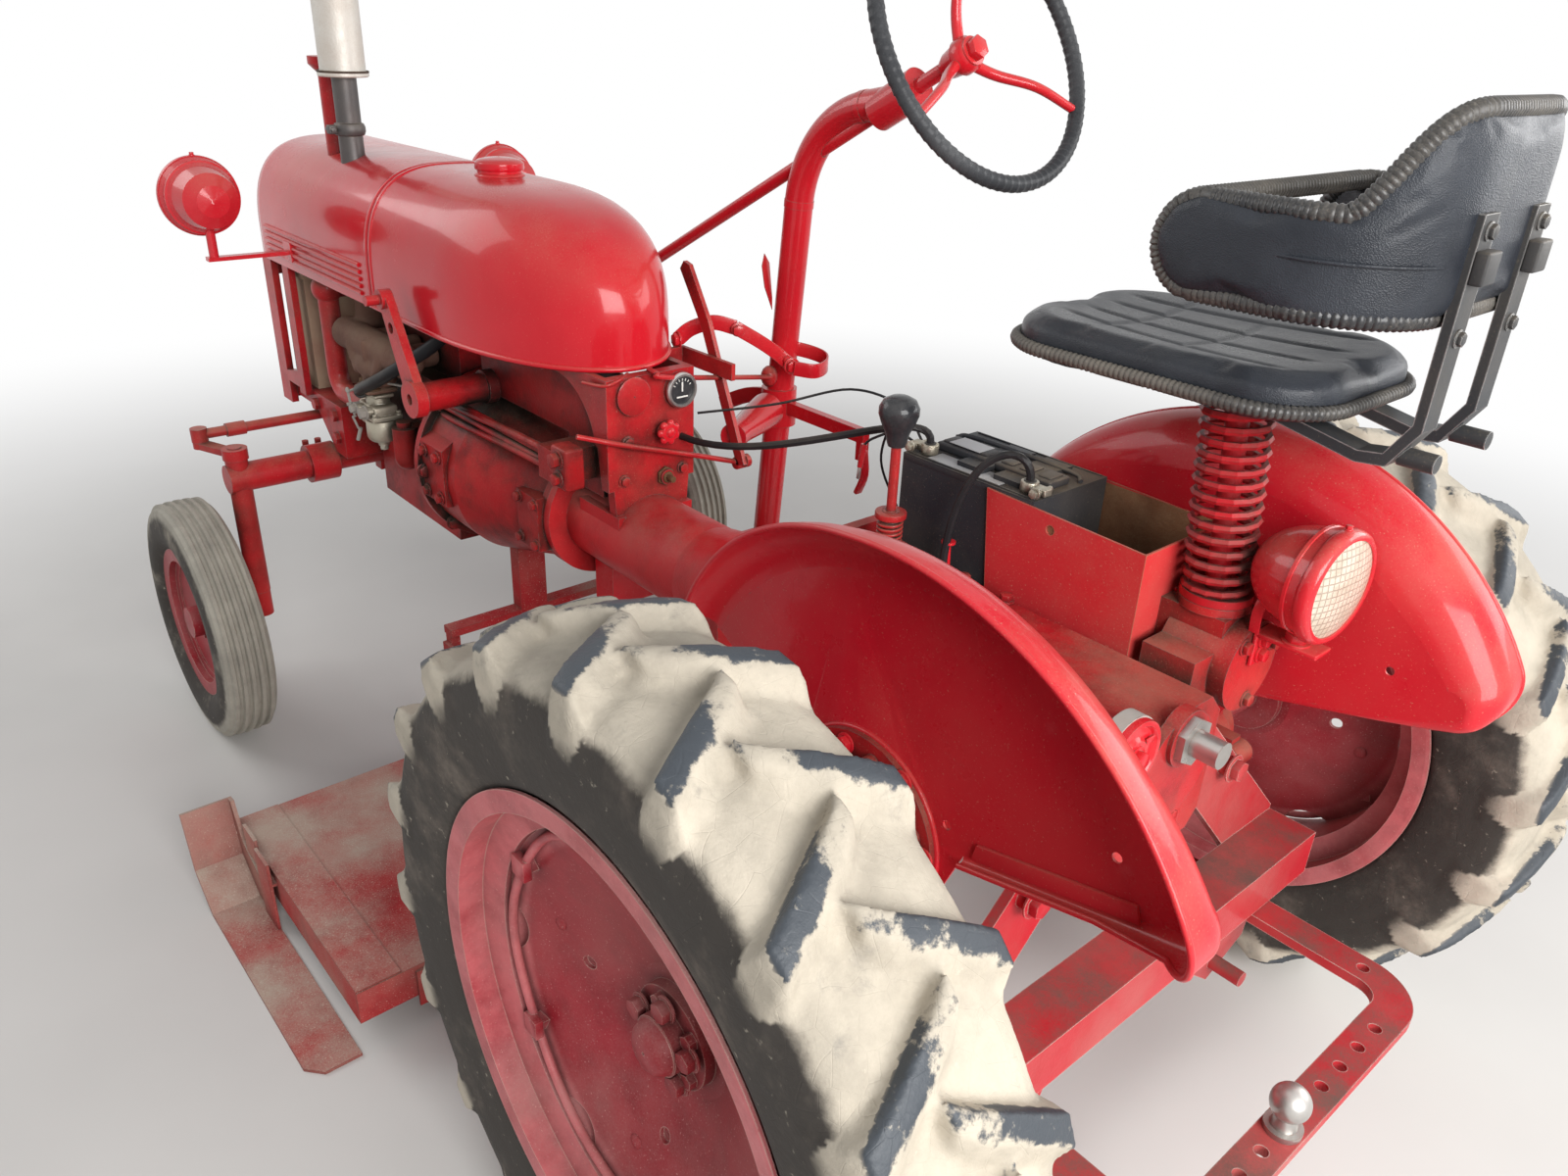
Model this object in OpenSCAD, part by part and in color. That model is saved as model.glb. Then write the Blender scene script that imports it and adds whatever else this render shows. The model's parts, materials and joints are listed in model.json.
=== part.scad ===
// Small vintage one-row tractor: offset engine, high rear wheels on drop
// drives, adjustable front axle, seat to the right, mower deck below.
// Millimetres. +X forward, +Y left, +Z up. The floor is z = 0.

/* [Wheels and treads] */
// rear axle to front axle
wheelbase = 1759; // [1650:1:1900]
// centre to centre of the rear tyres
rear_tread = 1243; // [1180:1:1420]
// centre to centre of the front tyres
front_tread = 1202; // [1160:1:1420]
// rear tyre over the lugs
rear_od = 990; // [960:1:1020]
// height of the rear lugs
lug_h = 27; // [20:1:30]
// lugs on each half of a rear tyre
lugs = 19; // [17:1:21]
// rear tyre width
rear_w = 211; // [200:1:225]
// rear rim over its flanges
rear_rim_d = 654; // [630:1:680]
// rear rim outer width
rear_rim_w = 190; // [170:1:196]
// front tyre diameter
front_od = 531; // [500:1:531]
// front tyre width
front_w = 112; // [100:1:120]
// front rim over its flanges
front_rim_d = 332; // [310:1:350]
// front rim outer width
front_rim_w = 84; // [70:1:90]
// rim and disc sheet
rim_t = 6; // [4:0.5:8]

/* [Front axle] */
// height of the axle tube centre
axle_z = 570; // [566:1:600]
// outside diameter of the end tubes
axle_tube_d = 62; // [56:1:66]
// outside diameter of the centre tube
axle_inner_d = 50; // [44:1:54]
// kingpin to tyre centre
kingpin_in = 111; // [105:1:125]
// kingpin diameter
kingpin_d = 28; // [24:1:32]
// length of the steering arms
steer_arm = 105; // [90:1:115]
// greatest steering angle
steer_max = 32; // [20:1:35]

/* [Engine and hood] */
// engine centre line left of the middle
engine_y = 125; // [110:1:140]
// crankshaft height
crank_z = 700; // [685:1:715]
// width of the hood
hood_w = 360; // [350:1:372]
// top of the hood
hood_top = 1236; // [1226:1:1250]
// lower edge of the hood
hood_low = 986; // [976:1:996]
// hood sheet
hood_t = 3; // [2:0.5:4]
// length of the fuel tank with its round tail
tank_len = 610; // [590:1:620]
// length of the hood ahead of the tank
hood_len = 605; // [590:1:620]
// width of the instrument panel
panel_w = 158; // [150:1:166]
// muffler diameter
muffler_d = 84; // [76:1:90]
// exhaust pipe diameter
exhaust_d = 46; // [40:1:50]
// intake pipe diameter
intake_d = 42; // [38:1:46]
// diameter of the head lamps and the work lamp
lamp_d = 150; // [140:1:160]

/* [Driver] */
// seat and steering centre right of the middle
seat_y = 235; // [228:1:242]
// underside of the seat pan
seat_z = 1120; // [1110:1:1130]
// seat width
seat_w = 336; // [320:1:350]
// steering wheel diameter
wheel_d = 424; // [400:1:440]
// steering wheel rim thickness
wheel_t = 24; // [20:1:28]
// steering hub height
hub_z = 1462; // [1440:1:1480]
// steering post diameter
post_d = 50; // [44:1:54]
// coil diameter of the seat spring
spring_d = 94; // [88:1:98]
// seat spring wire
spring_wire = 11; // [9:0.5:13]

/* [Rear frame] */
// drop from the drive centre to the rear axle
drop = 131; // [120:1:140]
// radius of the fenders
fender_r = 442; // [434:1:450]
// width of the fenders
fender_w = 80; // [70:1:100]
// fender sheet
fender_t = 3; // [2:0.5:4]
// length of the rear cross-beam
beam_len = 842; // [800:1:880]
// side of its square section
beam_s = 76; // [70:1:80]
// top of the drawbar
drawbar_z = 342; // [330:1:350]
// outer width of the drawbar
drawbar_w = 632; // [610:1:660]
// width of its flat bar
bar_w = 50; // [46:1:56]
// thickness of the flat bar
bar_t = 16; // [12:1:19]
// drawbar hole diameter
bar_hole = 17; // [14:1:20]
// hitch ball diameter
ball_d = 47.6; // [44:0.1:51]
// power take-off shaft diameter
pto_d = 34.9; // [30:0.1:38]

/* [Battery] */
// battery length
batt_l = 253; // [240:1:264]
// battery width
batt_w = 173; // [165:1:174]
// battery height
batt_h = 165; // [160:1:175]
// battery box width
box_w = 182; // [180:1:182]
// box sheet
box_t = 3; // [2:0.5:4]

/* [Mower deck] */
// deck length along the tractor
deck_l = 550; // [520:1:580]
// half width of the deck
deck_hw = 748; // [700:1:760]
// top of the deck
deck_z = 122; // [116:1:130]
// deck sheet
deck_t = 5; // [4:0.5:7]

/* [Hidden] */
$fn = 64;
g = 0.3;

red = [0.75, 0.06, 0.08];
dark = [0.12, 0.12, 0.13];
steel = [0.6, 0.6, 0.6];
tan = [0.6, 0.52, 0.42];

// wheel centres, and the shift that puts the middle of the length at x = 0
rear_z = rear_od / 2;
front_z = front_od / 2;
x_shift = (rear_od / 2 - wheelbase - front_od / 2) / 2;
fx = wheelbase;
kingpin_y = front_tread / 2 - kingpin_in;
drive = [33, rear_z + drop];
hub_x = 458;
box_x0 = -44;
bell_x1 = fx - 497;
bell_x0 = fx - 860;
block_x1 = fx - 100;
seam_x = fx - 384;
tank_x0 = seam_x - tank_len;
nose_x = seam_x + hood_len;
trans_x0 = -186;
trans_x1 = 420;
web_y = 296;
hood_r = hood_w / 2;
column_a = atan2(hub_z - 800, fx - 60 - hub_x);

module at() translate([x_shift, 0, 0]) children();
module mirrored(s) if (s > 0) children(); else mirror([0, 1, 0]) children();
// a cylinder along y from y0 to y1, and one along x from x0 to x1
module cyl_y(x, z, d, y0, y1) translate([x, y1, z]) rotate([90, 0, 0])
  cylinder(h = y1 - y0, d = d);
module cyl_x(y, z, d, x0, x1) translate([x0, y, z]) rotate([0, 90, 0])
  cylinder(h = x1 - x0, d = d);
module cone_x(y, z, d0, d1, x0, x1) translate([x0, y, z]) rotate([0, 90, 0])
  cylinder(h = x1 - x0, d1 = d0, d2 = d1);
module slab(x0, x1, y0, y1, z0, z1)
  translate([x0, y0, z0]) cube([x1 - x0, y1 - y0, z1 - z0]);
// a sheet profile drawn in x and z, from y0 to y1
module side_sheet(y0, y1) translate([0, y1, 0]) rotate([90, 0, 0])
  linear_extrude(y1 - y0) children();
// a profile drawn in y and z, from x0 to x1
module along_x(x0, x1) translate([x0, 0, 0]) rotate([90, 0, 90])
  linear_extrude(x1 - x0) children();
module ring_of(n, r) for (i = [0 : n - 1]) rotate(i * 360 / n) translate([r, 0]) children();
// a wheel's own parts turn about y, outboard is +y
module at_wheel(s, x, y, z) at() mirrored(s) translate([x, y, z]) rotate([-90, 0, 0]) children();

module tyre(od, w, rim_d, rim_w, t) rotate_extrude($fn = 96) {
  r = od / 2; f = rim_d / 2; b = f - 21; h = w / 2; k = rim_w / 2;
  polygon([[b + g, -k + 8], [f + g, -k + 5], [f + 4, -k - 1], [f + 0.42 * (r - f), -h],
    [r - 40 * t, -h + 4], [r - 12 * t, -h + 18], [r, -h * 0.55], [r, h * 0.55],
    [r - 12 * t, h - 18], [r - 40 * t, h - 4], [f + 0.42 * (r - f), h], [f + 4, k + 1],
    [f + g, k - 5], [b + g, k - 8]]);
}
module rim_shell(rim_d, rim_w, well) rotate_extrude($fn = 96) {
  f = rim_d / 2; k = rim_w / 2; b = f - 21; t = rim_t; w = b - well;
  polygon([[f, k], [f, k - 4], [b, k - 7], [b, k * 0.66], [w, k * 0.5], [w, -k * 0.5],
    [b, -k * 0.66], [b, -k + 7], [f, -k + 4], [f, -k], [f - t, -k], [b - t, -k + 2],
    [b - t, -k * 0.66 + 2], [w - t, -k * 0.5 - 2], [w - t, k * 0.5 + 2],
    [b - t, k * 0.66 - 2], [b - t, k - 2], [f - t, k]]);
}

// rear tread: straight bars with a steep and a worn flank, each with a foot down the
// wall, cut to the worn outline of the tyre
lug_nose = 97.5; lug_sweep = 10.4; lug_top = 30;
module lug() {
  r = rear_od / 2; run = r * lug_sweep * PI / 180; nose = -0.25 * rear_w / 2; y = 0.985 * rear_w / 2;
  rotate(-lug_sweep / 2) translate([r, 0, (nose + y) / 2]) rotate([atan2(run, y - nose), 0, 0])
    translate([0, 0, -norm([run, y - nose]) / 2]) linear_extrude(norm([run, y - nose]) + 20)
      polygon([[4, lug_top / 2], [4, -lug_top / 2], [-70, -lug_top / 2 - 40], [-70, lug_top / 2 + 14]]);
  rotate(-lug_sweep) translate([r, 0, 0.7 * y]) linear_extrude(0.4 * y)
    polygon([[-52, 15], [-52, -26], [-92, -7], [-92, 3]]);
}
module rear_tyre(s) color(dark) at_wheel(s, 0, rear_tread / 2, rear_z) {
  r = rear_od / 2; h = rear_w / 2;
  tyre(rear_od - 2 * lug_h, rear_w, rear_rim_d, rear_rim_w, 1);
  intersection() {
    rotate_extrude($fn = 96) polygon([[r - 115, -h + 8], [r - 87, -h + 3.1], [r - 77, -h + 0.1], [r - 43, -h + 0.1],
      [r - 19, -h + 5], [r - 5, -h * 0.72], [r, -h * 0.32], [r, h * 0.32], [r - 5, h * 0.72], [r - 19, h - 5],
      [r - 43, h - 0.1], [r - 77, h - 0.1], [r - 87, h - 3.1], [r - 115, h - 8]]);
    for (k = [0 : lugs - 1]) {
      rotate(-lug_nose - k * 360 / lugs) lug();
      rotate(-lug_nose - (k + 0.5) * 360 / lugs) mirror([0, 0, 1]) lug();
    }
  }
}
rear_well = 34;
hub_in = 21;
module rear_rim(s) color(red) at_wheel(s, 0, rear_tread / 2, rear_z) {
  wr = rear_rim_d / 2 - 21 - rear_well - rim_t;
  rim_shell(rear_rim_d, rear_rim_w, rear_well);
  difference() {
    rotate_extrude() polygon([[0, -hub_in - rim_t], [80, -hub_in - rim_t], [wr + 2, 36],
      [wr + 2, 36 + rim_t], [80, -hub_in], [0, -hub_in]]);
    ring_of(6, wr + 20) cylinder(h = 200, r = 46, center = true);
    ring_of(4, 150) cylinder(h = 200, r = 9, center = true);
  }
  rotate(30) ring_of(6, wr - 18) translate([0, 0, 30]) cylinder(h = 20, d = 24, $fn = 4);
  translate([0, 0, -hub_in]) { cylinder(h = 14, r = 62); cylinder(h = 34, r = 36);
    ring_of(5, 48) cylinder(h = 24, d = 20, $fn = 6); }
  // the axle shaft that the wheel turns on
  translate([0, 0, 455 + g - rear_tread / 2])
    cylinder(h = rear_tread / 2 - hub_in - rim_t - 455 - g, d = 54);
  translate([0, 0, -hub_in - rim_t - 12]) cylinder(h = 12, r = 66);
}

module front_tyre(s) color(dark) at_wheel(s, fx, front_tread / 2, front_z)
  tyre(front_od, front_w, front_rim_d, front_rim_w, 0.5);
spindle_d = 32;
module front_rim(s) color(red) at_wheel(s, fx, front_tread / 2, front_z) difference() {
  union() {
    wr = front_rim_d / 2 - 21 - 14 - rim_t;
    rim_shell(front_rim_d, front_rim_w, 14);
    rotate_extrude() polygon([[30, 4], [56, 4], [wr + 2, 14], [wr + 2, 14 + rim_t],
      [56, 4 + rim_t], [30, 4 + rim_t]]);
    translate([0, 0, -34]) cylinder(h = 78, r = 34);
    translate([0, 0, 4]) ring_of(5, 46) cylinder(h = 14, d = 18, $fn = 6);
  }
  translate([0, 0, -40]) cylinder(h = 72, d = spindle_d + 2 * g);
}

sleeve_d = kingpin_d + 18;
sleeve_z0 = front_z + 36;
sleeve_z1 = axle_z + axle_tube_d / 2 + 12;
arm_z = sleeve_z1 + g;
arm_a = 22;
module knuckle(s) color(red) at() mirrored(s) {
  translate([fx, kingpin_y, sleeve_z0 - 60]) cylinder(h = arm_z + 26 - sleeve_z0 + 60, d = kingpin_d);
  translate([fx, kingpin_y, front_z - 22]) cylinder(h = sleeve_z0 - g - front_z + 22, d = 44);
  cyl_y(fx, front_z, 40, kingpin_y, front_tread / 2 - 34 - 2);
  cyl_y(fx, front_z, spindle_d, kingpin_y, front_tread / 2 + 30);
  translate([fx, kingpin_y, arm_z]) {
    cylinder(h = 24, d = 52);
    rotate(arm_a) translate([0, -13, 4]) cube([steer_arm, 26, 14]);
    rotate(arm_a) translate([steer_arm, 0, 4]) cylinder(h = 14, d = 32);
  }
}
// tie rod from ball to ball, its ball joints stand on the arms
ball_x = fx + steer_arm * cos(arm_a);
ball_y = kingpin_y + steer_arm * sin(arm_a);
rod_z = arm_z + 18 + g;
module tie_rod() color(red) at() {
  cyl_y(ball_x, rod_z + 15, 22, -ball_y, ball_y);
  for (s = [-1, 1]) translate([ball_x, s * ball_y, rod_z]) cylinder(h = 30, d = 34);
  for (s = [-1, 1]) cyl_y(ball_x, rod_z + 15, 30, s * (ball_y - 75) - 20, s * (ball_y - 75) + 20);
}

pivot_d = 70;
module front_axle() color(red) at() difference() {
  union() {
    for (s = [-1, 1]) {
      cyl_y(fx, axle_z, axle_tube_d, s > 0 ? 290 : -kingpin_y - 25, s > 0 ? kingpin_y + 25 : -290);
      cyl_y(fx, axle_z, axle_tube_d + 22, s > 0 ? 284 : -344, s > 0 ? 344 : -284);
      translate([fx, s * kingpin_y, sleeve_z0]) cylinder(h = sleeve_z1 - sleeve_z0, d = sleeve_d);
      for (y = [300, 328]) translate([fx + axle_tube_d / 2 + 12, s * y, axle_z - 40])
        cylinder(h = 80, d = 14);
    }
    cyl_y(fx, axle_z, axle_inner_d, -300, 300);
    cyl_x(engine_y, axle_z, pivot_d, fx - 55, fx + 20);
    slab(fx - 16, fx + 16, engine_y - 60, engine_y + 60, axle_z - 42, axle_z + 42);
  }
  for (s = [-1, 1]) translate([fx, s * kingpin_y, 0]) cylinder(h = 900, d = kingpin_d + 2 * g);
  cyl_x(engine_y, axle_z, 32 + 2 * g, fx - 60, fx + 60);
}

bol_z1 = 716;
module front_bolster() color(red) at() {
  w = hood_r - 16;
  side_sheet(engine_y + w - 18, engine_y + w) bolster_side();
  side_sheet(engine_y - w, engine_y - w + 18) bolster_side();
  slab(fx - 98, fx + 160, engine_y - w, engine_y + w, bol_z1 - 34, bol_z1);
  slab(fx - 98, fx - 80, engine_y - w, engine_y + w, 600, bol_z1);
  for (x = [-80, 26]) difference() {
    side_profile_y(fx + x, 18) polygon([[engine_y - 62, bol_z1 - 10], [engine_y - 44, axle_z - 20],
      [engine_y + 44, axle_z - 20], [engine_y + 62, bol_z1 - 10]]);
    cyl_x(engine_y, axle_z, 32, fx - 100, fx + 100);
  }
  cyl_x(engine_y, axle_z, 32, fx - 92, fx + 44);
  for (s = [-1, 1]) for (p = [[-64, 690], [-64, 640], [40, 690]])
    translate([fx + p[0], engine_y + s * w + (s > 0 ? 10 : 0), p[1]]) rotate([90, 0, 0])
      cylinder(h = 10, d = 26, $fn = 6);
  // steering gear beside the engine, the shaft's lower end turns in it
  difference() {
    union() {
      slab(fx - 104, fx - 24, post_y - 36, post_y + 36, 700, 850);
      slab(fx - 96, fx - 30, post_y + 36, engine_y - w, 686, bol_z1);
    }
    steering_axis() cylinder(h = shaft_l + g, d = 22 + 2 * g);
  }
}
module steering_axis() translate([hub_x, post_y, hub_z]) rotate([0, 90 + column_a, 0]) children();
module side_profile_y(x0, t) along_x(x0, x0 + t) children();
module bolster_side() polygon([[fx - 98, 600], [fx - 98, bol_z1], [fx + 160, bol_z1],
  [fx + 160, bol_z1 - 26], [fx + 46, bol_z1 - 34], [fx - 40, 600]]);

module radiator() color(tan) at() {
  slab(fx + 60, fx + 130, engine_y - 150, engine_y + 150, bol_z1, 960);
  slab(fx + 50, fx + 140, engine_y - 156, engine_y + 156, 960, 1040);
  cyl_x(engine_y, 1010, 40, fx + 20, fx + 60);
}

grille_x = nose_x - 6;
grille_z0 = 664;
module grille() color(red) at() {
  w = hood_r - 1; q = 15 - g;
  // columns: x0, x1 of each post of the side frame
  for (s = [-1, 1]) for (p = [[fx + 62, fx + 96], [grille_x - 50, grille_x]])
    slab(p[0], p[1], engine_y + s * w - (s > 0 ? q : 0), engine_y + s * w + (s > 0 ? 0 : q),
      grille_z0 + 40, hood_low - g);
  for (s = [-1, 1]) side_sheet(engine_y + s * w - (s > 0 ? q : 0), engine_y + s * w + (s > 0 ? 0 : q))
    polygon([[fx + 62, 716], [fx + 62, 760], [grille_x, 730], [grille_x, grille_z0], [fx + 160 + g, grille_z0],
      [fx + 160 + g, 716]]);
  slab(grille_x - 14, grille_x, engine_y - w, engine_y + w, grille_z0, grille_z0 + 60);
  slab(grille_x - 14, grille_x, engine_y - w, engine_y + w, hood_low - 40, hood_low - g);
  for (i = [-5 : 5]) slab(grille_x - 12, grille_x - 4, engine_y + i * 28 - 3, engine_y + i * 28 + 3,
    grille_z0 + 50, hood_low - 30);
}

// hood section at half width w and top t, floor at the lower edge; the shoulder
// is a superellipse, so hood, tank and tail share one form
sec_n = 24;
function hood_sec(w, t, low) = let (b = low + 0.22 * (t - low)) concat([[engine_y - w, low]],
  [for (k = [0 : sec_n]) let (a = 180 - k * 180 / sec_n, c = cos(a), u = pow(abs(c), 0.72))
    [engine_y + (c < 0 ? -u : u) * w, b + pow(sin(a), 0.72) * (t - b)]], [[engine_y + w, low]]);
function hood_ring(x, w, t, low) = [for (q = hood_sec(w, t, low)) [x, q[0], q[1]]];
// a closed skin over a row of sections
module loft(rings) {
  m = len(rings[0]); n = len(rings);
  polyhedron([for (r = rings) each r], concat([[for (k = [0 : m - 1]) k]],
    [[for (k = [0 : m - 1]) (n - 1) * m + m - 1 - k]],
    [for (i = [0 : n - 2]) for (k = [0 : m - 1]) [i * m + k, (i + 1) * m + k,
      (i + 1) * m + (k + 1) % m, i * m + (k + 1) % m]]), convexity = 8);
}
module hood() color(red) at() difference() {
  union() {
    along_x(seam_x + g, nose_x) polygon(hood_sec(hood_r, hood_top, hood_low));
    for (z = [0, 26, 52]) for (s = [-1, 1]) cyl_x(engine_y + s * hood_r, hood_low + 24 + z, 8,
      seam_x + 40, nose_x - 60);
  }
  along_x(seam_x - 1, nose_x - hood_t) polygon(hood_sec(hood_r - hood_t, hood_top - hood_t, hood_low - 2));
  translate([stack_x, stack_y, 1000]) cylinder(h = 400, d = exhaust_d + 10);
  translate([intake_x, intake_y, 1000]) cylinder(h = 400, d = intake_d + 8);
  slab(fx + 140, nose_x + 1, engine_y - hood_r + 10, engine_y + hood_r - 10, 900, hood_low + 30);
  for (s = [-1, 1]) slab(hl_x - 35, hl_x + 7, engine_y + s * (hood_r + 5) - 5, engine_y + s * (hood_r + 5) + 5,
    900, 1100);
}

// tail of the tank: plan an ellipse, crown falling to the rear
tail_l = 350;
function tail_w(x) = hood_r * sqrt(max(0, 1 - pow(x / tail_l, 2)));
function tail_t(x) = hood_low + 60 + (hood_top - hood_low - 60) * pow(max(0, 1 - pow(x / tail_l, 2.6)), 0.45);
module fuel_tank() color(red) at() {
  // share of the tail's length at each section
  s = [0.995, 0.975, 0.94, 0.88, 0.79, 0.67, 0.5, 0.3, 0];
  tx = tank_x0 + tail_l;
  loft(concat([for (q = s) hood_ring(tx - q * tail_l, tail_w(q * tail_l), tail_t(q * tail_l), hood_low)],
    [hood_ring(seam_x, hood_r, hood_top, hood_low)]));
  translate([fx - 570, engine_y, hood_top - 8]) { cylinder(h = 16, d = 84); cylinder(h = 34, d = 66); }
  for (x = [tx - 40, seam_x - 120]) for (s = [-1, 1])
    cyl_y(x, hood_low + 14, 14, engine_y + s * hood_r - 4, engine_y + s * hood_r + 4);
}

module engine_block() color(red) at() {
  y0 = engine_y - 92; y1 = engine_y + 100;
  slab(bell_x1 + 16, block_x1, y0, y1, crank_z - 70, 846);
  slab(bell_x1 + 30, block_x1 - 10, engine_y - 88, engine_y + 88, crank_z - 180, crank_z - 70);
  slab(bell_x1 + 24, block_x1 - 6, y0 + 14, engine_y + 60, 846, hood_low - g);
  cyl_x(engine_y, crank_z - 14, 60, block_x1, fx - 98);
  for (x = [80, 170, 260, 340]) cyl_y(bell_x1 + x, crank_z, 36, y1, y1 + 8);
  // fan on its shaft, generator on its bracket, and the belt round both pulleys
  cyl_x(engine_y, fan_z, 24, block_x1 - 20, fan_x + 8);
  cyl_x(engine_y, fan_z, 88, fan_x - 2, fan_x + 8);
  for (a = [45 : 90 : 315]) rotate_about(engine_y, fan_z, a)
    slab(fan_x, fan_x + 5, engine_y - 30, engine_y + 30, fan_z, fan_z + fan_r);
  cyl_x(engine_y, fan_z, 2 * pulley_r, belt_x - 4, belt_x + 10);
  cyl_x(gen[0], gen[1], 92, belt_x - 240, belt_x - 36);
  cyl_x(gen[0], gen[1], 20, belt_x - 36, belt_x + 12);
  cyl_x(gen[0], gen[1], 2 * gen_r, belt_x - 4, belt_x + 10);
  slab(belt_x - 210, belt_x - 60, gen[0], y0, gen[1] - 14, gen[1] + 14);
  along_x(belt_x, belt_x + 6) difference() { belt(5); belt(-5); }
  // filter bowl on a boss, with its neck
  cyl_y(bowl[0], bowl[1] + 30, 34, y1, bowl_y);
  translate([bowl[0], bowl_y, bowl[1] - 24]) { cylinder(h = 64, d = 50); sphere(d = 50); cylinder(h = 76, d = 30); }
}
fan_z = 900; fan_x = fx - 24; fan_r = 108;
belt_x = fx - 94; pulley_r = 44;
gen = [engine_y - 142, 800]; gen_r = 34;
bowl = [fx - 345, 695]; bowl_y = engine_y + 130;
module belt(t) {
  a = [engine_y, fan_z]; n = (gen - a) / norm(gen - a); m = [-n[1], n[0]];
  translate(a) circle(pulley_r + t);
  translate(gen) circle(gen_r + t);
  polygon([a + m * (pulley_r + t), gen + m * (gen_r + t), gen - m * (gen_r + t), a - m * (pulley_r + t)]);
}

module manifold() color([0.45, 0.3, 0.25]) at() {
  y0 = engine_y + 100;
  cyl_x(y0 + 34, 880, 62, fx - 400, fx - 120);
  for (x = [-400, -120]) translate([fx + x, y0 + 34, 880]) sphere(d = 62);
  for (x = [-370, -300, -220, -150]) cyl_y(fx + x, 880, 44, engine_y + 60, y0 + 34);
  translate([stack_x, stack_y, 880]) cylinder(h = 88, d = 54);
  cyl_x(y0 + 44, 815, 44, fx - 330, fx - 190);
  for (x = [-330, -190]) translate([fx + x, y0 + 44, 815]) { sphere(d = 44); cylinder(h = 60, d = 40); }
  translate([fx - 260, y0 + 44, 792]) { cylinder(h = 74, d = 44); cylinder(h = 9, d = 72); }
  for (x = [-24, 24]) translate([fx - 260 + x, y0 + 44, 800]) cylinder(h = 9, d = 18, $fn = 6);
}
stack_x = fx - 150; stack_y = engine_y + 92;
intake_x = fx - 58; intake_y = engine_y + 84;

module carburettor() color(steel) at() {
  y0 = engine_y + 144;
  translate([fx - 260, y0, 716]) cylinder(h = 76, d = 50);
  translate([fx - 260, y0, 784]) cylinder(h = 8, d = 72);
  slab(fx - 300, fx - 222, y0 - 24, y0 + 26, 722, 768);
  slab(fx - 306, fx - 216, y0 - 30, y0 + 32, 740, 748);
  cyl_x(y0, 745, 40, fx - 310, fx - 200);
  // float bowl with its drain plug
  translate([fx - 276, y0 + 4, 694]) { cylinder(h = 40, d = 62); translate([0, 0, -12]) cylinder(h = 20, d = 34);
    translate([0, 0, -20]) cylinder(h = 10, d = 18, $fn = 6); }
  cyl_y(fx - 244, 758, 16, y0, y0 + 42);
  cyl_y(fx - 284, 758, 22, y0, y0 + 36);
}

module air_intake() color(red) at() {
  y = engine_y + 144; bend = 40;
  // elbow off the carburettor, riser, and the stack through the hood
  cyl_x(y, 745, intake_d, fx - 200, fx - 96);
  translate([fx - 96, y, 745 + bend]) rotate([90, 0, 0]) rotate([0, 0, -90])
    rotate_extrude(angle = 90) translate([bend, 0]) circle(d = intake_d);
  translate([fx - 96 + bend, y, 745 + bend]) cylinder(h = 180, d = intake_d);
  translate([intake_x, intake_y, 960]) cylinder(h = 410, d = intake_d);
  translate([fx - 96 + bend, y, 960]) sphere(d = 62);
  cyl_y(intake_x + 1, 960, intake_d, intake_y, y);
  translate([intake_x, intake_y, 1370]) { cylinder(h = 16, d1 = intake_d, d2 = 74);
    translate([0, 0, 16]) cylinder(h = 14, d = 74); }
}

module exhaust() color([0.35, 0.33, 0.32]) at() translate([stack_x, stack_y, 968]) {
  difference() { cylinder(h = 400, d = exhaust_d); translate([0, 0, 4]) cylinder(h = 400, d = exhaust_d - 8); }
  translate([0, 0, 300]) difference() { cylinder(h = 18, d = exhaust_d + 14);
    translate([0, 0, -1]) cylinder(h = 20, d = exhaust_d - 2); }
  translate([0, 0, 400]) difference() {
    union() { cylinder(h = 10, d = muffler_d + 12); cylinder(h = 330, d = muffler_d);
      translate([0, 0, 330]) cylinder(h = 60, d = exhaust_d); }
    translate([0, 0, -1]) cylinder(h = 400, d = exhaust_d - 8);
  }
}

module clutch_housing() color(red) at() {
  cyl_x(engine_y, crank_z, 350, bell_x1, bell_x1 + 16);
  cyl_x(engine_y, crank_z, 320, bell_x1 - 120, bell_x1);
  cone_x(engine_y, crank_z, 200, 320, bell_x0 + 16, bell_x1 - 120);
  cyl_x(engine_y, crank_z, 226, bell_x0, bell_x0 + 16);
  for (a = [0 : 45 : 315]) rotate_about(engine_y, crank_z, a)
    cyl_x(engine_y + 168, crank_z, 20, bell_x1 - 10, bell_x1);
  // starter pad and clutch cover on the left
  along_x(bell_x1 - 90, bell_x1) polygon([[engine_y + 100, 640], [engine_y + 166, 650], [engine_y + 166, 760],
    [engine_y + 100, 800]]);
  slab(bell_x0 + 6, bell_x0 + 76, engine_y + 60, engine_y + 122, crank_z - 56, crank_z + 44);
  slab(bell_x0 + 40, bell_x1 - 60, engine_y - 60, engine_y + 60, crank_z, 789);
}
module rotate_about(y, z, a) translate([0, y, z]) rotate([a, 0, 0]) translate([0, -y, -z]) children();

tube_d = 156;
module torque_tube() color(red) at() {
  cyl_x(engine_y, crank_z, tube_d, trans_x1 + 150, bell_x0);
  cyl_x(engine_y, crank_z, 226, bell_x0 - 16, bell_x0);
  cone_x(engine_y, crank_z, 200, tube_d, trans_x1 + 20, trans_x1 + 150);
  slab(trans_x1, trans_x1 + 20, -108, engine_y + 104, 580, 790);
  slab(panel_x0 - 10, panel_x0 + 110, engine_y - 78, engine_y + 70, crank_z, pan_z0);
}

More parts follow.
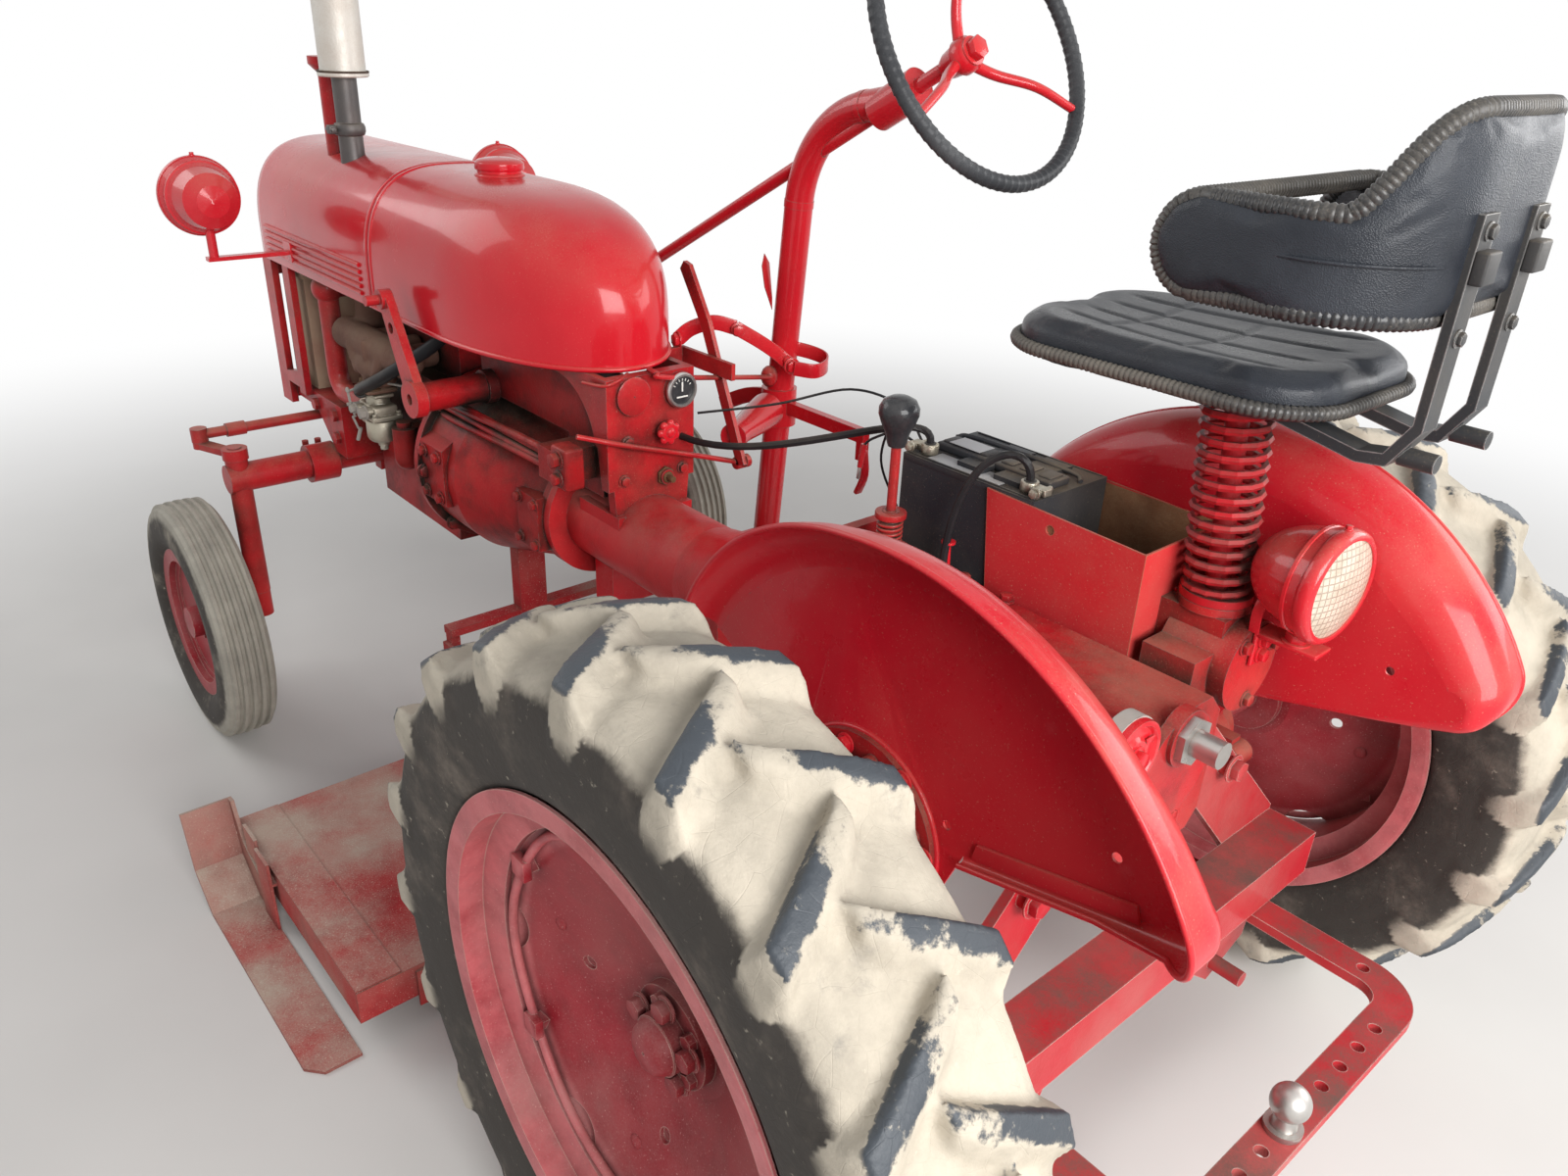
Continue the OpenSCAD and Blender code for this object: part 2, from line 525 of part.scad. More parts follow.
pan_z0 = 756;
panel_x0 = fx - 1020;
module instrument_panel() color(red) at() {
  w = panel_w / 2;
  difference() {
    side_profile_y(panel_x0, 20) translate([engine_y - 4, 0]) polygon([[-w + 8, pan_z0], [w - 8, pan_z0],
      [w, 850], [w + 4, hood_low - g], [-w - 4, hood_low - g], [-w, 850]]);
    cyl_x(engine_y, crank_z, tube_d + 2 * g, panel_x0 - 10, panel_x0 + 40);
  }
  // side webs with an arch over the hydraulic unit
  for (s = [-1, 1]) side_sheet(engine_y - 4 + s * w - 6, engine_y - 4 + s * w + 6) difference() {
    polygon([[panel_x0, 800], [panel_x0 + 20, 800], [panel_x0 + 30, 870], [panel_x0 + 200, 960],
      [panel_x0 + 230, hood_low - g], [panel_x0, hood_low - g]]);
    translate([panel_x0 + 152, 850]) circle(118);
  }
  cyl_x(engine_y - 58, 952, 58, panel_x0 - 8, panel_x0);
  cyl_x(engine_y + 32, 955, 62, panel_x0 - 4, panel_x0);
  cyl_x(engine_y - 24, 890, 14, panel_x0 - 10, panel_x0);
  cyl_x(engine_y - 24, 890, 32, panel_x0 - 22, panel_x0 - 10);
  cyl_x(engine_y - 29, 808, 26, panel_x0 - 10, panel_x0);
  cyl_x(engine_y - 29, 808, 10, panel_x0 - 22, panel_x0 - 10);
}

rock_x = fx - 616; rock_z = 878;
module hydraulic_unit() color(red) at() {
  y = engine_y + 68;
  slab(fx - 984, fx - 880, engine_y - 10, y, crank_z + tube_d / 2 + g, hood_low - 24);
  slab(fx - 880, fx - 580, engine_y + 20, y, 864, hood_low - 24);
  slab(fx - 960, bell_x0 - 20, engine_y + 40, y, 800, 870);
  cyl_y(rock_x, rock_z, 62, y, y + 20);
  cyl_y(rock_x, rock_z, 52, y, arm_y - g);
  for (z = [846, 830]) cyl_x(engine_y + 127, z, 14, fx - 900, fx - 524);
  slab(fx - 960, fx - 900, y, engine_y + 139, 806, 862);
  slab(fx - 524, fx - 510, engine_y + 112, engine_y + 142, 820, 862);
}
arm_y = engine_y + 205 + g;
module lift_arm() color(red) at() translate([rock_x, arm_y, rock_z]) rotate([0, 29, 0]) difference() {
  union() {
    side_sheet(0, 16) polygon([[-26, -14], [26, -14], [17, 180], [-17, 180]]);
    cyl_y(0, 0, 66, 0, 22);
    cyl_y(0, 180, 34, 0, 22);
    cyl_y(0, 180, 18, 22, 46);
  }
  cyl_y(0, 0, 20, 10, 40);
  cyl_y(0, 128, 20, -1, 20);
}

module transmission() color(red) at() {
  along_x(trans_x0, trans_x1) polygon([[-86, 560], [86, 560], [108, 586], [108, 735], [80, 765],
    [-80, 765], [-108, 735], [-108, 586]]);
  for (s = [-1, 1]) mirrored(s) {
    side_arm(0);
    cyl_y(drive[0], drive[1], 224, web_y - 12, web_y);
  }
  cyl_x(0, 700, 150, trans_x0 - 14, trans_x0);
  cyl_x(0, 745, 76, trans_x0 - 20, trans_x0);
  cyl_x(100, 742, 96, trans_x0 + 10, trans_x0 + 60);
  slab(trans_x0 + 20, trans_x0 + 60, 50, 100, 700, 760);
}

module side_arm(c) translate([drive[0], 108, drive[1]]) rotate([-90, 0, 0])
  cylinder(h = web_y - 108 - 12, r1 = 84 + c, r2 = 112 + c);

module final_drive(s) color(red) at() mirrored(s) {
  x = drive[0]; z = drive[1];
  difference() {
    union() {
      cyl_y(x, z, 240, web_y + fender_t, web_y + fender_t + 12);
      for (a = [0 : 60 : 300]) cyl_y(x + 95 * cos(a + 100), z + 95 * sin(a + 100), 22,
        web_y + fender_t + 12, web_y + fender_t + 22);
      cyl_y(x, z, 164, web_y + 15, web_y + 76);
      cyl_y(0, rear_z, 210, web_y + 15, web_y + 76);
      side_sheet(web_y + 15, web_y + 76) polygon([[x - 82, z], [-105, rear_z], [105, rear_z], [x + 82, z]]);
      cyl_y(0, rear_z, 160, web_y + 76, web_y + 90);
      cyl_y(0, rear_z, 116, web_y + 90, 455);
      cyl_y(-118, rear_z + 40, 40, web_y + 20, web_y + 60);
      slab(-118, -60, web_y + 26, web_y + 50, rear_z + 10, rear_z + 70);
    }
    cyl_y(-118, rear_z + 40, 18, web_y, web_y + 100);
  }
}

module pto_shaft() color(steel) at() union() {
  translate([trans_x0 - 30, 0, 745]) rotate([0, 90, 0]) cylinder(h = 10, d = 66, $fn = 6);
  cyl_x(0, 745, pto_d, trans_x0 - 66, trans_x0 - 30);
}

fen = [-42, 592];
// crescent: a big circle, a round rear corner and a lower edge, all inset by t
corner_r = 60; corner_a = 150;
module fender_shape(t) {
  c = fen + (fender_r - corner_r) * [cos(corner_a), sin(corner_a)];
  o = fen + (fender_r + 100) * [cos(corner_a), sin(corner_a)];
  low = c + (corner_r - t) * [-0.255, -0.967];
  difference() {
    union() {
      intersection() {
        translate(fen) circle(fender_r - t, $fn = 128);
        polygon([c, o, [-300, 1200], [600, 1200], [600, 860 + t], [400, 800 + t], [190, 690 + t],
          [150, 560 + t], [-80, 560 + t], [-125, 657 + t], low]);
      }
      translate(c) circle(corner_r - t, $fn = 96);
    }
    translate([0, -400]) square([900, 900]);
  }
}
module fender(s) color(red) at() mirrored(s) {
  difference() {
    union() {
      side_sheet(web_y, web_y + fender_t) union() {
        fender_shape(0);
        translate([drive[0], drive[1]]) circle(124);
      }
      side_sheet(web_y, web_y + fender_w) difference() {
        fender_shape(0);
        fender_shape(fender_t);
        translate([-140, 0]) square([1000, 900]);
        translate([-800, 0]) square([700, 770]);
      }
      side_sheet(web_y, web_y + fender_w) difference() {
        fender_shape(0);
        translate(fen) circle(fender_r - fender_t, $fn = 128);
        translate([-800, 0]) square([1600, 820]);
      }
      side_sheet(web_y, web_y + 16) difference() {
        fender_shape(0);
        fender_shape(fender_t);
        translate([-128, 0]) square([1000, 1200]);
      }
      // notched stiffening strip above the lower edge
      side_sheet(web_y + fender_t, web_y + fender_t + 5) difference() {
        polygon([[-136, 668], [-142, 700], [-340, 751], [-348, 723]]);
        translate([-236, 694]) square([26, 16]);
      }
    }
    cyl_y(drive[0], drive[1], 164, web_y - 10, web_y + 50);
    for (p = [[-305, 781], [-94, 691], [336, 845]]) cyl_y(p[0], p[1], 12, web_y - 5, web_y + 10);
  }
}

beam_x = -234; beam_z = 420;
module rear_beam() color(red) at() {
  slab(beam_x, beam_x + beam_s, -beam_len / 2, beam_len / 2, beam_z - beam_s, beam_z);
  for (s = [-1, 1]) mirrored(s) {
    // plate from the final drive flange down to the end of the beam
    side_profile_y(beam_x + beam_s, 14) polygon([[108, 690], [108, 600], [beam_len / 2 - 70, beam_z - beam_s],
      [beam_len / 2, beam_z - beam_s], [beam_len / 2, beam_z + 8], [150, 690]]);
    for (p = [[140, 650], [220, 590]]) cyl_x(p[0], p[1], 30, beam_x + beam_s - 14, beam_x + beam_s);
    // pierced hanger plate under the beam
    difference() {
      side_profile_y(beam_x + 30, 12) polygon([[150, beam_z - beam_s], [340, beam_z - beam_s], [326, 250],
        [236, 210], [186, 250]]);
      for (y = [212, 240]) cyl_x(y, 300, 20, beam_x + 20, beam_x + 60);
      slab(beam_x + 20, beam_x + 60, drawbar_w / 2 - bar_w - g, drawbar_w / 2 + g, drawbar_z - bar_t - g, 345);
    }
    cyl_x(240, 246, 24, beam_x - 20, beam_x + 42);
  }
}

dbx = -474;
hole_pitch = 48.5;
module drawbar() color(red) at() difference() {
  z0 = drawbar_z - bar_t; w = drawbar_w / 2; r = 80;
  union() {
    slab(dbx, dbx + bar_w, -w + r, w - r, z0, drawbar_z);
    for (s = [-1, 1]) mirrored(s) {
      translate([dbx + r, w - r, z0]) intersection() {
        difference() { cylinder(h = bar_t, r = r); translate([0, 0, -1]) cylinder(h = 99, r = r - bar_w); }
        translate([-200, 0, 0]) cube([200, 200, 99]);
      }
      slab(dbx + r, beam_x + beam_s + 60, w - bar_w, w, z0, drawbar_z);
      slab(beam_x + 8, beam_x + beam_s - 8, w - bar_w, w, drawbar_z, beam_z - beam_s);
    }
  }
  for (i = [-4 : 4]) translate([dbx + bar_w / 2, i * hole_pitch, 0]) cylinder(h = 900, d = bar_hole);
  for (s = [-1, 1]) translate([dbx + 86, s * (w - bar_w / 2), 0]) cylinder(h = 900, d = bar_hole);
}

module hitch_ball() color(steel) at() translate([dbx + bar_w / 2, hole_pitch, drawbar_z]) {
  cylinder(h = 8, d = 46);
  cylinder(h = 30, d1 = 34, d2 = 24);
  translate([0, 0, 44]) sphere(d = ball_d);
  translate([0, 0, -bar_t - 18]) cylinder(h = bar_t + 20, d = bar_hole - 0.6);
  translate([0, 0, -bar_t - 16]) cylinder(h = 16, d = 30, $fn = 6);
}

// steering post: a leaning upright, one bend and a short run to the shaft
post_y = -seat_y;
post_a = 95.2; post_turn = 74; bend_r = 185;
post_foot = [862, 561]; post_top = [802, 1215];
post_c = post_top - bend_r * [sin(post_a), -cos(post_a)];
post_end = post_c + bend_r * [sin(post_a + post_turn), -cos(post_a + post_turn)];
module post_run(a, b) translate([a[0], 0, a[1]]) rotate([0, atan2(b[0] - a[0], b[1] - a[1]), 0])
  cylinder(h = norm(b - a), d = post_d);
module steering_post() color(red) at() {
  difference() {
    union() {
      steering_axis() translate([0, 0, 96]) cylinder(h = 90, d = 58);
      post_tube();
    }
    steering_axis() cylinder(h = 460, d = 22 + 2 * g);
  }
  // foot and stay to the tube
  slab(800, 920, post_y - 60, 26, 545, 561);
  slab(816, 872, 26, engine_y + 30, 545, crank_z - tube_d / 2 - g);
}
module post_tube() translate([0, post_y, 0]) {
    post_run(post_foot, post_top);
    for (p = [[post_top, post_a - 90], [post_end, post_a + post_turn - 90]]) translate([p[0][0], 0, p[0][1]])
      rotate([0, -p[1], 0]) translate([0, 0, -6]) cylinder(h = 12, d = post_d + 2);
    translate([post_c[0], 0, post_c[1]]) rotate([90, 0, 0]) rotate([0, 0, post_a - 90])
      rotate_extrude(angle = post_turn, $fn = 96) translate([bend_r, 0]) circle(d = post_d);
    post_run(post_end, post_end + 70 * [cos(post_a + post_turn), sin(post_a + post_turn)]);
        translate([836, 0, 812]) cylinder(h = 70, d = post_d + 16);
    slab(600, 836, -8, 8, 838, 862);
    slab(600, 616, -8, 8, 806, 862);
}

module steering_wheel() color(dark) at() translate([hub_x, post_y, hub_z]) rotate([0, 90 + column_a, 0]) {
  r = wheel_d / 2 - wheel_t / 2;
  translate([0, 0, -36]) rotate_extrude($fn = 96) translate([r, 0]) circle(d = wheel_t, $fn = 24);
  translate([0, 0, -14]) cylinder(h = 44, d = 50);
  translate([0, 0, -26]) cylinder(h = 14, d = 24, $fn = 6);
  for (i = [0 : 2]) rotate(60 + i * 120) rotate([0, 90 + atan2(36, r), 0]) cylinder(h = norm([r, 36]), d = 14);
  cylinder(h = shaft_l, d = 22);
}
shaft_l = norm([fx - 60 - hub_x, hub_z - 800]);

module hand_lever() color(red) at() {
  side_sheet(-44, -36) polygon([[692, 812], [712, 806], [816, 1026], [876, 1112], [866, 1126], [850, 1122],
    [796, 1038]]);
  cyl_y(702, 816, 22, -52, -44);
  // quadrant strap from the panel to the post, rod across
  slab(858, 866, -36, engine_y - 10 - panel_w / 2, 954, 982);
  slab(720, 866, -36, -28, 954, 982);
}

module gear_lever() color(red) at() translate([346, -40, 765]) {
  cylinder(h = 20, d = 70);
  translate([0, 0, 20]) cylinder(h = 60, d = 26);
  for (i = [0 : 4]) translate([0, 0, 24 + i * 11]) cylinder(h = 6, d = 34);
  cylinder(h = 222, d = 15);
  translate([0, 0, 222]) sphere(d = 38);
  translate([0, 0, 200]) cylinder(h = 12, d = 24);
}

pan_t = 40;
module rounded(x0, x1, y0, y1, r, h) {
  for (x = [x0 + r, x1 - r]) for (y = [y0 + r, y1 - r]) translate([x, y, 0]) cylinder(h = h, r = r);
  translate([x0 + r, y0, 0]) cube([x1 - x0 - 2 * r, y1 - y0, h]);
  translate([x0, y0 + r, 0]) cube([x1 - x0, y1 - y0 - 2 * r, h]);
}
module seat_pan() color(dark) at() translate([0, -seat_y, seat_z])
  rounded(-228, 234, -seat_w / 2, seat_w / 2, 100, pan_t);

// wrap-around back: a U in plan, cut to its side outline
back_x = -300; back_w = 404; back_t = 26; back_corner = 130;
back_z = seat_z + 125;
module back_plan(t) {
  c = back_w / 2 - back_corner;
  for (s = [-1, 1]) translate([back_x + back_corner, s * c]) circle(back_corner - t);
  translate([back_x + back_corner, t - back_w / 2]) square([500, back_w - 2 * t]);
  translate([back_x + t, -c]) square([back_corner, 2 * c]);
}
module seat_back() color(dark) at() intersection() {
  translate([0, -seat_y, back_z]) linear_extrude(210) difference() { back_plan(0); back_plan(back_t); }
  side_sheet(-seat_y - back_w, back_w - seat_y) union() {
    translate([-72, back_z + 52]) circle(52);
    polygon(concat([[-72, back_z], [-72, back_z + 104]],
      [for (t = [0 : 0.125 : 1]) [-215 - 75 * t, back_z + 104 + 103 * t * t * (3 - 2 * t)]],
      [[-400, back_z + 207], [-400, back_z]]));
  }
}
module seat_frame() color(dark) at() {
  slab(-190, 60, -seat_y - 58, -seat_y + 82, seat_z - 12, seat_z);
  for (y = [-70, 70]) {
    side_sheet(-seat_y + y - 18, -seat_y + y + 18) polygon([[-120, seat_z], [-120, seat_z - 14],
      [-250, seat_z - 40], [-284, seat_z - 36], [back_x - 12, seat_z + 10], [back_x - 12, seat_z + 235],
      [back_x - g, seat_z + 235], [back_x - g, seat_z + 16], [-278, seat_z - 22], [-250, seat_z - 26],
      [-170, seat_z - 10], [-170, seat_z]]);
    cyl_x(-seat_y + y, seat_z - 24, 22, -330, -290);
  }
}
spring_x = -98; spring_y = -206; spring_z0 = 834; spring_lean = 5.4;
coils = 14;
module seat_spring() color(red) at() translate([spring_x, spring_y, spring_z0]) {
  h = seat_z - 12 - spring_z0; r = (spring_d - spring_wire) / 2; q = 14;
  dx = h * tan(spring_lean);
  cylinder(h = 12, r = r + 6);
  translate([dx, 0, h - 12]) cylinder(h = 12, r = r + 6);
  translate([0, 0, 6]) rotate([0, spring_lean, 0]) cylinder(h = (h - 12) / cos(spring_lean), d = 30);
  cord([for (i = [0 : q * coils]) let (z = 11 + i * (h - 22) / (q * coils))
    [z * tan(spring_lean) + r * cos(i * 360 / q), r * sin(i * 360 / q), z]], spring_wire / 2, 6, [0, 0, 1]);
}
module seat_bracket() color(red) at() {
  translate([spring_x, spring_y, spring_z0 - 12]) cylinder(h = 12, d = spring_d + 2);
  slab(-140, box_x0 - g, spring_y - 40, spring_y + 40, 765, spring_z0 - 12);
  cyl_x(spring_y - 6, 752, 130, -165, -62);
  slab(-140, -62, -170, -108, 690, 780);
}

// box open at the top and front, on a narrower pedestal
box_z0 = 740; box_z1 = 897;
box_y = -199;
box_l = 259;
module battery_box() color(red) at() {
  y0 = box_y - box_w / 2; y1 = box_y + box_w / 2;
  slab(box_x0, box_x0 + box_l, y0, y1, box_z0, box_z0 + box_t);
  slab(box_x0, box_x0 + box_t, y0, y1, box_z0, box_z1);
  difference() {
    side_sheet(y1 - box_t, y1) polygon([[box_x0, box_z0], [box_x0 + box_l - 8, box_z0],
      [box_x0 + box_l + 10, box_z1 + 8], [box_x0, box_z1]]);
    cyl_y(box_x0 + 152, box_z1 - 18, 14, y0, y1 + 5);
  }
  side_sheet(y0, y0 + box_t) polygon([[box_x0, box_z0], [box_x0 + box_l - 8, box_z0],
    [box_x0 + box_l + 10, box_z1 + 8], [box_x0, box_z1]]);
  difference() {
    slab(box_x0 + 20, box_x0 + 150, -250, -108, 640, box_z0);
    mirrored(-1) side_arm(0.5);
  }
}
batt_x0 = box_x0 + 188;
module battery() color(dark) at() {
  y0 = box_y - batt_w / 2;
  slab(batt_x0, batt_x0 + batt_l, y0, y0 + batt_w, box_z0 + box_t, box_z0 + box_t + batt_h);
  for (x = [30, batt_l - 30]) translate([batt_x0 + x, y0 + batt_w - 26, box_z0 + box_t + batt_h])
    cylinder(h = 18, d = 18);
  for (p = [[70, 100], [140, 100]]) slab(batt_x0 + p[0] - 24, batt_x0 + p[0] + 24, y0 + 24, y0 + 150,
    box_z0 + box_t + batt_h, box_z0 + box_t + batt_h + 8);
}

// a cord swept along round points; up is a direction that it never runs along
function unit(v) = v / norm(v);
function tangent(p, i) = unit(p[min(i + 1, len(p) - 1)] - p[max(i - 1, 0)]);
function ring(p, i, r, m, up) = let (t = tangent(p, i), a = unit(cross(t, up)), b = cross(t, a))
  [for (k = [0 : m - 1]) p[i] + r * (cos(k * 360 / m) * a + sin(k * 360 / m) * b)];
module cord(p, r, m, up) loft([for (i = [0 : len(p) - 1]) ring(p, i, r, m, up)]);
// battery cables: from the posts to the transmission and to the panel
post_y0 = box_y + batt_w / 2 - 26;
cable_z = box_z0 + box_t + batt_h + 18.6;
ground_x = batt_x0 + 30; start_x = batt_x0 + batt_l - 30;
ground_end = [262, -72, 765 + g]; start_end = [panel_x0 - g, 61, 870];
function bezier(a, b, c, d, n) = [for (i = [0 : n]) let (t = i / n, u = 1 - t)
  u * u * u * a + 3 * u * u * t * b + 3 * u * t * t * c + t * t * t * d];
module cable_ground() color(dark) at() cord(bezier([ground_x, post_y0, cable_z], [ground_x, post_y0, cable_z + 60],
  [262, -72, cable_z + 60], ground_end, 20), 6, 8, [1, 0, 0]);
module cable_starter() color(dark) at() cord(bezier([start_x, post_y0, cable_z], [start_x, post_y0, cable_z + 75],
  [520, 61, 870], start_end, 24), 6, 8, [0, 1, 0]);

// bell, seam ring, bezel and bulging glass
module lamp(p, a) translate(p) rotate([0, 90, a]) rotate_extrude() polygon([[0, -78], [30, -74], [52, -60],
  [lamp_d / 2 - 14, -22], [lamp_d / 2 - 9, -14], [lamp_d / 2 - 5, -12], [lamp_d / 2 - 5, -4], [lamp_d / 2 - 8, -2],
  [lamp_d / 2 - 2, 10], [lamp_d / 2, 14], [lamp_d / 2, 24], [lamp_d / 2 - 6, 28], [lamp_d / 2 - 9, 24], [40, 33],
  [0, 37]]);
hl_y = 330; hl_x = fx + 40; hl_z = 1140; pad_z = hood_low;
module headlamp(s) color(red) at() translate([0, engine_y, 0]) mirrored(s) {
  lamp([hl_x, hl_y, hl_z], 0);
  translate([hl_x - 14, hl_y, pad_z + 39]) cylinder(h = hl_z - lamp_d / 2 + 14 - pad_z - 39, d = 18);
  slab(hl_x - 24, hl_x - 4, hood_r, hl_y + 14, pad_z + 33, pad_z + 41);
  slab(hl_x - 34, hl_x + 6, hood_r, hood_r + 6, pad_z + 19, pad_z + 59);
}
module work_lamp() color(red) at() {
  lamp([-222, -215, 900], 205);
  translate([-214, -212, 812]) cylinder(h = 30, d = 20);
  slab(-250, -171, -236, -196, 804, 812);
  slab(-171, -165, -236, -196, 760, 812);
}

hang_x = bell_x1 - 82;
deck_x0 = hang_x - 530;
module mower_deck() color(red) at() {
  x1 = deck_x0 + deck_l; y = deck_hw;
  slab(deck_x0, x1, -y, y, deck_z - deck_t, deck_z);
  slab(deck_x0, deck_x0 + deck_t, -y, y, 60, deck_z);
  slab(x1 - deck_t, x1, -y, y, 76, deck_z);
  for (s = [-1, 1]) mirrored(s) {
    slab(deck_x0, x1, y - deck_t, y, 60, deck_z);
    slab(deck_x0 + 2, x1 - 2, y - 74, y, deck_z, deck_z + 3);
    slab(deck_x0 - 4, deck_x0, y - 340, y - 96, 40, 112);
    // runner shoe with its turned-up nose, bolted to the deck's front corner
    linear_extrude(6) polygon([[x1 - 90, y + 7], [deck_x0 - 5, y + 7], [deck_x0 - 5, y + 66],
      [deck_x0 + 22, y + 90], [x1 - 90, y + 90]]);
    side_sheet(y + 7, y + 90) polygon([[x1 - 90, 0], [x1 - 90, 6], [x1 - 20, 60], [x1 + 6, 170], [x1 + 12, 169],
      [x1 - 14, 56], [x1 - 86, 0]]);
    slab(x1 - 120, x1 - 60, y, y + 6, 90, 150);
    side_sheet(y, y + 7) polygon([[x1 - 86, 0], [x1 - 14, 56], [x1 + 12, 169], [x1 - 8, 172], [x1 - 40, 100],
      [x1 - 130, 60], [x1 - 130, 0]]);
    slab(x1 - 200, x1 - 140, y + 7, y + 13, 6, 150);
    slab(x1 - 200, x1 - 140, y - deck_t, y + 7, 100, 106);
  }
}
module deck_hangers() color(red) at() {
  for (s = [-1, 1]) mirrored(s) {
    slab(hang_x - 10, hang_x + 10, 290, 310, deck_z, 380);
    slab(hang_x - 140, hang_x + 10, 310, 318, 340, 364);
  }
  slab(hang_x - 16, hang_x + 16, -310, 310, 380, 396);
  slab(hang_x - 16, hang_x + 16, engine_y - 30, engine_y + 30, 396, crank_z - 160 - g);
}

rear_tyre_left();
rear_tyre_right();
rear_rim_left();
rear_rim_right();
front_tyre_left();
front_tyre_right();
front_rim_left();
front_rim_right();
knuckle_left();
knuckle_right();
tie_rod();
front_axle();
front_bolster();
radiator();
grille();
hood();
fuel_tank();
engine_block();
manifold();
carburettor();
air_intake();
exhaust();
clutch_housing();
torque_tube();
instrument_panel();
hydraulic_unit();
lift_arm();
transmission();
final_drive_left();
final_drive_right();
pto_shaft();
fender_left();
fender_right();
rear_beam();
drawbar();
hitch_ball();
steering_post();
steering_wheel();
hand_lever();
gear_lever();
seat_pan();
seat_back();
seat_frame();
seat_spring();
seat_bracket();
battery_box();
battery();
cable_ground();
cable_starter();
headlamp_left();
headlamp_right();
work_lamp();
mower_deck();
deck_hangers();

module rear_tyre_left() rear_tyre(1);
module rear_tyre_right() rear_tyre(-1);
module rear_rim_left() rear_rim(1);
module rear_rim_right() rear_rim(-1);
module front_tyre_left() front_tyre(1);
module front_tyre_right() front_tyre(-1);
module front_rim_left() front_rim(1);
module front_rim_right() front_rim(-1);
module knuckle_left() knuckle(1);
module knuckle_right() knuckle(-1);
module final_drive_left() final_drive(1);
module final_drive_right() final_drive(-1);
module fender_left() fender(1);
module fender_right() fender(-1);
module headlamp_left() headlamp(1);
module headlamp_right() headlamp(-1);
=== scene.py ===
"""Looks of the small vintage tractor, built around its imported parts.

Sizes are millimetres from the rear axle, as a maker's drawing gives them: x forward,
y to the driver's left, z up from the floor. spot() turns them into the part's own metres.
"""

import json
import logging
import math
from dataclasses import dataclass, field
from enum import Enum
from functools import cache
from typing import Callable, Sequence

import bmesh
import bpy
from mathutils import Matrix, Vector

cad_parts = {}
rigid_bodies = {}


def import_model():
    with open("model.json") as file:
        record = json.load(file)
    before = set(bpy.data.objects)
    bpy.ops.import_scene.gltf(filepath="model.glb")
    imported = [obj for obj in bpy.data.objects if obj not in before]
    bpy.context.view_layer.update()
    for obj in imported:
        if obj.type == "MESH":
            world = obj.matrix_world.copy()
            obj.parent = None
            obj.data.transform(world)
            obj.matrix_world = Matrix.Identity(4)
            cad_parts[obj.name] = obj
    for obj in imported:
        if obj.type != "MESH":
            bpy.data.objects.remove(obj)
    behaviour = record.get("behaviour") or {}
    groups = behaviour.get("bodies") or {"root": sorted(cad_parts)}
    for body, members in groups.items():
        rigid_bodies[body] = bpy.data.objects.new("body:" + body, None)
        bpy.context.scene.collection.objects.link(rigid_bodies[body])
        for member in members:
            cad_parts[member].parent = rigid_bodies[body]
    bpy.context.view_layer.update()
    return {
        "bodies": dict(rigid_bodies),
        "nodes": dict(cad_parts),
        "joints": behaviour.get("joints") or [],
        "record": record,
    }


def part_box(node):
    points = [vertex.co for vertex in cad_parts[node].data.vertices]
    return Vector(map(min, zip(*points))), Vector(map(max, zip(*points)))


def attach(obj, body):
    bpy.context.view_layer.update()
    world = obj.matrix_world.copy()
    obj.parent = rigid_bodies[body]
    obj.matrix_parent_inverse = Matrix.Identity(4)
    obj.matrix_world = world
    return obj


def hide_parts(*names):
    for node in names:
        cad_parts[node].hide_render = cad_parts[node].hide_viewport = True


log = logging.getLogger("tractor")

MM = 0.001
WHEEL_STEPS = 96
ROUND_STEPS = 48
REAR_AXLE_Z = 495
Colour = tuple[float, float, float]
Points = Sequence[Sequence[float]]
Piece = bpy.types.Object
Socket = bpy.types.NodeSocket
AHEAD = Vector((1, 0, 0))
BACK = Vector((-1, 0, 0))
LEFT = Vector((0, 1, 0))
UP = Vector((0, 0, 1))


class Slot(Enum):
    """The record's material slots."""

    RED = "red_paint"
    WHEEL = "wheel_red"
    WORN = "worn_red"
    TYRE = "tyre"
    IRON = "rusty_iron"
    ALLOY = "carburettor_alloy"
    PIPE = "exhaust_steel"
    STEEL = "worn_steel"
    VINYL = "black_vinyl"
    FRAME = "black_frame"
    BATTERY = "battery_case"
    CABLE = "cable_rubber"
    TAPE = "taped_rim"


class Body(Enum):
    """The tractor's moving bodies."""

    CHASSIS = "chassis"
    REAR_LEFT = "rear_wheel_left"
    REAR_RIGHT = "rear_wheel_right"
    FRONT_LEFT = "front_wheel_left"
    FRONT_RIGHT = "front_wheel_right"
    STEERING = "steering_wheel"


@cache
def rear_axle_x() -> float:
    """Where the rear axle stands along the part, in metres."""
    low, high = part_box("rear_tyre_left")
    return (low.x + high.x) / 2


def spot(x: float, y: float, z: float) -> Vector:
    """A point given in millimetres from the rear axle, in the part's metres.

    Args:
        x: Forward of the rear axle.
        y: Left of the middle.
        z: Above the floor.

    Returns:
        The point in metres.
    """
    return Vector((x * MM + rear_axle_x(), y * MM, z * MM))


def spots(*points: Sequence[float]) -> list[Vector]:
    """A row of points given in tractor millimetres."""
    return [spot(*point) for point in points]


# modelling by hand, with the operators


def deselect() -> None:
    """Leaves edit mode and selects nothing."""
    if bpy.context.object and bpy.context.object.mode != "OBJECT":
        bpy.ops.object.mode_set(mode="OBJECT")
    bpy.ops.object.select_all(action="DESELECT")


def take(*objects: Piece) -> None:
    """Selects these objects alone, the first one active."""
    deselect()
    for obj in objects:
        obj.select_set(True)
    bpy.context.view_layer.objects.active = objects[0]


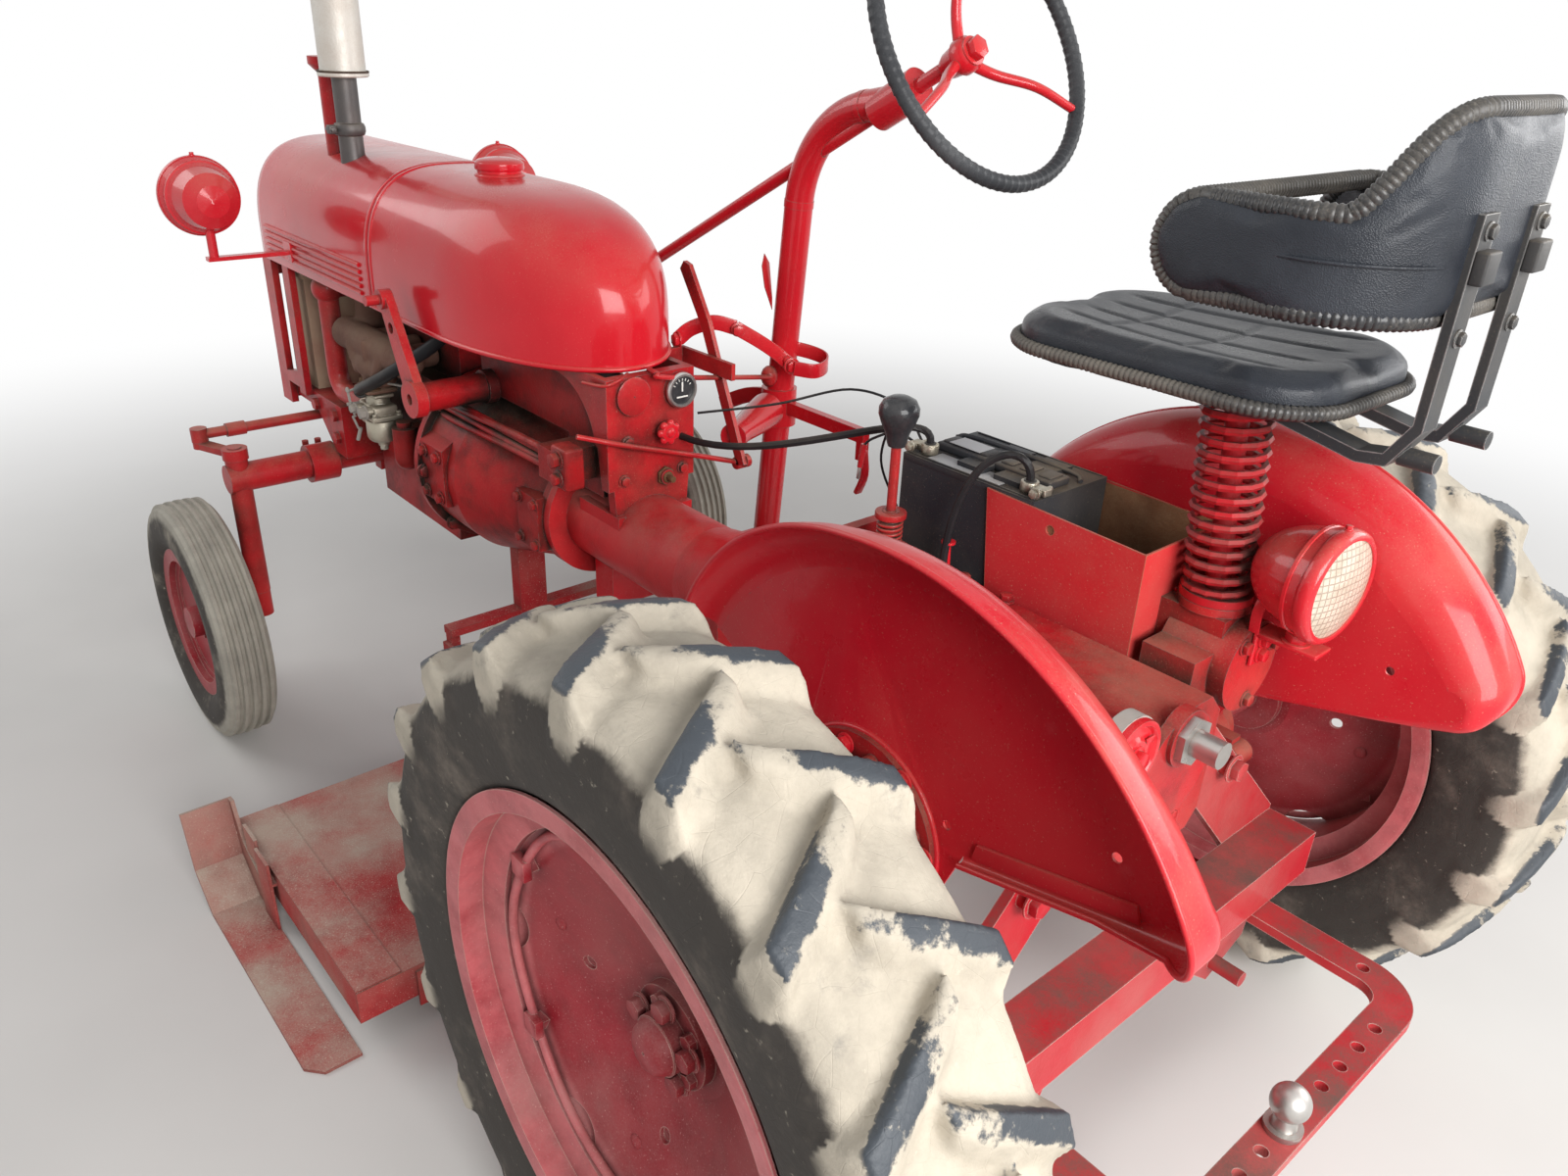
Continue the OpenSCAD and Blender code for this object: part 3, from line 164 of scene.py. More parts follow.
def settle(obj: Piece) -> Piece:
    """Puts an object's place, turn and scale into its mesh."""
    obj.data.transform(obj.matrix_world)
    obj.matrix_world = Matrix.Identity(4)
    return obj


def outline(name: str, points: Points, fill: bool = False) -> Piece:
    """A closed line of edges through some points.

    Args:
        name: Name of the new piece.
        points: The corners, in metres.
        fill: Whether the line is closed by one face.

    Returns:
        The new piece.
    """
    deselect()
    bpy.ops.mesh.primitive_circle_add(vertices=len(points), fill_type="NGON" if fill else "NOTHING")
    obj = bpy.context.object
    obj.name = name
    for vertex, point in zip(obj.data.vertices, points):
        vertex.co = Vector(point)
    return obj


def spin(obj: Piece, centre: Vector, axis: Vector, steps: int) -> Piece:
    """Turns a piece's outline right round an axis into a closed ring."""
    take(obj)
    bpy.ops.object.mode_set(mode="EDIT")
    bpy.ops.mesh.select_all(action="SELECT")
    bpy.ops.mesh.spin(steps=steps, angle=2 * math.pi, center=centre, axis=axis)
    bpy.ops.mesh.select_all(action="SELECT")
    bpy.ops.mesh.remove_doubles(threshold=1e-5)
    bpy.ops.mesh.normals_make_consistent(inside=False)
    bpy.ops.object.mode_set(mode="OBJECT")
    return obj


def loft(name: str, sections: Sequence[Points], closed: bool = False) -> Piece:
    """A skin over a row of outlines that have as many points each.

    Args:
        name: Name of the new piece.
        sections: The outlines in order, in metres.
        closed: Whether the last outline joins the first, as in a ring.

    Returns:
        The new piece, with closed ends unless it is a ring.
    """
    obj = outline(name, sections[0], fill=not closed)
    take(obj)
    bpy.ops.object.mode_set(mode="EDIT")
    bpy.ops.mesh.select_all(action="SELECT")
    before = [Vector(p) for p in sections[0]]
    for section in sections[1:]:
        after = [Vector(p) for p in section]
        if closed:
            bpy.ops.mesh.extrude_edges_move(TRANSFORM_OT_translate={"value": (0, 0, 0)})
        else:
            bpy.ops.mesh.extrude_region_move(TRANSFORM_OT_translate={"value": (0, 0, 0)})
        mesh = bmesh.from_edit_mesh(obj.data)
        for vertex in [v for v in mesh.verts if v.select]:
            nearest = min(range(len(before)), key=lambda k: (before[k] - vertex.co).length_squared)
            vertex.co = after[nearest]
        bmesh.update_edit_mesh(obj.data)
        before = after
    if closed:
        bpy.ops.mesh.select_all(action="SELECT")
        bpy.ops.mesh.remove_doubles(threshold=1e-5)
    bpy.ops.mesh.select_all(action="SELECT")
    bpy.ops.mesh.normals_make_consistent(inside=False)
    bpy.ops.object.mode_set(mode="OBJECT")
    return obj


def plate(name: str, points: Points, depth: Vector) -> Piece:
    """A flat plate: an outline pushed through its thickness."""
    shifted = [Vector(p) + depth for p in points]
    return loft(name, [points, shifted])


def bar(name: str, start: Vector, end: Vector, radius: float, sides: int = 20) -> Piece:
    """A round bar between two points, its rims a little rounded.

    Args:
        name: Name of the new piece.
        start: One end's centre, in metres.
        end: The other end's centre.
        radius: The bar's radius.
        sides: How many sides its round has.

    Returns:
        The new piece.
    """
    run = end - start
    deselect()
    bpy.ops.mesh.primitive_cylinder_add(
        vertices=sides,
        radius=radius,
        depth=run.length,
        location=(start + end) / 2,
        rotation=run.to_track_quat("Z", "Y").to_euler(),
    )
    obj = bpy.context.object
    obj.name = name
    settle(obj)
    return bevelled(obj, min(radius, run.length) * 0.12, 2)


def block(name: str, low: Vector, high: Vector, round_off: float) -> Piece:
    """A box between two corners with rounded edges."""
    deselect()
    bpy.ops.mesh.primitive_cube_add(size=1, location=(low + high) / 2)
    obj = bpy.context.object
    obj.name = name
    obj.scale = high - low
    bpy.context.view_layer.update()
    settle(obj)
    return bevelled(obj, round_off, 3)


def bevelled(obj: Piece, width: float, segments: int = 2) -> Piece:
    """Rounds a piece's sharp edges."""
    take(obj)
    edge = obj.modifiers.new("edge", "BEVEL")
    edge.width = width
    edge.segments = segments
    edge.limit_method = "ANGLE"
    edge.angle_limit = math.radians(35)
    bpy.ops.object.modifier_apply(modifier=edge.name)
    return smooth(obj)


def smooth(obj: Piece, degrees: float = 40) -> Piece:
    """Shades a piece smooth, but for its sharp edges."""
    take(obj)
    bpy.ops.object.shade_smooth_by_angle(angle=math.radians(degrees))
    return obj


def ball(name: str, centre: Vector, radii: Sequence[float], segments: int = 24) -> Piece:
    """An egg or a globe with three radii."""
    deselect()
    bpy.ops.mesh.primitive_uv_sphere_add(segments=segments, ring_count=segments // 2, radius=1,
                                         location=centre)
    obj = bpy.context.object
    obj.name = name
    obj.scale = radii
    bpy.context.view_layer.update()
    return smooth(settle(obj), 60)


def join(name: str, pieces: Sequence[Piece]) -> Piece:
    """Makes one piece of several."""
    take(*pieces)
    if len(pieces) > 1:
        bpy.ops.object.join()
    obj = bpy.context.object
    obj.name = name
    return obj


def melt(obj: Piece, voxel: float, softness: float, rounds: int) -> None:
    """Makes one rounded skin of touching forms.

    Args:
        obj: The joined forms.
        voxel: Size of the skin's faces, in metres.
        softness: How far each round of smoothing moves a point, 0 to 1.
        rounds: How many rounds.
    """
    skin = obj.modifiers.new("skin", "REMESH")
    skin.mode = "VOXEL"
    skin.voxel_size = voxel
    soft = obj.modifiers.new("soft", "SMOOTH")
    soft.factor = softness
    soft.iterations = rounds
    take(obj)
    bpy.ops.object.modifier_apply(modifier=skin.name)
    bpy.ops.object.modifier_apply(modifier=soft.name)
    bpy.ops.object.shade_smooth()


def copied(obj: Piece, turn: Matrix) -> Piece:
    """A copy of a piece with its own mesh, moved by a matrix."""
    twin = obj.copy()
    twin.data = obj.data.copy()
    twin.data.transform(turn)
    if turn.determinant() < 0:
        twin.data.flip_normals()
    bpy.context.scene.collection.objects.link(twin)
    return twin


def turn_about(centre: Vector, axis: str, degrees: float) -> Matrix:
    """A turn about an axis of the frame through a centre."""
    there = Matrix.Translation(centre)
    return there @ Matrix.Rotation(math.radians(degrees), 4, axis) @ there.inverted()


def mirrored_y() -> Matrix:
    """The mirror between the tractor's left and right."""
    return Matrix.Diagonal((1, -1, 1, 1))


def smooth_line(points: Sequence[Vector], count: int) -> list[Vector]:
    """Even points on a smooth curve through some points.

    Args:
        points: What the curve runs through.
        count: How many points come back for each stretch.

    Returns:
        The curve's points.
    """
    ends = [points[0] * 2 - points[1], *points, points[-1] * 2 - points[-2]]
    line: list[Vector] = []
    for a, b, c, d in zip(ends, ends[1:], ends[2:], ends[3:]):
        for k in range(count):
            t = k / count
            line.append(
                0.5
                * (2 * b + (c - a) * t + (2 * a - 5 * b + 4 * c - d) * t * t + (3 * b - a - 3 * c + d) * t**3)
            )
    return [*line, points[-1].copy()]


def tube(name: str, points: Sequence[Vector], radius: float | Callable[[float], float], sides: int = 12,
         closed: bool = False) -> Piece:
    """A round skin along a line, as a pipe, wire or piping has.

    Args:
        name: Name of the new piece.
        points: The centre line.
        radius: The radius, or a function of the share of the length that gives it.
        sides: How many sides its round has.
        closed: Whether the line closes on itself.

    Returns:
        The new piece as a mesh with a UV map that runs along it.
    """
    curve = bpy.data.curves.new(name, "CURVE")
    curve.dimensions = "3D"
    curve.bevel_depth = 1.0
    curve.bevel_resolution = max(1, (sides - 4) // 2)
    curve.use_fill_caps = True
    spline = curve.splines.new("POLY")
    spline.points.add(len(points) - 1)
    for k, point in enumerate(points):
        spline.points[k].co = (*point, 1)
        spline.points[k].radius = radius(k / (len(points) - 1)) if callable(radius) else radius
    spline.use_cyclic_u = closed
    obj = bpy.data.objects.new(name, curve)
    bpy.context.scene.collection.objects.link(obj)
    take(obj)
    bpy.ops.object.convert(target="MESH")
    obj = bpy.context.object
    obj.name = name
    return smooth(obj, 50)


def hexagon(name: str, centre: Vector, axis: Vector, across: float, height: float) -> Piece:
    """A hexagon head that stands on a face, with a washer under it.

    Args:
        name: Name of the new piece.
        centre: Where it stands, in metres.
        axis: The way it points.
        across: Its width over the corners.
        height: How far it stands up.

    Returns:
        The new piece.
    """
    way = axis.normalized()
    deselect()
    bpy.ops.mesh.primitive_cylinder_add(
        vertices=6,
        radius=across / 2,
        depth=height,
        location=centre + way * (height / 2 + 0.0015),
        rotation=way.to_track_quat("Z", "Y").to_euler(),
    )
    head = bpy.context.object
    settle(head)
    bevelled(head, across * 0.05, 2)
    washer = bar("washer", centre - way * 0.001, centre + way * 0.002, across * 0.62, 20)
    return join(name, [head, washer])


# shader nodes


class Board:
    """A node tree that is wired in code."""

    def __init__(self, tree: bpy.types.NodeTree) -> None:
        """Starts on an empty tree."""
        self.tree = tree
        tree.nodes.clear()

    def add(self, kind: str, **settings: object) -> bpy.types.Node:
        """Adds a node and sets its properties."""
        node = self.tree.nodes.new(kind)
        for key, value in settings.items():
            setattr(node, key, value)
        return node

    def feed(self, socket: Socket, value: object) -> None:
        """Sets a socket to a number or colour, or links it."""
        if isinstance(value, Socket):
            self.tree.links.new(value, socket)
        elif isinstance(value, tuple) and len(value) == 3 and socket.type == "RGBA":
            socket.default_value = (*value, 1)
        else:
            socket.default_value = value

    def math(self, operation: str, a: object, b: object = 0.5, clamp: bool = False) -> Socket:
        """One operation on two values."""
        node = self.add("ShaderNodeMath", operation=operation, use_clamp=clamp)
        self.feed(node.inputs[0], a)
        self.feed(node.inputs[1], b)
        return node.outputs[0]

    def times(self, a: object, b: object, clamp: bool = False) -> Socket:
        """The product of two values."""
        return self.math("MULTIPLY", a, b, clamp)

    def plus(self, a: object, b: object, clamp: bool = False) -> Socket:
        """The sum of two values."""
        return self.math("ADD", a, b, clamp)

    def ramp(self, value: object, low: float, high: float, to_low: float = 0, to_high: float = 1) -> object:
        """Maps a value from one range to another, clamped and eased."""
        node = self.add("ShaderNodeMapRange", interpolation_type="SMOOTHSTEP")
        for socket, number in zip(node.inputs, (value, low, high, to_low, to_high)):
            self.feed(socket, number)
        return node.outputs[0]

    def mix(self, share: object, a: object, b: object) -> Socket:
        """Blends two colours."""
        node = self.add("ShaderNodeMix", data_type="RGBA")
        self.feed(node.inputs[0], share)
        self.feed(node.inputs[6], a)
        self.feed(node.inputs[7], b)
        return node.outputs[2]

    def blend(self, share: object, a: object, b: object) -> Socket:
        """Blends two numbers."""
        node = self.add("ShaderNodeMix", data_type="FLOAT")
        self.feed(node.inputs[0], share)
        self.feed(node.inputs[2], a)
        self.feed(node.inputs[3], b)
        return node.outputs[0]

    def noise(self, place: object, scale: object, detail: float = 4, rough: float = 0.55) -> Socket:
        """A cloudy pattern."""
        node = self.add("ShaderNodeTexNoise")
        self.feed(node.inputs["Vector"], place)
        self.feed(node.inputs["Scale"], scale)
        self.feed(node.inputs["Detail"], detail)
        self.feed(node.inputs["Roughness"], rough)
        return node.outputs["Fac"]

    def bump(self, shader: bpy.types.Node, height: object, strength: float, depth: float,
             invert: bool = False) -> None:
        """Gives a shader relief from a height."""
        relief = self.add("ShaderNodeBump", invert=invert)
        relief.inputs["Strength"].default_value = strength
        relief.inputs["Distance"].default_value = depth
        self.feed(relief.inputs["Height"], height)
        self.feed(shader.inputs["Normal"], relief.outputs[0])

    def wheel_radius(self, place: Socket, centre: Vector) -> Socket:
        """The distance from a wheel's axle line, in metres."""
        moved = self.add("ShaderNodeVectorMath", operation="SUBTRACT")
        self.feed(moved.inputs[0], place)
        moved.inputs[1].default_value = centre
        flat = self.add("ShaderNodeVectorMath", operation="MULTIPLY")
        self.feed(flat.inputs[0], moved.outputs[0])
        flat.inputs[1].default_value = (1, 0, 1)
        length = self.add("ShaderNodeVectorMath", operation="LENGTH")
        self.feed(length.inputs[0], flat.outputs[0])
        return length.outputs["Value"]

    def place(self) -> Socket:
        """The surface's own coordinates, in metres."""
        return self.add("ShaderNodeTexCoord").outputs["Object"]


def surface(name: str) -> tuple[bpy.types.Material, Board, bpy.types.Node]:
    """A new material, its board and its shader, wired to its output."""
    made = bpy.data.materials.new(name)
    made.use_nodes = True
    board = Board(made.node_tree)
    shader = board.add("ShaderNodeBsdfPrincipled")
    output = board.add("ShaderNodeOutputMaterial")
    board.feed(output.inputs["Surface"], shader.outputs[0])
    return made, board, shader


def group(name: str, inputs: dict[str, float], outputs: Sequence[str]) -> tuple[bpy.types.NodeTree, Board]:
    """An empty node group with named sockets.

    Args:
        name: The group's name.
        inputs: Its number sockets and their starting values.
        outputs: The names of its number outputs.

    Returns:
        The group and a board on it, with its two end nodes in place.
    """
    tree = bpy.data.node_groups.new(name, "ShaderNodeTree")
    for label, value in inputs.items():
        socket = tree.interface.new_socket(label, in_out="INPUT", socket_type="NodeSocketFloat")
        socket.default_value = value
    for label in outputs:
        tree.interface.new_socket(label, in_out="OUTPUT", socket_type="NodeSocketFloat")
    board = Board(tree)
    board.add("NodeGroupInput")
    board.add("NodeGroupOutput")
    return tree, board


def ends(board: Board) -> tuple[bpy.types.Node, bpy.types.Node]:
    """The input node and the output node of a group."""
    return board.tree.nodes[0], board.tree.nodes[1]


def dust_group() -> bpy.types.NodeTree:
    """Dust that settles on upward faces, cloudy and finely speckled."""
    tree, board = group("settled_dust", {"Amount": 0.5, "Level": 0.5, "Scale": 6}, ["Mask", "Specks"])
    given, out = ends(board)
    place = board.place()
    normal = board.add("ShaderNodeNewGeometry").outputs["Normal"]
    split = board.add("ShaderNodeSeparateXYZ")
    board.feed(split.inputs[0], normal)
    up = board.ramp(split.outputs["Z"], -0.2, 0.9)
    lying = board.blend(given.outputs["Level"], 1.0, up)
    cloud = board.noise(place, given.outputs["Scale"], 6, 0.62)
    fine = board.noise(place, 420, 2, 0.5)
    mask = board.ramp(board.plus(cloud, board.times(fine, 0.22)), 0.42, 0.86)
    mask = board.times(mask, lying)
    mask = board.times(mask, given.outputs["Amount"], clamp=True)
    board.feed(out.inputs["Mask"], mask)
    specks = board.ramp(fine, 0.67, 0.74)
    board.feed(out.inputs["Specks"], board.times(specks, given.outputs["Amount"], clamp=True))
    return tree


def edge_group() -> bpy.types.NodeTree:
    """Wear along edges, broken up by a pattern."""
    tree, board = group("edge_wear", {"Radius": 0.003, "Reach": 0.5, "Scale": 60}, ["Mask"])
    given, out = ends(board)
    rounded = board.add("ShaderNodeBevel", samples=4)
    board.feed(rounded.inputs["Radius"], given.outputs["Radius"])
    normal = board.add("ShaderNodeNewGeometry").outputs["Normal"]
    dot = board.add("ShaderNodeVectorMath", operation="DOT_PRODUCT")
    board.feed(dot.inputs[0], rounded.outputs[0])
    board.feed(dot.inputs[1], normal)
    bend = board.math("SUBTRACT", 1.0, dot.outputs["Value"])
    chips = board.noise(board.place(), given.outputs["Scale"], 5, 0.7)
    need = board.math("SUBTRACT", 1.0, given.outputs["Reach"])
    worn = board.plus(board.times(bend, 5.0, clamp=True), board.math("SUBTRACT", chips, need))
    board.feed(out.inputs["Mask"], board.ramp(worn, 0.72, 0.86))
    return tree


def shade_and_grime_group() -> bpy.types.NodeTree:
    """Painted shade that darkens corners and hollows, from an occlusion test, with old oil and dirt that run
    in patches.
    """
    tree, board = group("corner_shade_and_grime", {"Depth": 0.05, "Amount": 0.5, "Scale": 14}, ["Mask"])
    given, out = ends(board)
    # ambient occlusion gives the painted shade in corners and hollows
    hollow = board.add("ShaderNodeAmbientOcclusion", samples=4)
    board.feed(hollow.inputs["Distance"], given.outputs["Depth"])
    shade = board.ramp(hollow.outputs["AO"], 0.35, 0.95, 1, 0)
    cloud = board.noise(board.place(), given.outputs["Scale"], 6, 0.65)
    patch = board.ramp(cloud, 0.4, 0.72)
    mask = board.times(board.plus(shade, board.times(patch, 0.55)), given.outputs["Amount"])
    board.feed(out.inputs["Mask"], board.math("MINIMUM", mask, 1.0))
    return tree


@dataclass(frozen=True)
class Paint:
    """A painted or bare hard surface, what time did to it, and painted shade in its corners."""

    name: str
    colour: Colour
    faded: Colour
    rough: float = 0.3
    metallic: float = 0.0
    coat: float = 0.0
    specular: float = 0.14
    dust: float = 0.3
    dust_level: float = 0.8
    dust_colour: Colour = (0.36, 0.28, 0.19)
    dust_scale: float = 5.0
    specks: float = 0.3
    wear: float = 0.25
    wear_colour: Colour = (0.16, 0.13, 0.12)
    wear_metal: float = 0.5
    # grime: painted shade in corners and hollows from an occlusion test, plus patches of grime; its depth is
    # how far that test looks
    grime_and_shade: float = 0.0
    corner_shade_depth: float = 0.05
    grime_and_shade_colour: Colour = (0.012, 0.008, 0.007)
    grain: float = 0.15
    grain_scale: float = 240.0
    dents: float = 0.2
    band: float = 0.0
    band_colour: Colour = (0.62, 0.16, 0.17)

    def material(self) -> bpy.types.Material:
        """Builds the finish.

        Returns:
            A material whose colour, gloss and relief vary over the surface.
        """
        made, board, shader = surface(self.name)
        place = board.place()
        cloud = board.noise(place, 3.2, 5, 0.6)
        colour = board.mix(board.ramp(cloud, 0.35, 0.75), self.colour, self.faded)
        if self.band > 0:
            away = board.wheel_radius(place, spot(0, 0, REAR_AXLE_Z))
            rim = board.ramp(board.plus(away, board.times(cloud, 0.008)), self.band, self.band + 0.012)
            colour = board.mix(board.times(rim,
                                           board.ramp(board.noise(place, 11, 6, 0.7), 0.3, 0.6, 0.35,
                                                      0.9)), colour, self.band_colour)
        rough: object = board.ramp(board.noise(place, 9, 5, 0.6), 0.3, 0.8, self.rough * 0.8,
                                   min(1, self.rough * 1.35))
        metallic: object = self.metallic
        # darkens corners and hollows with painted shade, mixed with patches of grime
        if self.grime_and_shade > 0:
            grime_and_shade_layer = self.placed(board, "corner_shade_and_grime", Amount=self.grime_and_shade, Depth=self.corner_shade_depth)
            colour = board.mix(grime_and_shade_layer.outputs["Mask"], colour, self.grime_and_shade_colour)
            rough = board.blend(grime_and_shade_layer.outputs["Mask"], rough, 0.42)
        if self.wear > 0:
            edge = self.placed(board, "edge_wear", Reach=self.wear)
            colour = board.mix(edge.outputs["Mask"], colour, self.wear_colour)
            rough = board.blend(edge.outputs["Mask"], rough, 0.5)
            if self.wear_metal > 0:
                metallic = board.blend(edge.outputs["Mask"], self.metallic, self.wear_metal)
        if self.dust > 0:
            layer = self.placed(board, "settled_dust", Amount=self.dust, Level=self.dust_level,
                                Scale=self.dust_scale)
            colour = board.mix(layer.outputs["Mask"], colour, self.dust_colour)
            rough = board.blend(layer.outputs["Mask"], rough, 0.85)
            fleck = board.times(layer.outputs["Specks"], self.specks)
            colour = board.mix(fleck, colour, tuple(min(1, c * 1.5) for c in self.dust_colour))
            if not isinstance(metallic, float):
                metallic = board.blend(layer.outputs["Mask"], metallic, 0.0)
        board.feed(shader.inputs["Base Color"], colour)
        board.feed(shader.inputs["Roughness"], rough)
        board.feed(shader.inputs["Metallic"], metallic)
        shader.inputs["Specular IOR Level"].default_value = 0.5 if self.metallic > 0 else self.specular
        shader.inputs["Coat Weight"].default_value = self.coat
        shader.inputs["Coat Roughness"].default_value = 0.08
        self.relief(board, shader, place)
        return made

    def relief(self, board: Board, shader: bpy.types.Node, place: Socket) -> None:
        """Adds fine grain and soft dents to the surface."""
        grain = board.noise(place, self.grain_scale, 3, 0.6)
        dent = board.noise(place, 14, 2, 0.5)
        height = board.plus(board.times(grain, self.grain), board.times(dent, self.dents))
        board.bump(shader, height, strength=0.25, depth=0.004)

    @staticmethod
    def placed(board: Board, name: str, **values: float) -> bpy.types.Node:
        """Places a shared group and sets its values."""
        node = board.add("ShaderNodeGroup", node_tree=bpy.data.node_groups[name])
        for key, value in values.items():
            node.inputs[key].default_value = value
        return node


RED: Colour = (0.58, 0.008, 0.018)
RED_FADED: Colour = (0.50, 0.012, 0.022)
BEIGE: Colour = (0.44, 0.35, 0.24)


class Finish(Enum):
    """Every hard finish on the tractor."""

    # the grime values below paint shade into corners and hollows as well as grime
    HOOD = Paint("hood_enamel", (0.50, 0.006, 0.015), (0.58, 0.009, 0.02), rough=0.2, coat=0.3, dust=0.26,
                 dust_level=1.0, dust_scale=3.5, wear=0.1, specks=0.5, dents=0.6)
    FENDER = Paint("fender_enamel", (0.56, 0.009, 0.022), (0.60, 0.015, 0.028), rough=0.28, coat=0.25,
                   dust=0.3, dust_level=0.85, wear=0.2, specks=0.9, dents=0.45)
    CHASSIS = Paint("chassis_enamel", (0.50, 0.008, 0.015), (0.36, 0.008, 0.014), rough=0.34, coat=0.15,
                    dust=0.42, wear=0.35, grime_and_shade=0.7, corner_shade_depth=0.06, specks=0.5, grain=0.5)
    ENGINE = Paint("engine_enamel", (0.42, 0.008, 0.012), (0.2, 0.008, 0.01), rough=0.36, dust=0.22, wear=0.3,
                   grime_and_shade=1.1, corner_shade_depth=0.09, grain=0.7)
    TUBE = Paint("tube_enamel", (0.56, 0.012, 0.018), (0.46, 0.025, 0.03), rough=0.38, dust=0.5,
                 dust_level=0.95, dust_scale=6, dust_colour=(0.36, 0.22, 0.17), wear=0.3, grime_and_shade=0.45,
                 grain=0.5)
    POST = Paint("post_enamel", RED, RED_FADED, rough=0.25, coat=0.4, dust=0.2, wear=0.35,
                 wear_colour=(0.2, 0.12, 0.1))
    SPRING = Paint("spring_enamel", (0.50, 0.012, 0.02), (0.40, 0.02, 0.025), rough=0.34, dust=0.5,
                   dust_level=0.9, dust_colour=(0.3, 0.17, 0.14), dust_scale=14, wear=0.5,
                   wear_colour=(0.12, 0.05, 0.04), grime_and_shade=1.0, corner_shade_depth=0.02)
    BEAM = Paint("beam_enamel", (0.46, 0.012, 0.022), (0.42, 0.10, 0.09), rough=0.42, coat=0.1, dust=1.0,
                 dust_level=1.0, dust_colour=(0.14, 0.085, 0.07), dust_scale=9, wear=0.6,
                 wear_colour=(0.62, 0.48, 0.42), wear_metal=0.1, grain=0.4)
    WHEEL = Paint("wheel_enamel", (0.32, 0.01, 0.02), (0.40, 0.03, 0.045), rough=0.34, specular=0.25,
                  dust=0.8, dust_level=0.6, dust_colour=(0.42, 0.22, 0.2), dust_scale=4.5, wear=0.4,
                  wear_colour=(0.55, 0.4, 0.34), specks=0.9, grime_and_shade=0.5, corner_shade_depth=0.03)
    REAR_WHEEL = Paint("rear_wheel_enamel", (0.30, 0.008, 0.018), (0.40, 0.02, 0.035), rough=0.34,
                       specular=0.25, dust=0.8, dust_level=0.6, dust_colour=(0.42, 0.22, 0.2),
                       dust_scale=4.5, wear=0.4, wear_colour=(0.55, 0.4, 0.34), specks=0.9, grime_and_shade=0.5,
                       corner_shade_depth=0.03, band=0.238)
    DECK = Paint("deck_enamel", (0.40, 0.02, 0.025), (0.42, 0.20, 0.16), rough=0.6, dust=1.25,
                 dust_level=0.8, dust_colour=(0.46, 0.36, 0.29), dust_scale=3.4, wear=0.6,
                 wear_colour=(0.2, 0.06, 0.05), specks=0.6, grime_and_shade=0.5)
    CORE = Paint("radiator_paint", (0.3, 0.1, 0.08), BEIGE, rough=0.8, dust=0.9, dust_level=0.3, wear=0.2)
    IRON = Paint("heat_rusted_iron", (0.12, 0.06, 0.045), (0.22, 0.11, 0.08), rough=0.85, dust=0.4, wear=0.15,
                 grain=1.2, grain_scale=120, grime_and_shade=0.2)
    ALLOY = Paint("oily_alloy", (0.55, 0.52, 0.44), (0.40, 0.36, 0.27), rough=0.38, metallic=0.75, dust=0.35,
                  wear=0.3, wear_colour=(0.8, 0.78, 0.7), wear_metal=0.9, grime_and_shade=0.6, corner_shade_depth=0.02,
                  grime_and_shade_colour=(0.06, 0.045, 0.03), grain=0.8)
    PIPE = Paint("blued_pipe", (0.075, 0.07, 0.07), (0.13, 0.10, 0.09), rough=0.5, metallic=0.6, dust=0.4,
                 wear=0.3, wear_colour=(0.25, 0.18, 0.13))
    MUFFLER = Paint("muffler_silver", (0.62, 0.60, 0.55), (0.55, 0.50, 0.42), rough=0.42, metallic=0.25,
                    dust=0.5, dust_level=0.2, dust_colour=(0.32, 0.2, 0.12), dust_scale=5, wear=0.3,
                    wear_colour=(0.25, 0.13, 0.07), wear_metal=0.0, grain=0.5)
    STEEL = Paint("worn_steel", (0.62, 0.61, 0.59), (0.42, 0.40, 0.38), rough=0.3, metallic=0.9, dust=0.25,
                  wear=0.3, wear_colour=(0.3, 0.2, 0.15), grime_and_shade=0.3, corner_shade_depth=0.01)
    FRAME = Paint("seat_frame_black", (0.035, 0.037, 0.04), (0.06, 0.062, 0.065), rough=0.4, dust=0.3,
                  wear=0.55, wear_colour=(0.55, 0.54, 0.52), wear_metal=0.9)
    BATTERY = Paint("battery_plastic", (0.022, 0.024, 0.03), (0.035, 0.037, 0.042), rough=0.42, dust=0.55,
                    dust_level=0.9, wear=0.15, wear_colour=(0.1, 0.1, 0.1), wear_metal=0.0, grain=0.3)
    BOX = Paint("battery_box_enamel", (0.60, 0.02, 0.028), (0.52, 0.03, 0.035), rough=0.4, coat=0.15,
                dust=0.45, dust_level=0.7, wear=0.45, wear_colour=(0.35, 0.2, 0.12), wear_metal=0.1,
                specks=0.7)
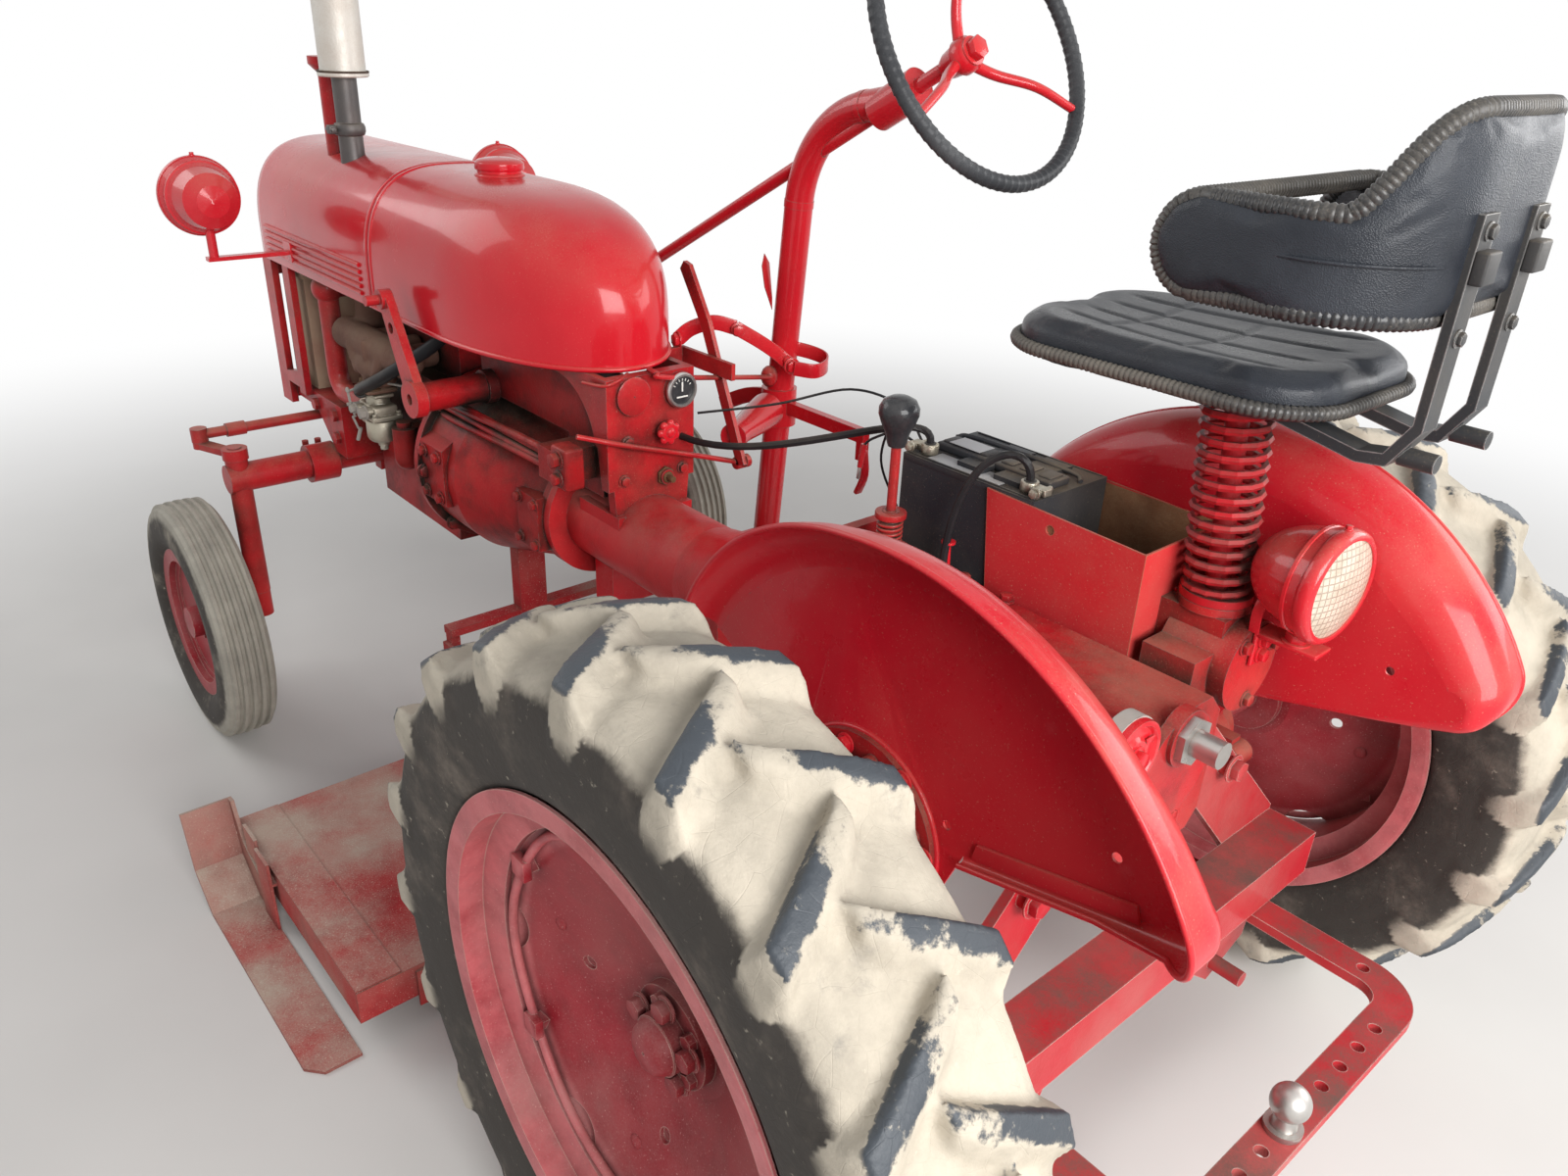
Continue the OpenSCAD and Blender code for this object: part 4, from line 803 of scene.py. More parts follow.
    # near black: the muffler's weld seam, and the painted shade sheet in the post's torn gap
    SEAM = Paint("weld_seam_and_shade", (0.045, 0.03, 0.025), (0.09, 0.05, 0.035), rough=0.8, dust=0.4, wear=0.0)
    RUBBER = Paint("cable_rubber", (0.013, 0.013, 0.015), (0.022, 0.022, 0.024), rough=0.42, dust=0.14,
                   wear=0.0)
    PIPING = Paint("ribbed_piping", (0.012, 0.013, 0.016), (0.03, 0.031, 0.034), rough=0.3, specular=0.4,
                   dust=0.75, dust_level=0.2, dust_colour=(0.24, 0.21, 0.17), dust_scale=2.5, wear=0.25,
                   wear_colour=(0.2, 0.2, 0.2), wear_metal=0.0)
    KNOB = Paint("black_knob", (0.016, 0.017, 0.02), (0.03, 0.031, 0.034), rough=0.26, coat=0.3,
                 dust=0.25, dust_level=0.5, dust_colour=(0.2, 0.19, 0.18), dust_scale=30, wear=0.0,
                 grain=0.9, grain_scale=160)
    LAMP = Paint("lamp_enamel", (0.56, 0.01, 0.02), (0.6, 0.03, 0.04), rough=0.24, coat=0.45, dust=0.35,
                 dust_level=1.0, wear=0.15, specks=0.8)
    DRUM = Paint("brake_band_grey", (0.42, 0.40, 0.37), (0.3, 0.27, 0.24), rough=0.6, dust=0.3, wear=0.2)
    RUST = Paint("box_rust", (0.30, 0.13, 0.06), (0.17, 0.075, 0.04), rough=0.85, dust=0.5, dust_level=0.2,
                 dust_colour=(0.42, 0.27, 0.15), dust_scale=14, wear=0.0, grain=1.3, grain_scale=160)
    WHITE = Paint("dial_white", (0.72, 0.71, 0.66), (0.66, 0.64, 0.58), rough=0.35, dust=0.2, wear=0.0)
    LABEL = Paint("blank_label", (0.5, 0.5, 0.5), (0.42, 0.42, 0.43), rough=0.45, dust=0.6, wear=0.0)
    BROWN = Paint("varnished_switch", (0.12, 0.06, 0.03), (0.16, 0.09, 0.05), rough=0.35, dust=0.2, wear=0.0)


class FinishBook:
    """Makes each finish once and gives it out."""

    def __init__(self) -> None:
        """Builds the shared node groups."""
        for maker in (dust_group, edge_group, shade_and_grime_group):
            maker()
        self.made: dict[str, bpy.types.Material] = {}

    def of(self, finish: Finish) -> bpy.types.Material:
        """The material of a hard finish."""
        return self.special(finish.value.name, finish.value.material)

    def special(self, name: str, maker: Callable[[], bpy.types.Material]) -> bpy.types.Material:
        """A material that has a maker of its own."""
        if name not in self.made:
            self.made[name] = maker()
        return self.made[name]


@dataclass
class Assembly:
    """A sub-assembly, which builds and dresses its own pieces."""

    book: FinishBook

    def dress(
        self,
        obj: Piece,
        finish: Finish | bpy.types.Material,
        slot: Slot = Slot.RED,
        replaces: Sequence[str] = (),
        body: Body = Body.CHASSIS,
    ) -> None:
        """Gives a finished piece its material and the body that it rides on.

        Args:
            obj: The piece, in place.
            finish: Its finish, or a material made for it.
            slot: The record's slot for that finish; not used.
            replaces: The frame's nodes that it stands for.
            body: The body that carries it.
        """
        self.coat(obj, finish)
        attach(obj, body.value)
        if replaces:
            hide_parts(*replaces)
        log.info("piece %s on %s", obj.name, body.value)

    def coat(self, obj: Piece, finish: Finish | bpy.types.Material) -> None:
        """Puts a material on a piece or on a node of the frame."""
        obj.data.materials.clear()
        obj.data.materials.append(self.book.of(finish) if isinstance(finish, Finish) else finish)

    def build(self, frame: dict) -> None:
        """Builds the sub-assembly around the frame."""
        raise NotImplementedError


@dataclass
class Studio:
    """Camera, soft lights, pale floor and backdrop."""

    width: int = 1600
    focal_px: float = 1181.70
    eye: tuple[float, float, float] = (-755.125, 1148.840, 1503.997)
    right: tuple[float, float, float] = (-0.65058871, -0.75849716, 0.03763498)
    down: tuple[float, float, float] = (-0.35829042, 0.26286822, -0.89583942)
    ahead: tuple[float, float, float] = (0.66959862, -0.59630727, -0.44278136)
    floor_colour: Colour = (0.66, 0.64, 0.61)
    fade_from: float = 1.7
    fade_to: float = 4.6

    def build(self) -> None:
        """Sets up the view and the light."""
        self.camera()
        self.floor()
        self.world()
        self.lamps()
        bpy.context.scene.view_settings.view_transform = "Standard"

    def camera(self) -> None:
        """The camera at the photograph's place and angle."""
        data = bpy.data.cameras.new("camera")
        data.sensor_width = 36
        data.lens = self.focal_px / self.width * data.sensor_width
        data.clip_start, data.clip_end = 0.05, 60
        obj = bpy.data.objects.new("camera", data)
        bpy.context.scene.collection.objects.link(obj)
        axes = Matrix((self.right, [-c for c in self.down], [-c for c in self.ahead])).transposed()
        obj.matrix_world = Matrix.Translation(spot(*self.eye)) @ axes.to_4x4()
        bpy.context.scene.camera = obj

    def floor(self) -> None:
        """A plain pale floor that turns up into nothing."""
        deselect()
        bpy.ops.mesh.primitive_plane_add(size=30, location=(0, 0, 0))
        obj = bpy.context.object
        obj.name = "floor"
        made = bpy.data.materials.new("pale_floor")
        made.use_nodes = True
        board = Board(made.node_tree)
        shader = board.add("ShaderNodeBsdfPrincipled")
        output = board.add("ShaderNodeOutputMaterial")
        place = board.place()
        tone = board.noise(place, 1.3, 4, 0.5)
        soft = tuple(c * 0.93 for c in self.floor_colour)
        board.feed(shader.inputs["Base Color"],
                   board.mix(board.ramp(tone, 0.3, 0.7), self.floor_colour, soft))
        shader.inputs["Roughness"].default_value = 0.75
        away = board.add("ShaderNodeVectorMath", operation="LENGTH")
        board.feed(away.inputs[0], place)
        far = board.ramp(away.outputs["Value"], self.fade_from, self.fade_to)
        white = board.add("ShaderNodeEmission")
        fade = board.add("ShaderNodeMixShader")
        board.feed(fade.inputs[0], board.times(far, self.background_seen(board)))
        board.feed(fade.inputs[1], shader.outputs[0])
        board.feed(fade.inputs[2], white.outputs[0])
        board.feed(output.inputs["Surface"], fade.outputs[0])
        obj.data.materials.append(made)

    def background_seen(self, board: Board) -> Socket:
        """1 for the rays that look at the background: straight, mirrored or through glass."""
        path = board.add("ShaderNodeLightPath")
        sight = board.plus(path.outputs["Is Camera Ray"], path.outputs["Is Glossy Ray"])
        return board.plus(sight, path.outputs["Is Transmission Ray"], clamp=True)

    def world(self) -> None:
        """Even light all round, and a white background for the camera."""
        world = bpy.data.worlds.new("studio")
        bpy.context.scene.world = world
        world.use_nodes = True
        board = Board(world.node_tree)
        output = board.add("ShaderNodeOutputWorld")
        light = board.add("ShaderNodeBackground")
        light.inputs["Color"].default_value = (0.92, 0.95, 1.0, 1)
        light.inputs["Strength"].default_value = 0.34
        white = board.add("ShaderNodeBackground")
        white.inputs["Color"].default_value = (1, 1, 1, 1)
        white.inputs["Strength"].default_value = 1.0
        mix = board.add("ShaderNodeMixShader")
        board.feed(mix.inputs[0], self.background_seen(board))
        board.feed(mix.inputs[1], light.outputs[0])
        board.feed(mix.inputs[2], white.outputs[0])
        board.feed(output.inputs["Surface"], mix.outputs[0])

    def lamps(self) -> None:
        """Three large soft lamps: behind the camera, to the right and in front."""
        for name, at, size, power in (
            ("door_light", (-2900, 900, 2100), (2.4, 1.8), 178),
            ("right_light", (-1500, -2900, 2000), (2.2, 1.6), 55),
            ("front_light", (3600, 1900, 2900), (2.4, 2.0), 45),
        ):
            data = bpy.data.lights.new(name, "AREA")
            data.shape = "RECTANGLE"
            data.size, data.size_y = size
            data.energy = power
            obj = bpy.data.objects.new(name, data)
            bpy.context.scene.collection.objects.link(obj)
            place = spot(*at)
            aim = spot(500, 0, 600) - place
            obj.matrix_world = Matrix.Translation(place) @ aim.to_track_quat("-Z", "Y").to_matrix().to_4x4()


def tyre_rubber(
    centre: Vector, crown: float, name: str, lug_height: float, dust: Colour, wall_dust: Colour
) -> bpy.types.Material:
    """Rubber with dust in its hollows, blue grey where the tread is rubbed.

    Args:
        centre: The wheel's centre, in metres.
        crown: Radius of the tread between the lugs.
        name: The material's name.
        lug_height: How far the tread stands above that.
        dust: Colour of the dust on the tread.
        wall_dust: Colour of the dust on the side wall.

    Returns:
        The material.
    """
    made, board, shader = surface(name)
    place = board.place()
    radius = board.wheel_radius(place, centre)
    cloud = board.noise(place, 9, 7, 0.65)
    fine = board.noise(place, 90, 5, 0.65)
    marked = board.add("ShaderNodeAttribute", attribute_name="rub").outputs["Fac"]
    patchy = board.times(board.math("SUBTRACT", board.noise(place, 30, 6, 0.7), 0.5), 2.3)
    rubbed = board.ramp(board.plus(marked, patchy), 0.42, 0.72)
    rubbed = board.times(rubbed, board.ramp(radius, crown + lug_height * 0.1, crown + lug_height * 0.4))
    lug = board.add("ShaderNodeAttribute", attribute_name="lug").outputs["Fac"]
    ragged = board.times(board.math("SUBTRACT", board.noise(place, 38, 5, 0.65), 0.5), 0.02)
    height = board.plus(radius, ragged)
    side = board.ramp(height, crown - 0.028, crown - 0.012)
    side = board.math("MAXIMUM", side, board.times(lug, board.ramp(height, crown - 0.062, crown - 0.026)))
    bare: Colour = (0.034, 0.028, 0.023)
    beige = board.mix(board.ramp(cloud, 0.3, 0.75), dust, tuple(c * 0.66 for c in dust))
    stain = board.ramp(board.noise(place, 21, 7, 0.72), 0.56, 0.78, 0, 0.6)
    beige = board.mix(stain, beige, (0.17, 0.16, 0.145))
    wall = board.mix(board.ramp(cloud, 0.48, 0.85), bare, wall_dust)
    colour = board.mix(side, wall, beige)
    colour = board.mix(rubbed, colour, (0.04, 0.047, 0.056))
    specks = board.ramp(fine, 0.62, 0.74)
    colour = board.mix(board.times(specks, 0.45), colour, (0.56, 0.50, 0.40))
    board.feed(shader.inputs["Base Color"], colour)
    board.feed(shader.inputs["Roughness"], board.blend(rubbed, 0.88, 0.55))
    cracks = board.add("ShaderNodeTexVoronoi", feature="DISTANCE_TO_EDGE")
    board.feed(cracks.inputs["Vector"], place)
    cracks.inputs["Scale"].default_value = 34
    crack = board.ramp(cracks.outputs["Distance"], 0.0, 0.02)
    height = board.plus(board.times(fine, 0.6), board.times(crack, 0.12))
    height = board.plus(height, cloud)
    board.bump(shader, height, strength=0.35, depth=0.006)
    return made


@dataclass
class RearWheel(Assembly):
    """A tall wheel: a chevron-lugged tyre on a dished disc rim."""

    side: int = 1
    lugs: int = 19
    half_width: float = 105.5
    crown: float = 468.0
    lug_height: float = 27.0
    first_nose: float = 97.5
    sweep: float = 10.0
    nose_past: float = 26.0
    bar_turn: float = 2.0
    bar_from: float = 8.0
    foot_below: float = 66.0
    foot_rise: float = 50.0

    def build(self, frame: dict) -> None:
        """Builds the tyre and finishes the rim."""
        word = "left" if self.side > 0 else "right"
        body = Body.REAR_LEFT if self.side > 0 else Body.REAR_RIGHT
        low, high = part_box(f"rear_tyre_{word}")
        self.centre = (low + high) / 2
        tyre = self.tyre(f"lugged_tyre_{word}")
        rubber = self.book.special(
            f"dusty_rubber_{word}",
            lambda: tyre_rubber(self.centre, self.crown * MM, f"dusty_rubber_{word}", self.lug_height * MM,
                                (0.52, 0.46, 0.37), (0.19, 0.155, 0.125)),
        )
        self.dress(tyre, rubber, Slot.TYRE, [f"rear_tyre_{word}"], body)
        self.coat(frame["nodes"][f"rear_rim_{word}"], Finish.REAR_WHEEL)

    def at(self, degrees: float, radius: float, out: float) -> Vector:
        """A point of the wheel: angle from the front over the top, radius and distance outwards."""
        a = math.radians(degrees)
        return self.centre + Vector((radius * math.cos(a), out * self.side, radius * math.sin(a))) * MM

    def tyre(self, name: str) -> Piece:
        """The carcass and its lugs as one worn piece."""
        w, c = self.half_width, self.crown
        wall = [(322, w - 22), (332, w - 13), (350, w - 8), (385, w - 3.5), (418, w - 3), (440, w - 6),
                (455, w - 14), (463, w - 30), (c - 1, w - 62), (c, 0)]
        half = wall + [(r, -y) for r, y in reversed(wall[:-1])]
        carcass = outline(name, [self.at(0, r, y) for r, y in half])
        spin(carcass, self.centre, LEFT, WHEEL_STEPS)
        outer = self.lug(+1)
        inner = self.lug(-1)
        pitch = 360 / self.lugs
        pieces = [carcass]
        for k in range(self.lugs):
            pieces.append(copied(outer, turn_about(self.centre, "Y", -(self.first_nose + k * pitch))))
            pieces.append(copied(inner, turn_about(self.centre, "Y", -(self.first_nose + (k + 0.5) * pitch))))
        for master in (outer, inner):
            bpy.data.objects.remove(master)
        tyre = join(name, pieces)
        melt(tyre, voxel=0.005, softness=0.5, rounds=3)
        self.mark_rubbed(tyre)
        return tyre

    def mark_rubbed(self, tyre: Piece) -> None:
        """Stores how near each point lies to a lug's leading edge, where the ground rubs it."""
        pitch = 360 / self.lugs
        slope = (self.sweep - self.bar_turn) / (self.half_width - 7 + self.bar_from)
        rub = tyre.data.attributes.new("rub", "FLOAT", "POINT")
        bar_mark = tyre.data.attributes.new("lug", "FLOAT", "POINT")
        for vertex in tyre.data.vertices:
            away = (vertex.co - self.centre) / MM
            radius = math.hypot(away.x, away.z)
            angle = math.degrees(math.atan2(away.z, away.x))
            best = 0.0
            end = 1 if away.y * self.side > 0 else -1
            if radius > self.crown - self.foot_below:
                line = self.bar_turn + (abs(away.y) + self.bar_from) * slope + (0 if end > 0 else pitch / 2)
                turn = (angle - self.first_nose - line + pitch / 2) % pitch - pitch / 2
                past = math.radians(turn) * radius
                foot = min(1.0, (radius - self.crown + self.foot_below) / self.foot_rise)
                bar_mark.data[vertex.index].value = 1.0 if -5 - 21 * foot < past < 6 + 32 * foot else 0.0
            for half, shift in ((1, 0.0), (-1, pitch / 2)):
                out = away.y * self.side * half
                if radius < self.crown + 7 or out < -self.nose_past:
                    continue
                line = self.bar_turn + (out + self.bar_from) * slope
                turn = (angle - self.first_nose - shift - line + pitch / 2) % pitch - pitch / 2
                past = math.radians(turn) * radius + 14
                share = min(1.0, max(0.0, (past + 9) / 5)) * min(1.0, max(0.0, (38 - past) / 18))
                best = max(best, share * min(1.0, 0.45 + max(0.0, out) / 90))
            rub.data[vertex.index].value = best

    def lug(self, half: int) -> Piece:
        """One bar of the chevron with its nose at angle 0.

        Args:
            half: 1 for the outer half of the tread, -1 for the inner half.

        Returns:
            The lug as a closed piece.
        """
        w, c, h = self.half_width, self.crown, self.lug_height
        # place along the bar: angle, distance outwards, top, foot, half width of the top, worn flank
        rows = [(0.0, -self.nose_past, c + h - 1, c - 12, 12, 34), (2.0, -8, c + h, c - 12, 13, 44),
                (5.0, 34, c + h - 2, c - 12, 13, 50), (8.0, 74, c + h - 6, c - 16, 14, 50),
                (self.sweep, w - 7, c + h - 12, c - 30, 16, 40),
                (self.sweep + 0.4, w - 0.8, c - 6, c - 58, 18, 20)]
        sections = []
        for angle, out, top, foot, half_top, worn in rows:
            degrees = math.degrees(1 / top)
            near, far = angle - half_top * degrees, angle + half_top * degrees
            sections.append(
                [
                    self.at(near - 9 * degrees, foot, out * half),
                    self.at(near, top, out * half),
                    self.at(far, top - 1.5, out * half),
                    self.at(far + worn * degrees, foot, out * half),
                ]
            )
        return loft("lug", sections)


@dataclass
class FrontWheel(Assembly):
    """A narrow wheel with a ribbed tyre."""

    side: int = 1
    ribs: int = 5
    groove: float = 7.0

    def build(self, frame: dict) -> None:
        """Builds the tyre and finishes the rim."""
        word = "left" if self.side > 0 else "right"
        body = Body.FRONT_LEFT if self.side > 0 else Body.FRONT_RIGHT
        low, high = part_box(f"front_tyre_{word}")
        centre = (low + high) / 2
        radius, half = (high.z - low.z) / 2 / MM, (high.y - low.y) / 2 / MM
        tyre = self.tyre(f"ribbed_tyre_{word}", centre, radius, half)
        rubber = self.book.special(
            f"front_rubber_{word}",
            lambda: tyre_rubber(centre, (radius - 10) * MM, f"front_rubber_{word}", 10 * MM,
                                (0.40, 0.37, 0.31), (0.36, 0.32, 0.26)),
        )
        self.dress(tyre, rubber, Slot.TYRE, [f"front_tyre_{word}"], body)
        self.coat(frame["nodes"][f"front_rim_{word}"], Finish.WHEEL)

    def tyre(self, name: str, centre: Vector, r: float, w: float) -> Piece:
        """The tyre as one turned profile with ribs and a moulded shoulder."""
        g = self.groove
        tread = 0.72 * w
        step = 2 * tread / (2 * self.ribs - 1)
        crown: list[tuple[float, float]] = []
        for k in range(self.ribs):
            left = -tread + 2 * k * step
            fall = 3.0 * (left + step / 2) ** 2 / tread**2
            crown += [(r - fall - g, left - 1.5), (r - fall, left + 1), (r - fall, left + step - 1),
                      (r - fall - g, left + step + 1.5)]
        wall = [(156, 34), (166, 41), (172, 47), (192, w - 1), (215, w - 0.5), (232, w - 4), (r - 20, w - 6),
                (r - 14, w - 8)]
        half = [(a, -b) for a, b in wall] + crown + list(reversed(wall))
        line = [centre + Vector((a, b * self.side, 0)) * MM for a, b in half]
        obj = spin(outline(name, line), centre, LEFT, WHEEL_STEPS)
        return smooth(obj, 32)


def vinyl(name: str) -> bpy.types.Material:
    """Black coated cloth with a fine grain, creases and grey dust."""
    made, board, shader = surface(name)
    place = board.place()
    cells = board.add("ShaderNodeTexVoronoi", feature="F1")
    board.feed(cells.inputs["Vector"], place)
    cells.inputs["Scale"].default_value = 620
    wrinkle = board.noise(place, 26, 6, 0.6)
    cloud = board.noise(place, 7, 5, 0.6)
    layer = Paint.placed(board, "settled_dust", Amount=0.2, Level=0.6, Scale=4)
    colour = board.mix(board.ramp(cloud, 0.35, 0.75), (0.014, 0.016, 0.021), (0.03, 0.034, 0.042))
    colour = board.mix(layer.outputs["Mask"], colour, (0.08, 0.08, 0.088))
    board.feed(shader.inputs["Base Color"], colour)
    board.feed(shader.inputs["Roughness"], board.ramp(cloud, 0.3, 0.8, 0.24, 0.46))
    height = board.plus(board.times(cells.outputs["Distance"], 0.5), board.times(wrinkle, 1.4))
    board.bump(shader, height, strength=0.3, depth=0.004)
    shader.inputs["Specular IOR Level"].default_value = 0.2
    shader.inputs["Coat Weight"].default_value = 0.12
    shader.inputs["Coat Roughness"].default_value = 0.25
    return made


@dataclass
class Seat(Assembly):
    """Padded pan and wrap-around back on two arms and a coil spring."""

    swell: float = 0.012
    softness: float = 0.6
    rounds: int = 14
    voxel: float = 0.0055

    def build(self, frame: dict) -> None:
        """Pads and dresses the seat."""
        cover = self.book.special("black_vinyl", lambda: vinyl("black_vinyl"))
        pan = self.cushion(frame["nodes"]["seat_pan"], "seat_cushion", 0.9)
        self.tuft(pan)
        self.dress(pan, cover, Slot.VINYL, ["seat_pan"])
        back = self.cushion(frame["nodes"]["seat_back"], "seat_back_cushion", 0.55)
        self.dress(back, cover, Slot.VINYL, ["seat_back"])
        self.coat(frame["nodes"]["seat_frame"], Finish.FRAME)
        self.coat(frame["nodes"]["seat_spring"], Finish.SPRING)
        self.coat(frame["nodes"]["seat_bracket"], Finish.CHASSIS)

    def cushion(self, node: Piece, name: str, share: float) -> Piece:
        """A swollen copy of a hard pad.

        Args:
            node: The pad in the frame.
            name: The new piece's name.
            share: How much of the full swell it gets.

        Returns:
            The padded piece.
        """
        obj = node.copy()
        obj.data = node.data.copy()
        obj.parent = None
        obj.name = name
        for key in list(obj.keys()):
            del obj[key]
        bpy.context.scene.collection.objects.link(obj)
        take(obj)
        bpy.ops.object.mode_set(mode="EDIT")
        bpy.ops.mesh.select_all(action="SELECT")
        bpy.ops.mesh.remove_doubles(threshold=1e-5)
        bpy.ops.object.mode_set(mode="OBJECT")
        melt(obj, self.voxel, self.softness, self.rounds)
        rest = [v.co.copy() for v in obj.data.vertices]
        self.inflate(obj, rest, self.swell * share)
        finer = obj.modifiers.new("finer", "SUBSURF")
        finer.levels = finer.render_levels = 1
        bpy.ops.object.modifier_apply(modifier=finer.name)
        bpy.ops.object.shade_smooth()
        return obj

    def inflate(self, obj: Piece, rest: list[Vector], cap: float) -> None:
        """Blows a pad up with cloth pressure and caps how far it may move."""
        cloth = obj.modifiers.new("fill", "CLOTH")
        cloth.settings.use_pressure = True
        cloth.settings.uniform_pressure_force = 4
        cloth.settings.effector_weights.gravity = 0
        cloth.settings.quality = 5
        scene = bpy.context.scene
        for step in range(1, 21):
            scene.frame_set(step)
        take(obj)
        bpy.ops.object.modifier_apply(modifier=cloth.name)
        scene.frame_set(1)
        for vertex, start in zip(obj.data.vertices, rest):
            move = vertex.co - start
            if move.length > cap:
                vertex.co = start + move * (cap / move.length)

    def tuft(self, obj: Piece) -> None:
        """Presses the sewn channels of the pan in from above."""
        low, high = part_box("seat_pan")
        middle = (low + high) / 2
        half = (high - low) / 2
        for vertex in obj.data.vertices:
            if vertex.co.z < middle.z:
                continue
            u = (vertex.co.x - middle.x) / half.x
            v = (vertex.co.y - middle.y) / half.y
            inside = max(0.0, 1 - max(abs(u), abs(v)) ** 4)
            groove = 0.0
            for shift in (-0.58, -0.2, 0.2, 0.58):
                away = abs(v - shift * (1 - 0.25 * u)) / 0.035
                groove = max(groove, math.exp(-away * away) * min(1.0, max(0.0, (0.75 - abs(u)) * 8)))
            for shift in (-0.15, 0.35):
                away = abs(u - shift - 0.12 * v * v) / 0.03
                groove = max(groove, 0.7 * math.exp(-away * away) * min(1.0, max(0.0, (0.7 - abs(v)) * 8)))
            vertex.co.z -= (0.0034 * groove * inside) + 0.010 * max(0.0, 1 - u * u - v * v)


@dataclass
class Steering(Assembly):
    """Taped rim on three bent spokes, its hub and the long shaft."""

    rim_radius: float = 200.0
    rim_thick: float = 11.2
    wraps: int = 92
    dish: float = 36.0
    hub: tuple[float, float, float] = (458.0, -235.0, 1462.0)
    slope: float = 28.08

    def build(self, frame: dict) -> None:
        """Builds the wheel around the frame's own axis."""
        tilt = math.radians(self.slope)
        centre = spot(*self.hub)
        ahead = Vector((math.cos(tilt), 0, -math.sin(tilt)))
        up = Vector((math.sin(tilt), 0, math.cos(tilt)))

        def at(degrees: float, radius: float, along: float) -> Vector:
            """A point of this section, in the piece's own measures."""
            a = math.radians(degrees)
            return centre + (LEFT * math.sin(a) + up * math.cos(a)) * radius * MM + ahead * along * MM

        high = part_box("steering_wheel")[1]
        reach = (high.x - centre.x - 0.0052) / math.cos(tilt)
        ring = [at(k * 360 / 552, self.rim_radius, -self.dish) for k in range(552)]
        rim = tube("taped_rim", ring, self.wrap, 12, closed=True)
        tape = self.book.special("wound_tape", tape_material)
        self.dress(rim, tape, Slot.TAPE, ["steering_wheel"], Body.STEERING)
        spokes = []
        for k in range(3):
            run = [at(k * 120, 16, 6), at(k * 120, 60, -4), at(k * 120, 120, -30), at(k * 120, 196, -36)]
            spokes.append(tube("spoke", smooth_line(run, 8), lambda t: (0.0085 - 0.002 * t), 12))
        profile = [(1, -16), (20, -16), (25, -10), (26, 6), (22, 12), (19, 30), (14, 40), (1, 40)]
        hub = outline("hub", [at(0, r, z) for r, z in profile])
        spin(hub, centre, ahead, 32)
        nut = hexagon("nut", at(0, 0, -16), -ahead, 0.034, 0.014)
        rod = bar("shaft", centre, centre + ahead * reach, 0.011, 20)
        parts = [smooth(hub), nut, rod, *spokes]
        self.dress(join("steering_hub", parts), Finish.POST, body=Body.STEERING)
        self.coat(frame["nodes"]["steering_post"], Finish.POST)

    def wrap(self, share: float) -> float:
        """Radius of the rim with its overlapping turns of tape."""
        turn = (share * self.wraps) % 1
        return (self.rim_thick + 1.3 * turn * turn) * MM


def tape_material() -> bpy.types.Material:
    """Shiny black tape, grey where hands rubbed it."""
    made = Paint("wound_tape", (0.018, 0.019, 0.022), (0.05, 0.052, 0.056), rough=0.34, dust=0.35,
                 dust_level=0.5, dust_colour=(0.2, 0.2, 0.2), wear=0.2, wear_colour=(0.2, 0.2, 0.2),
                 wear_metal=0.0, dents=0.6)
    return made.material()


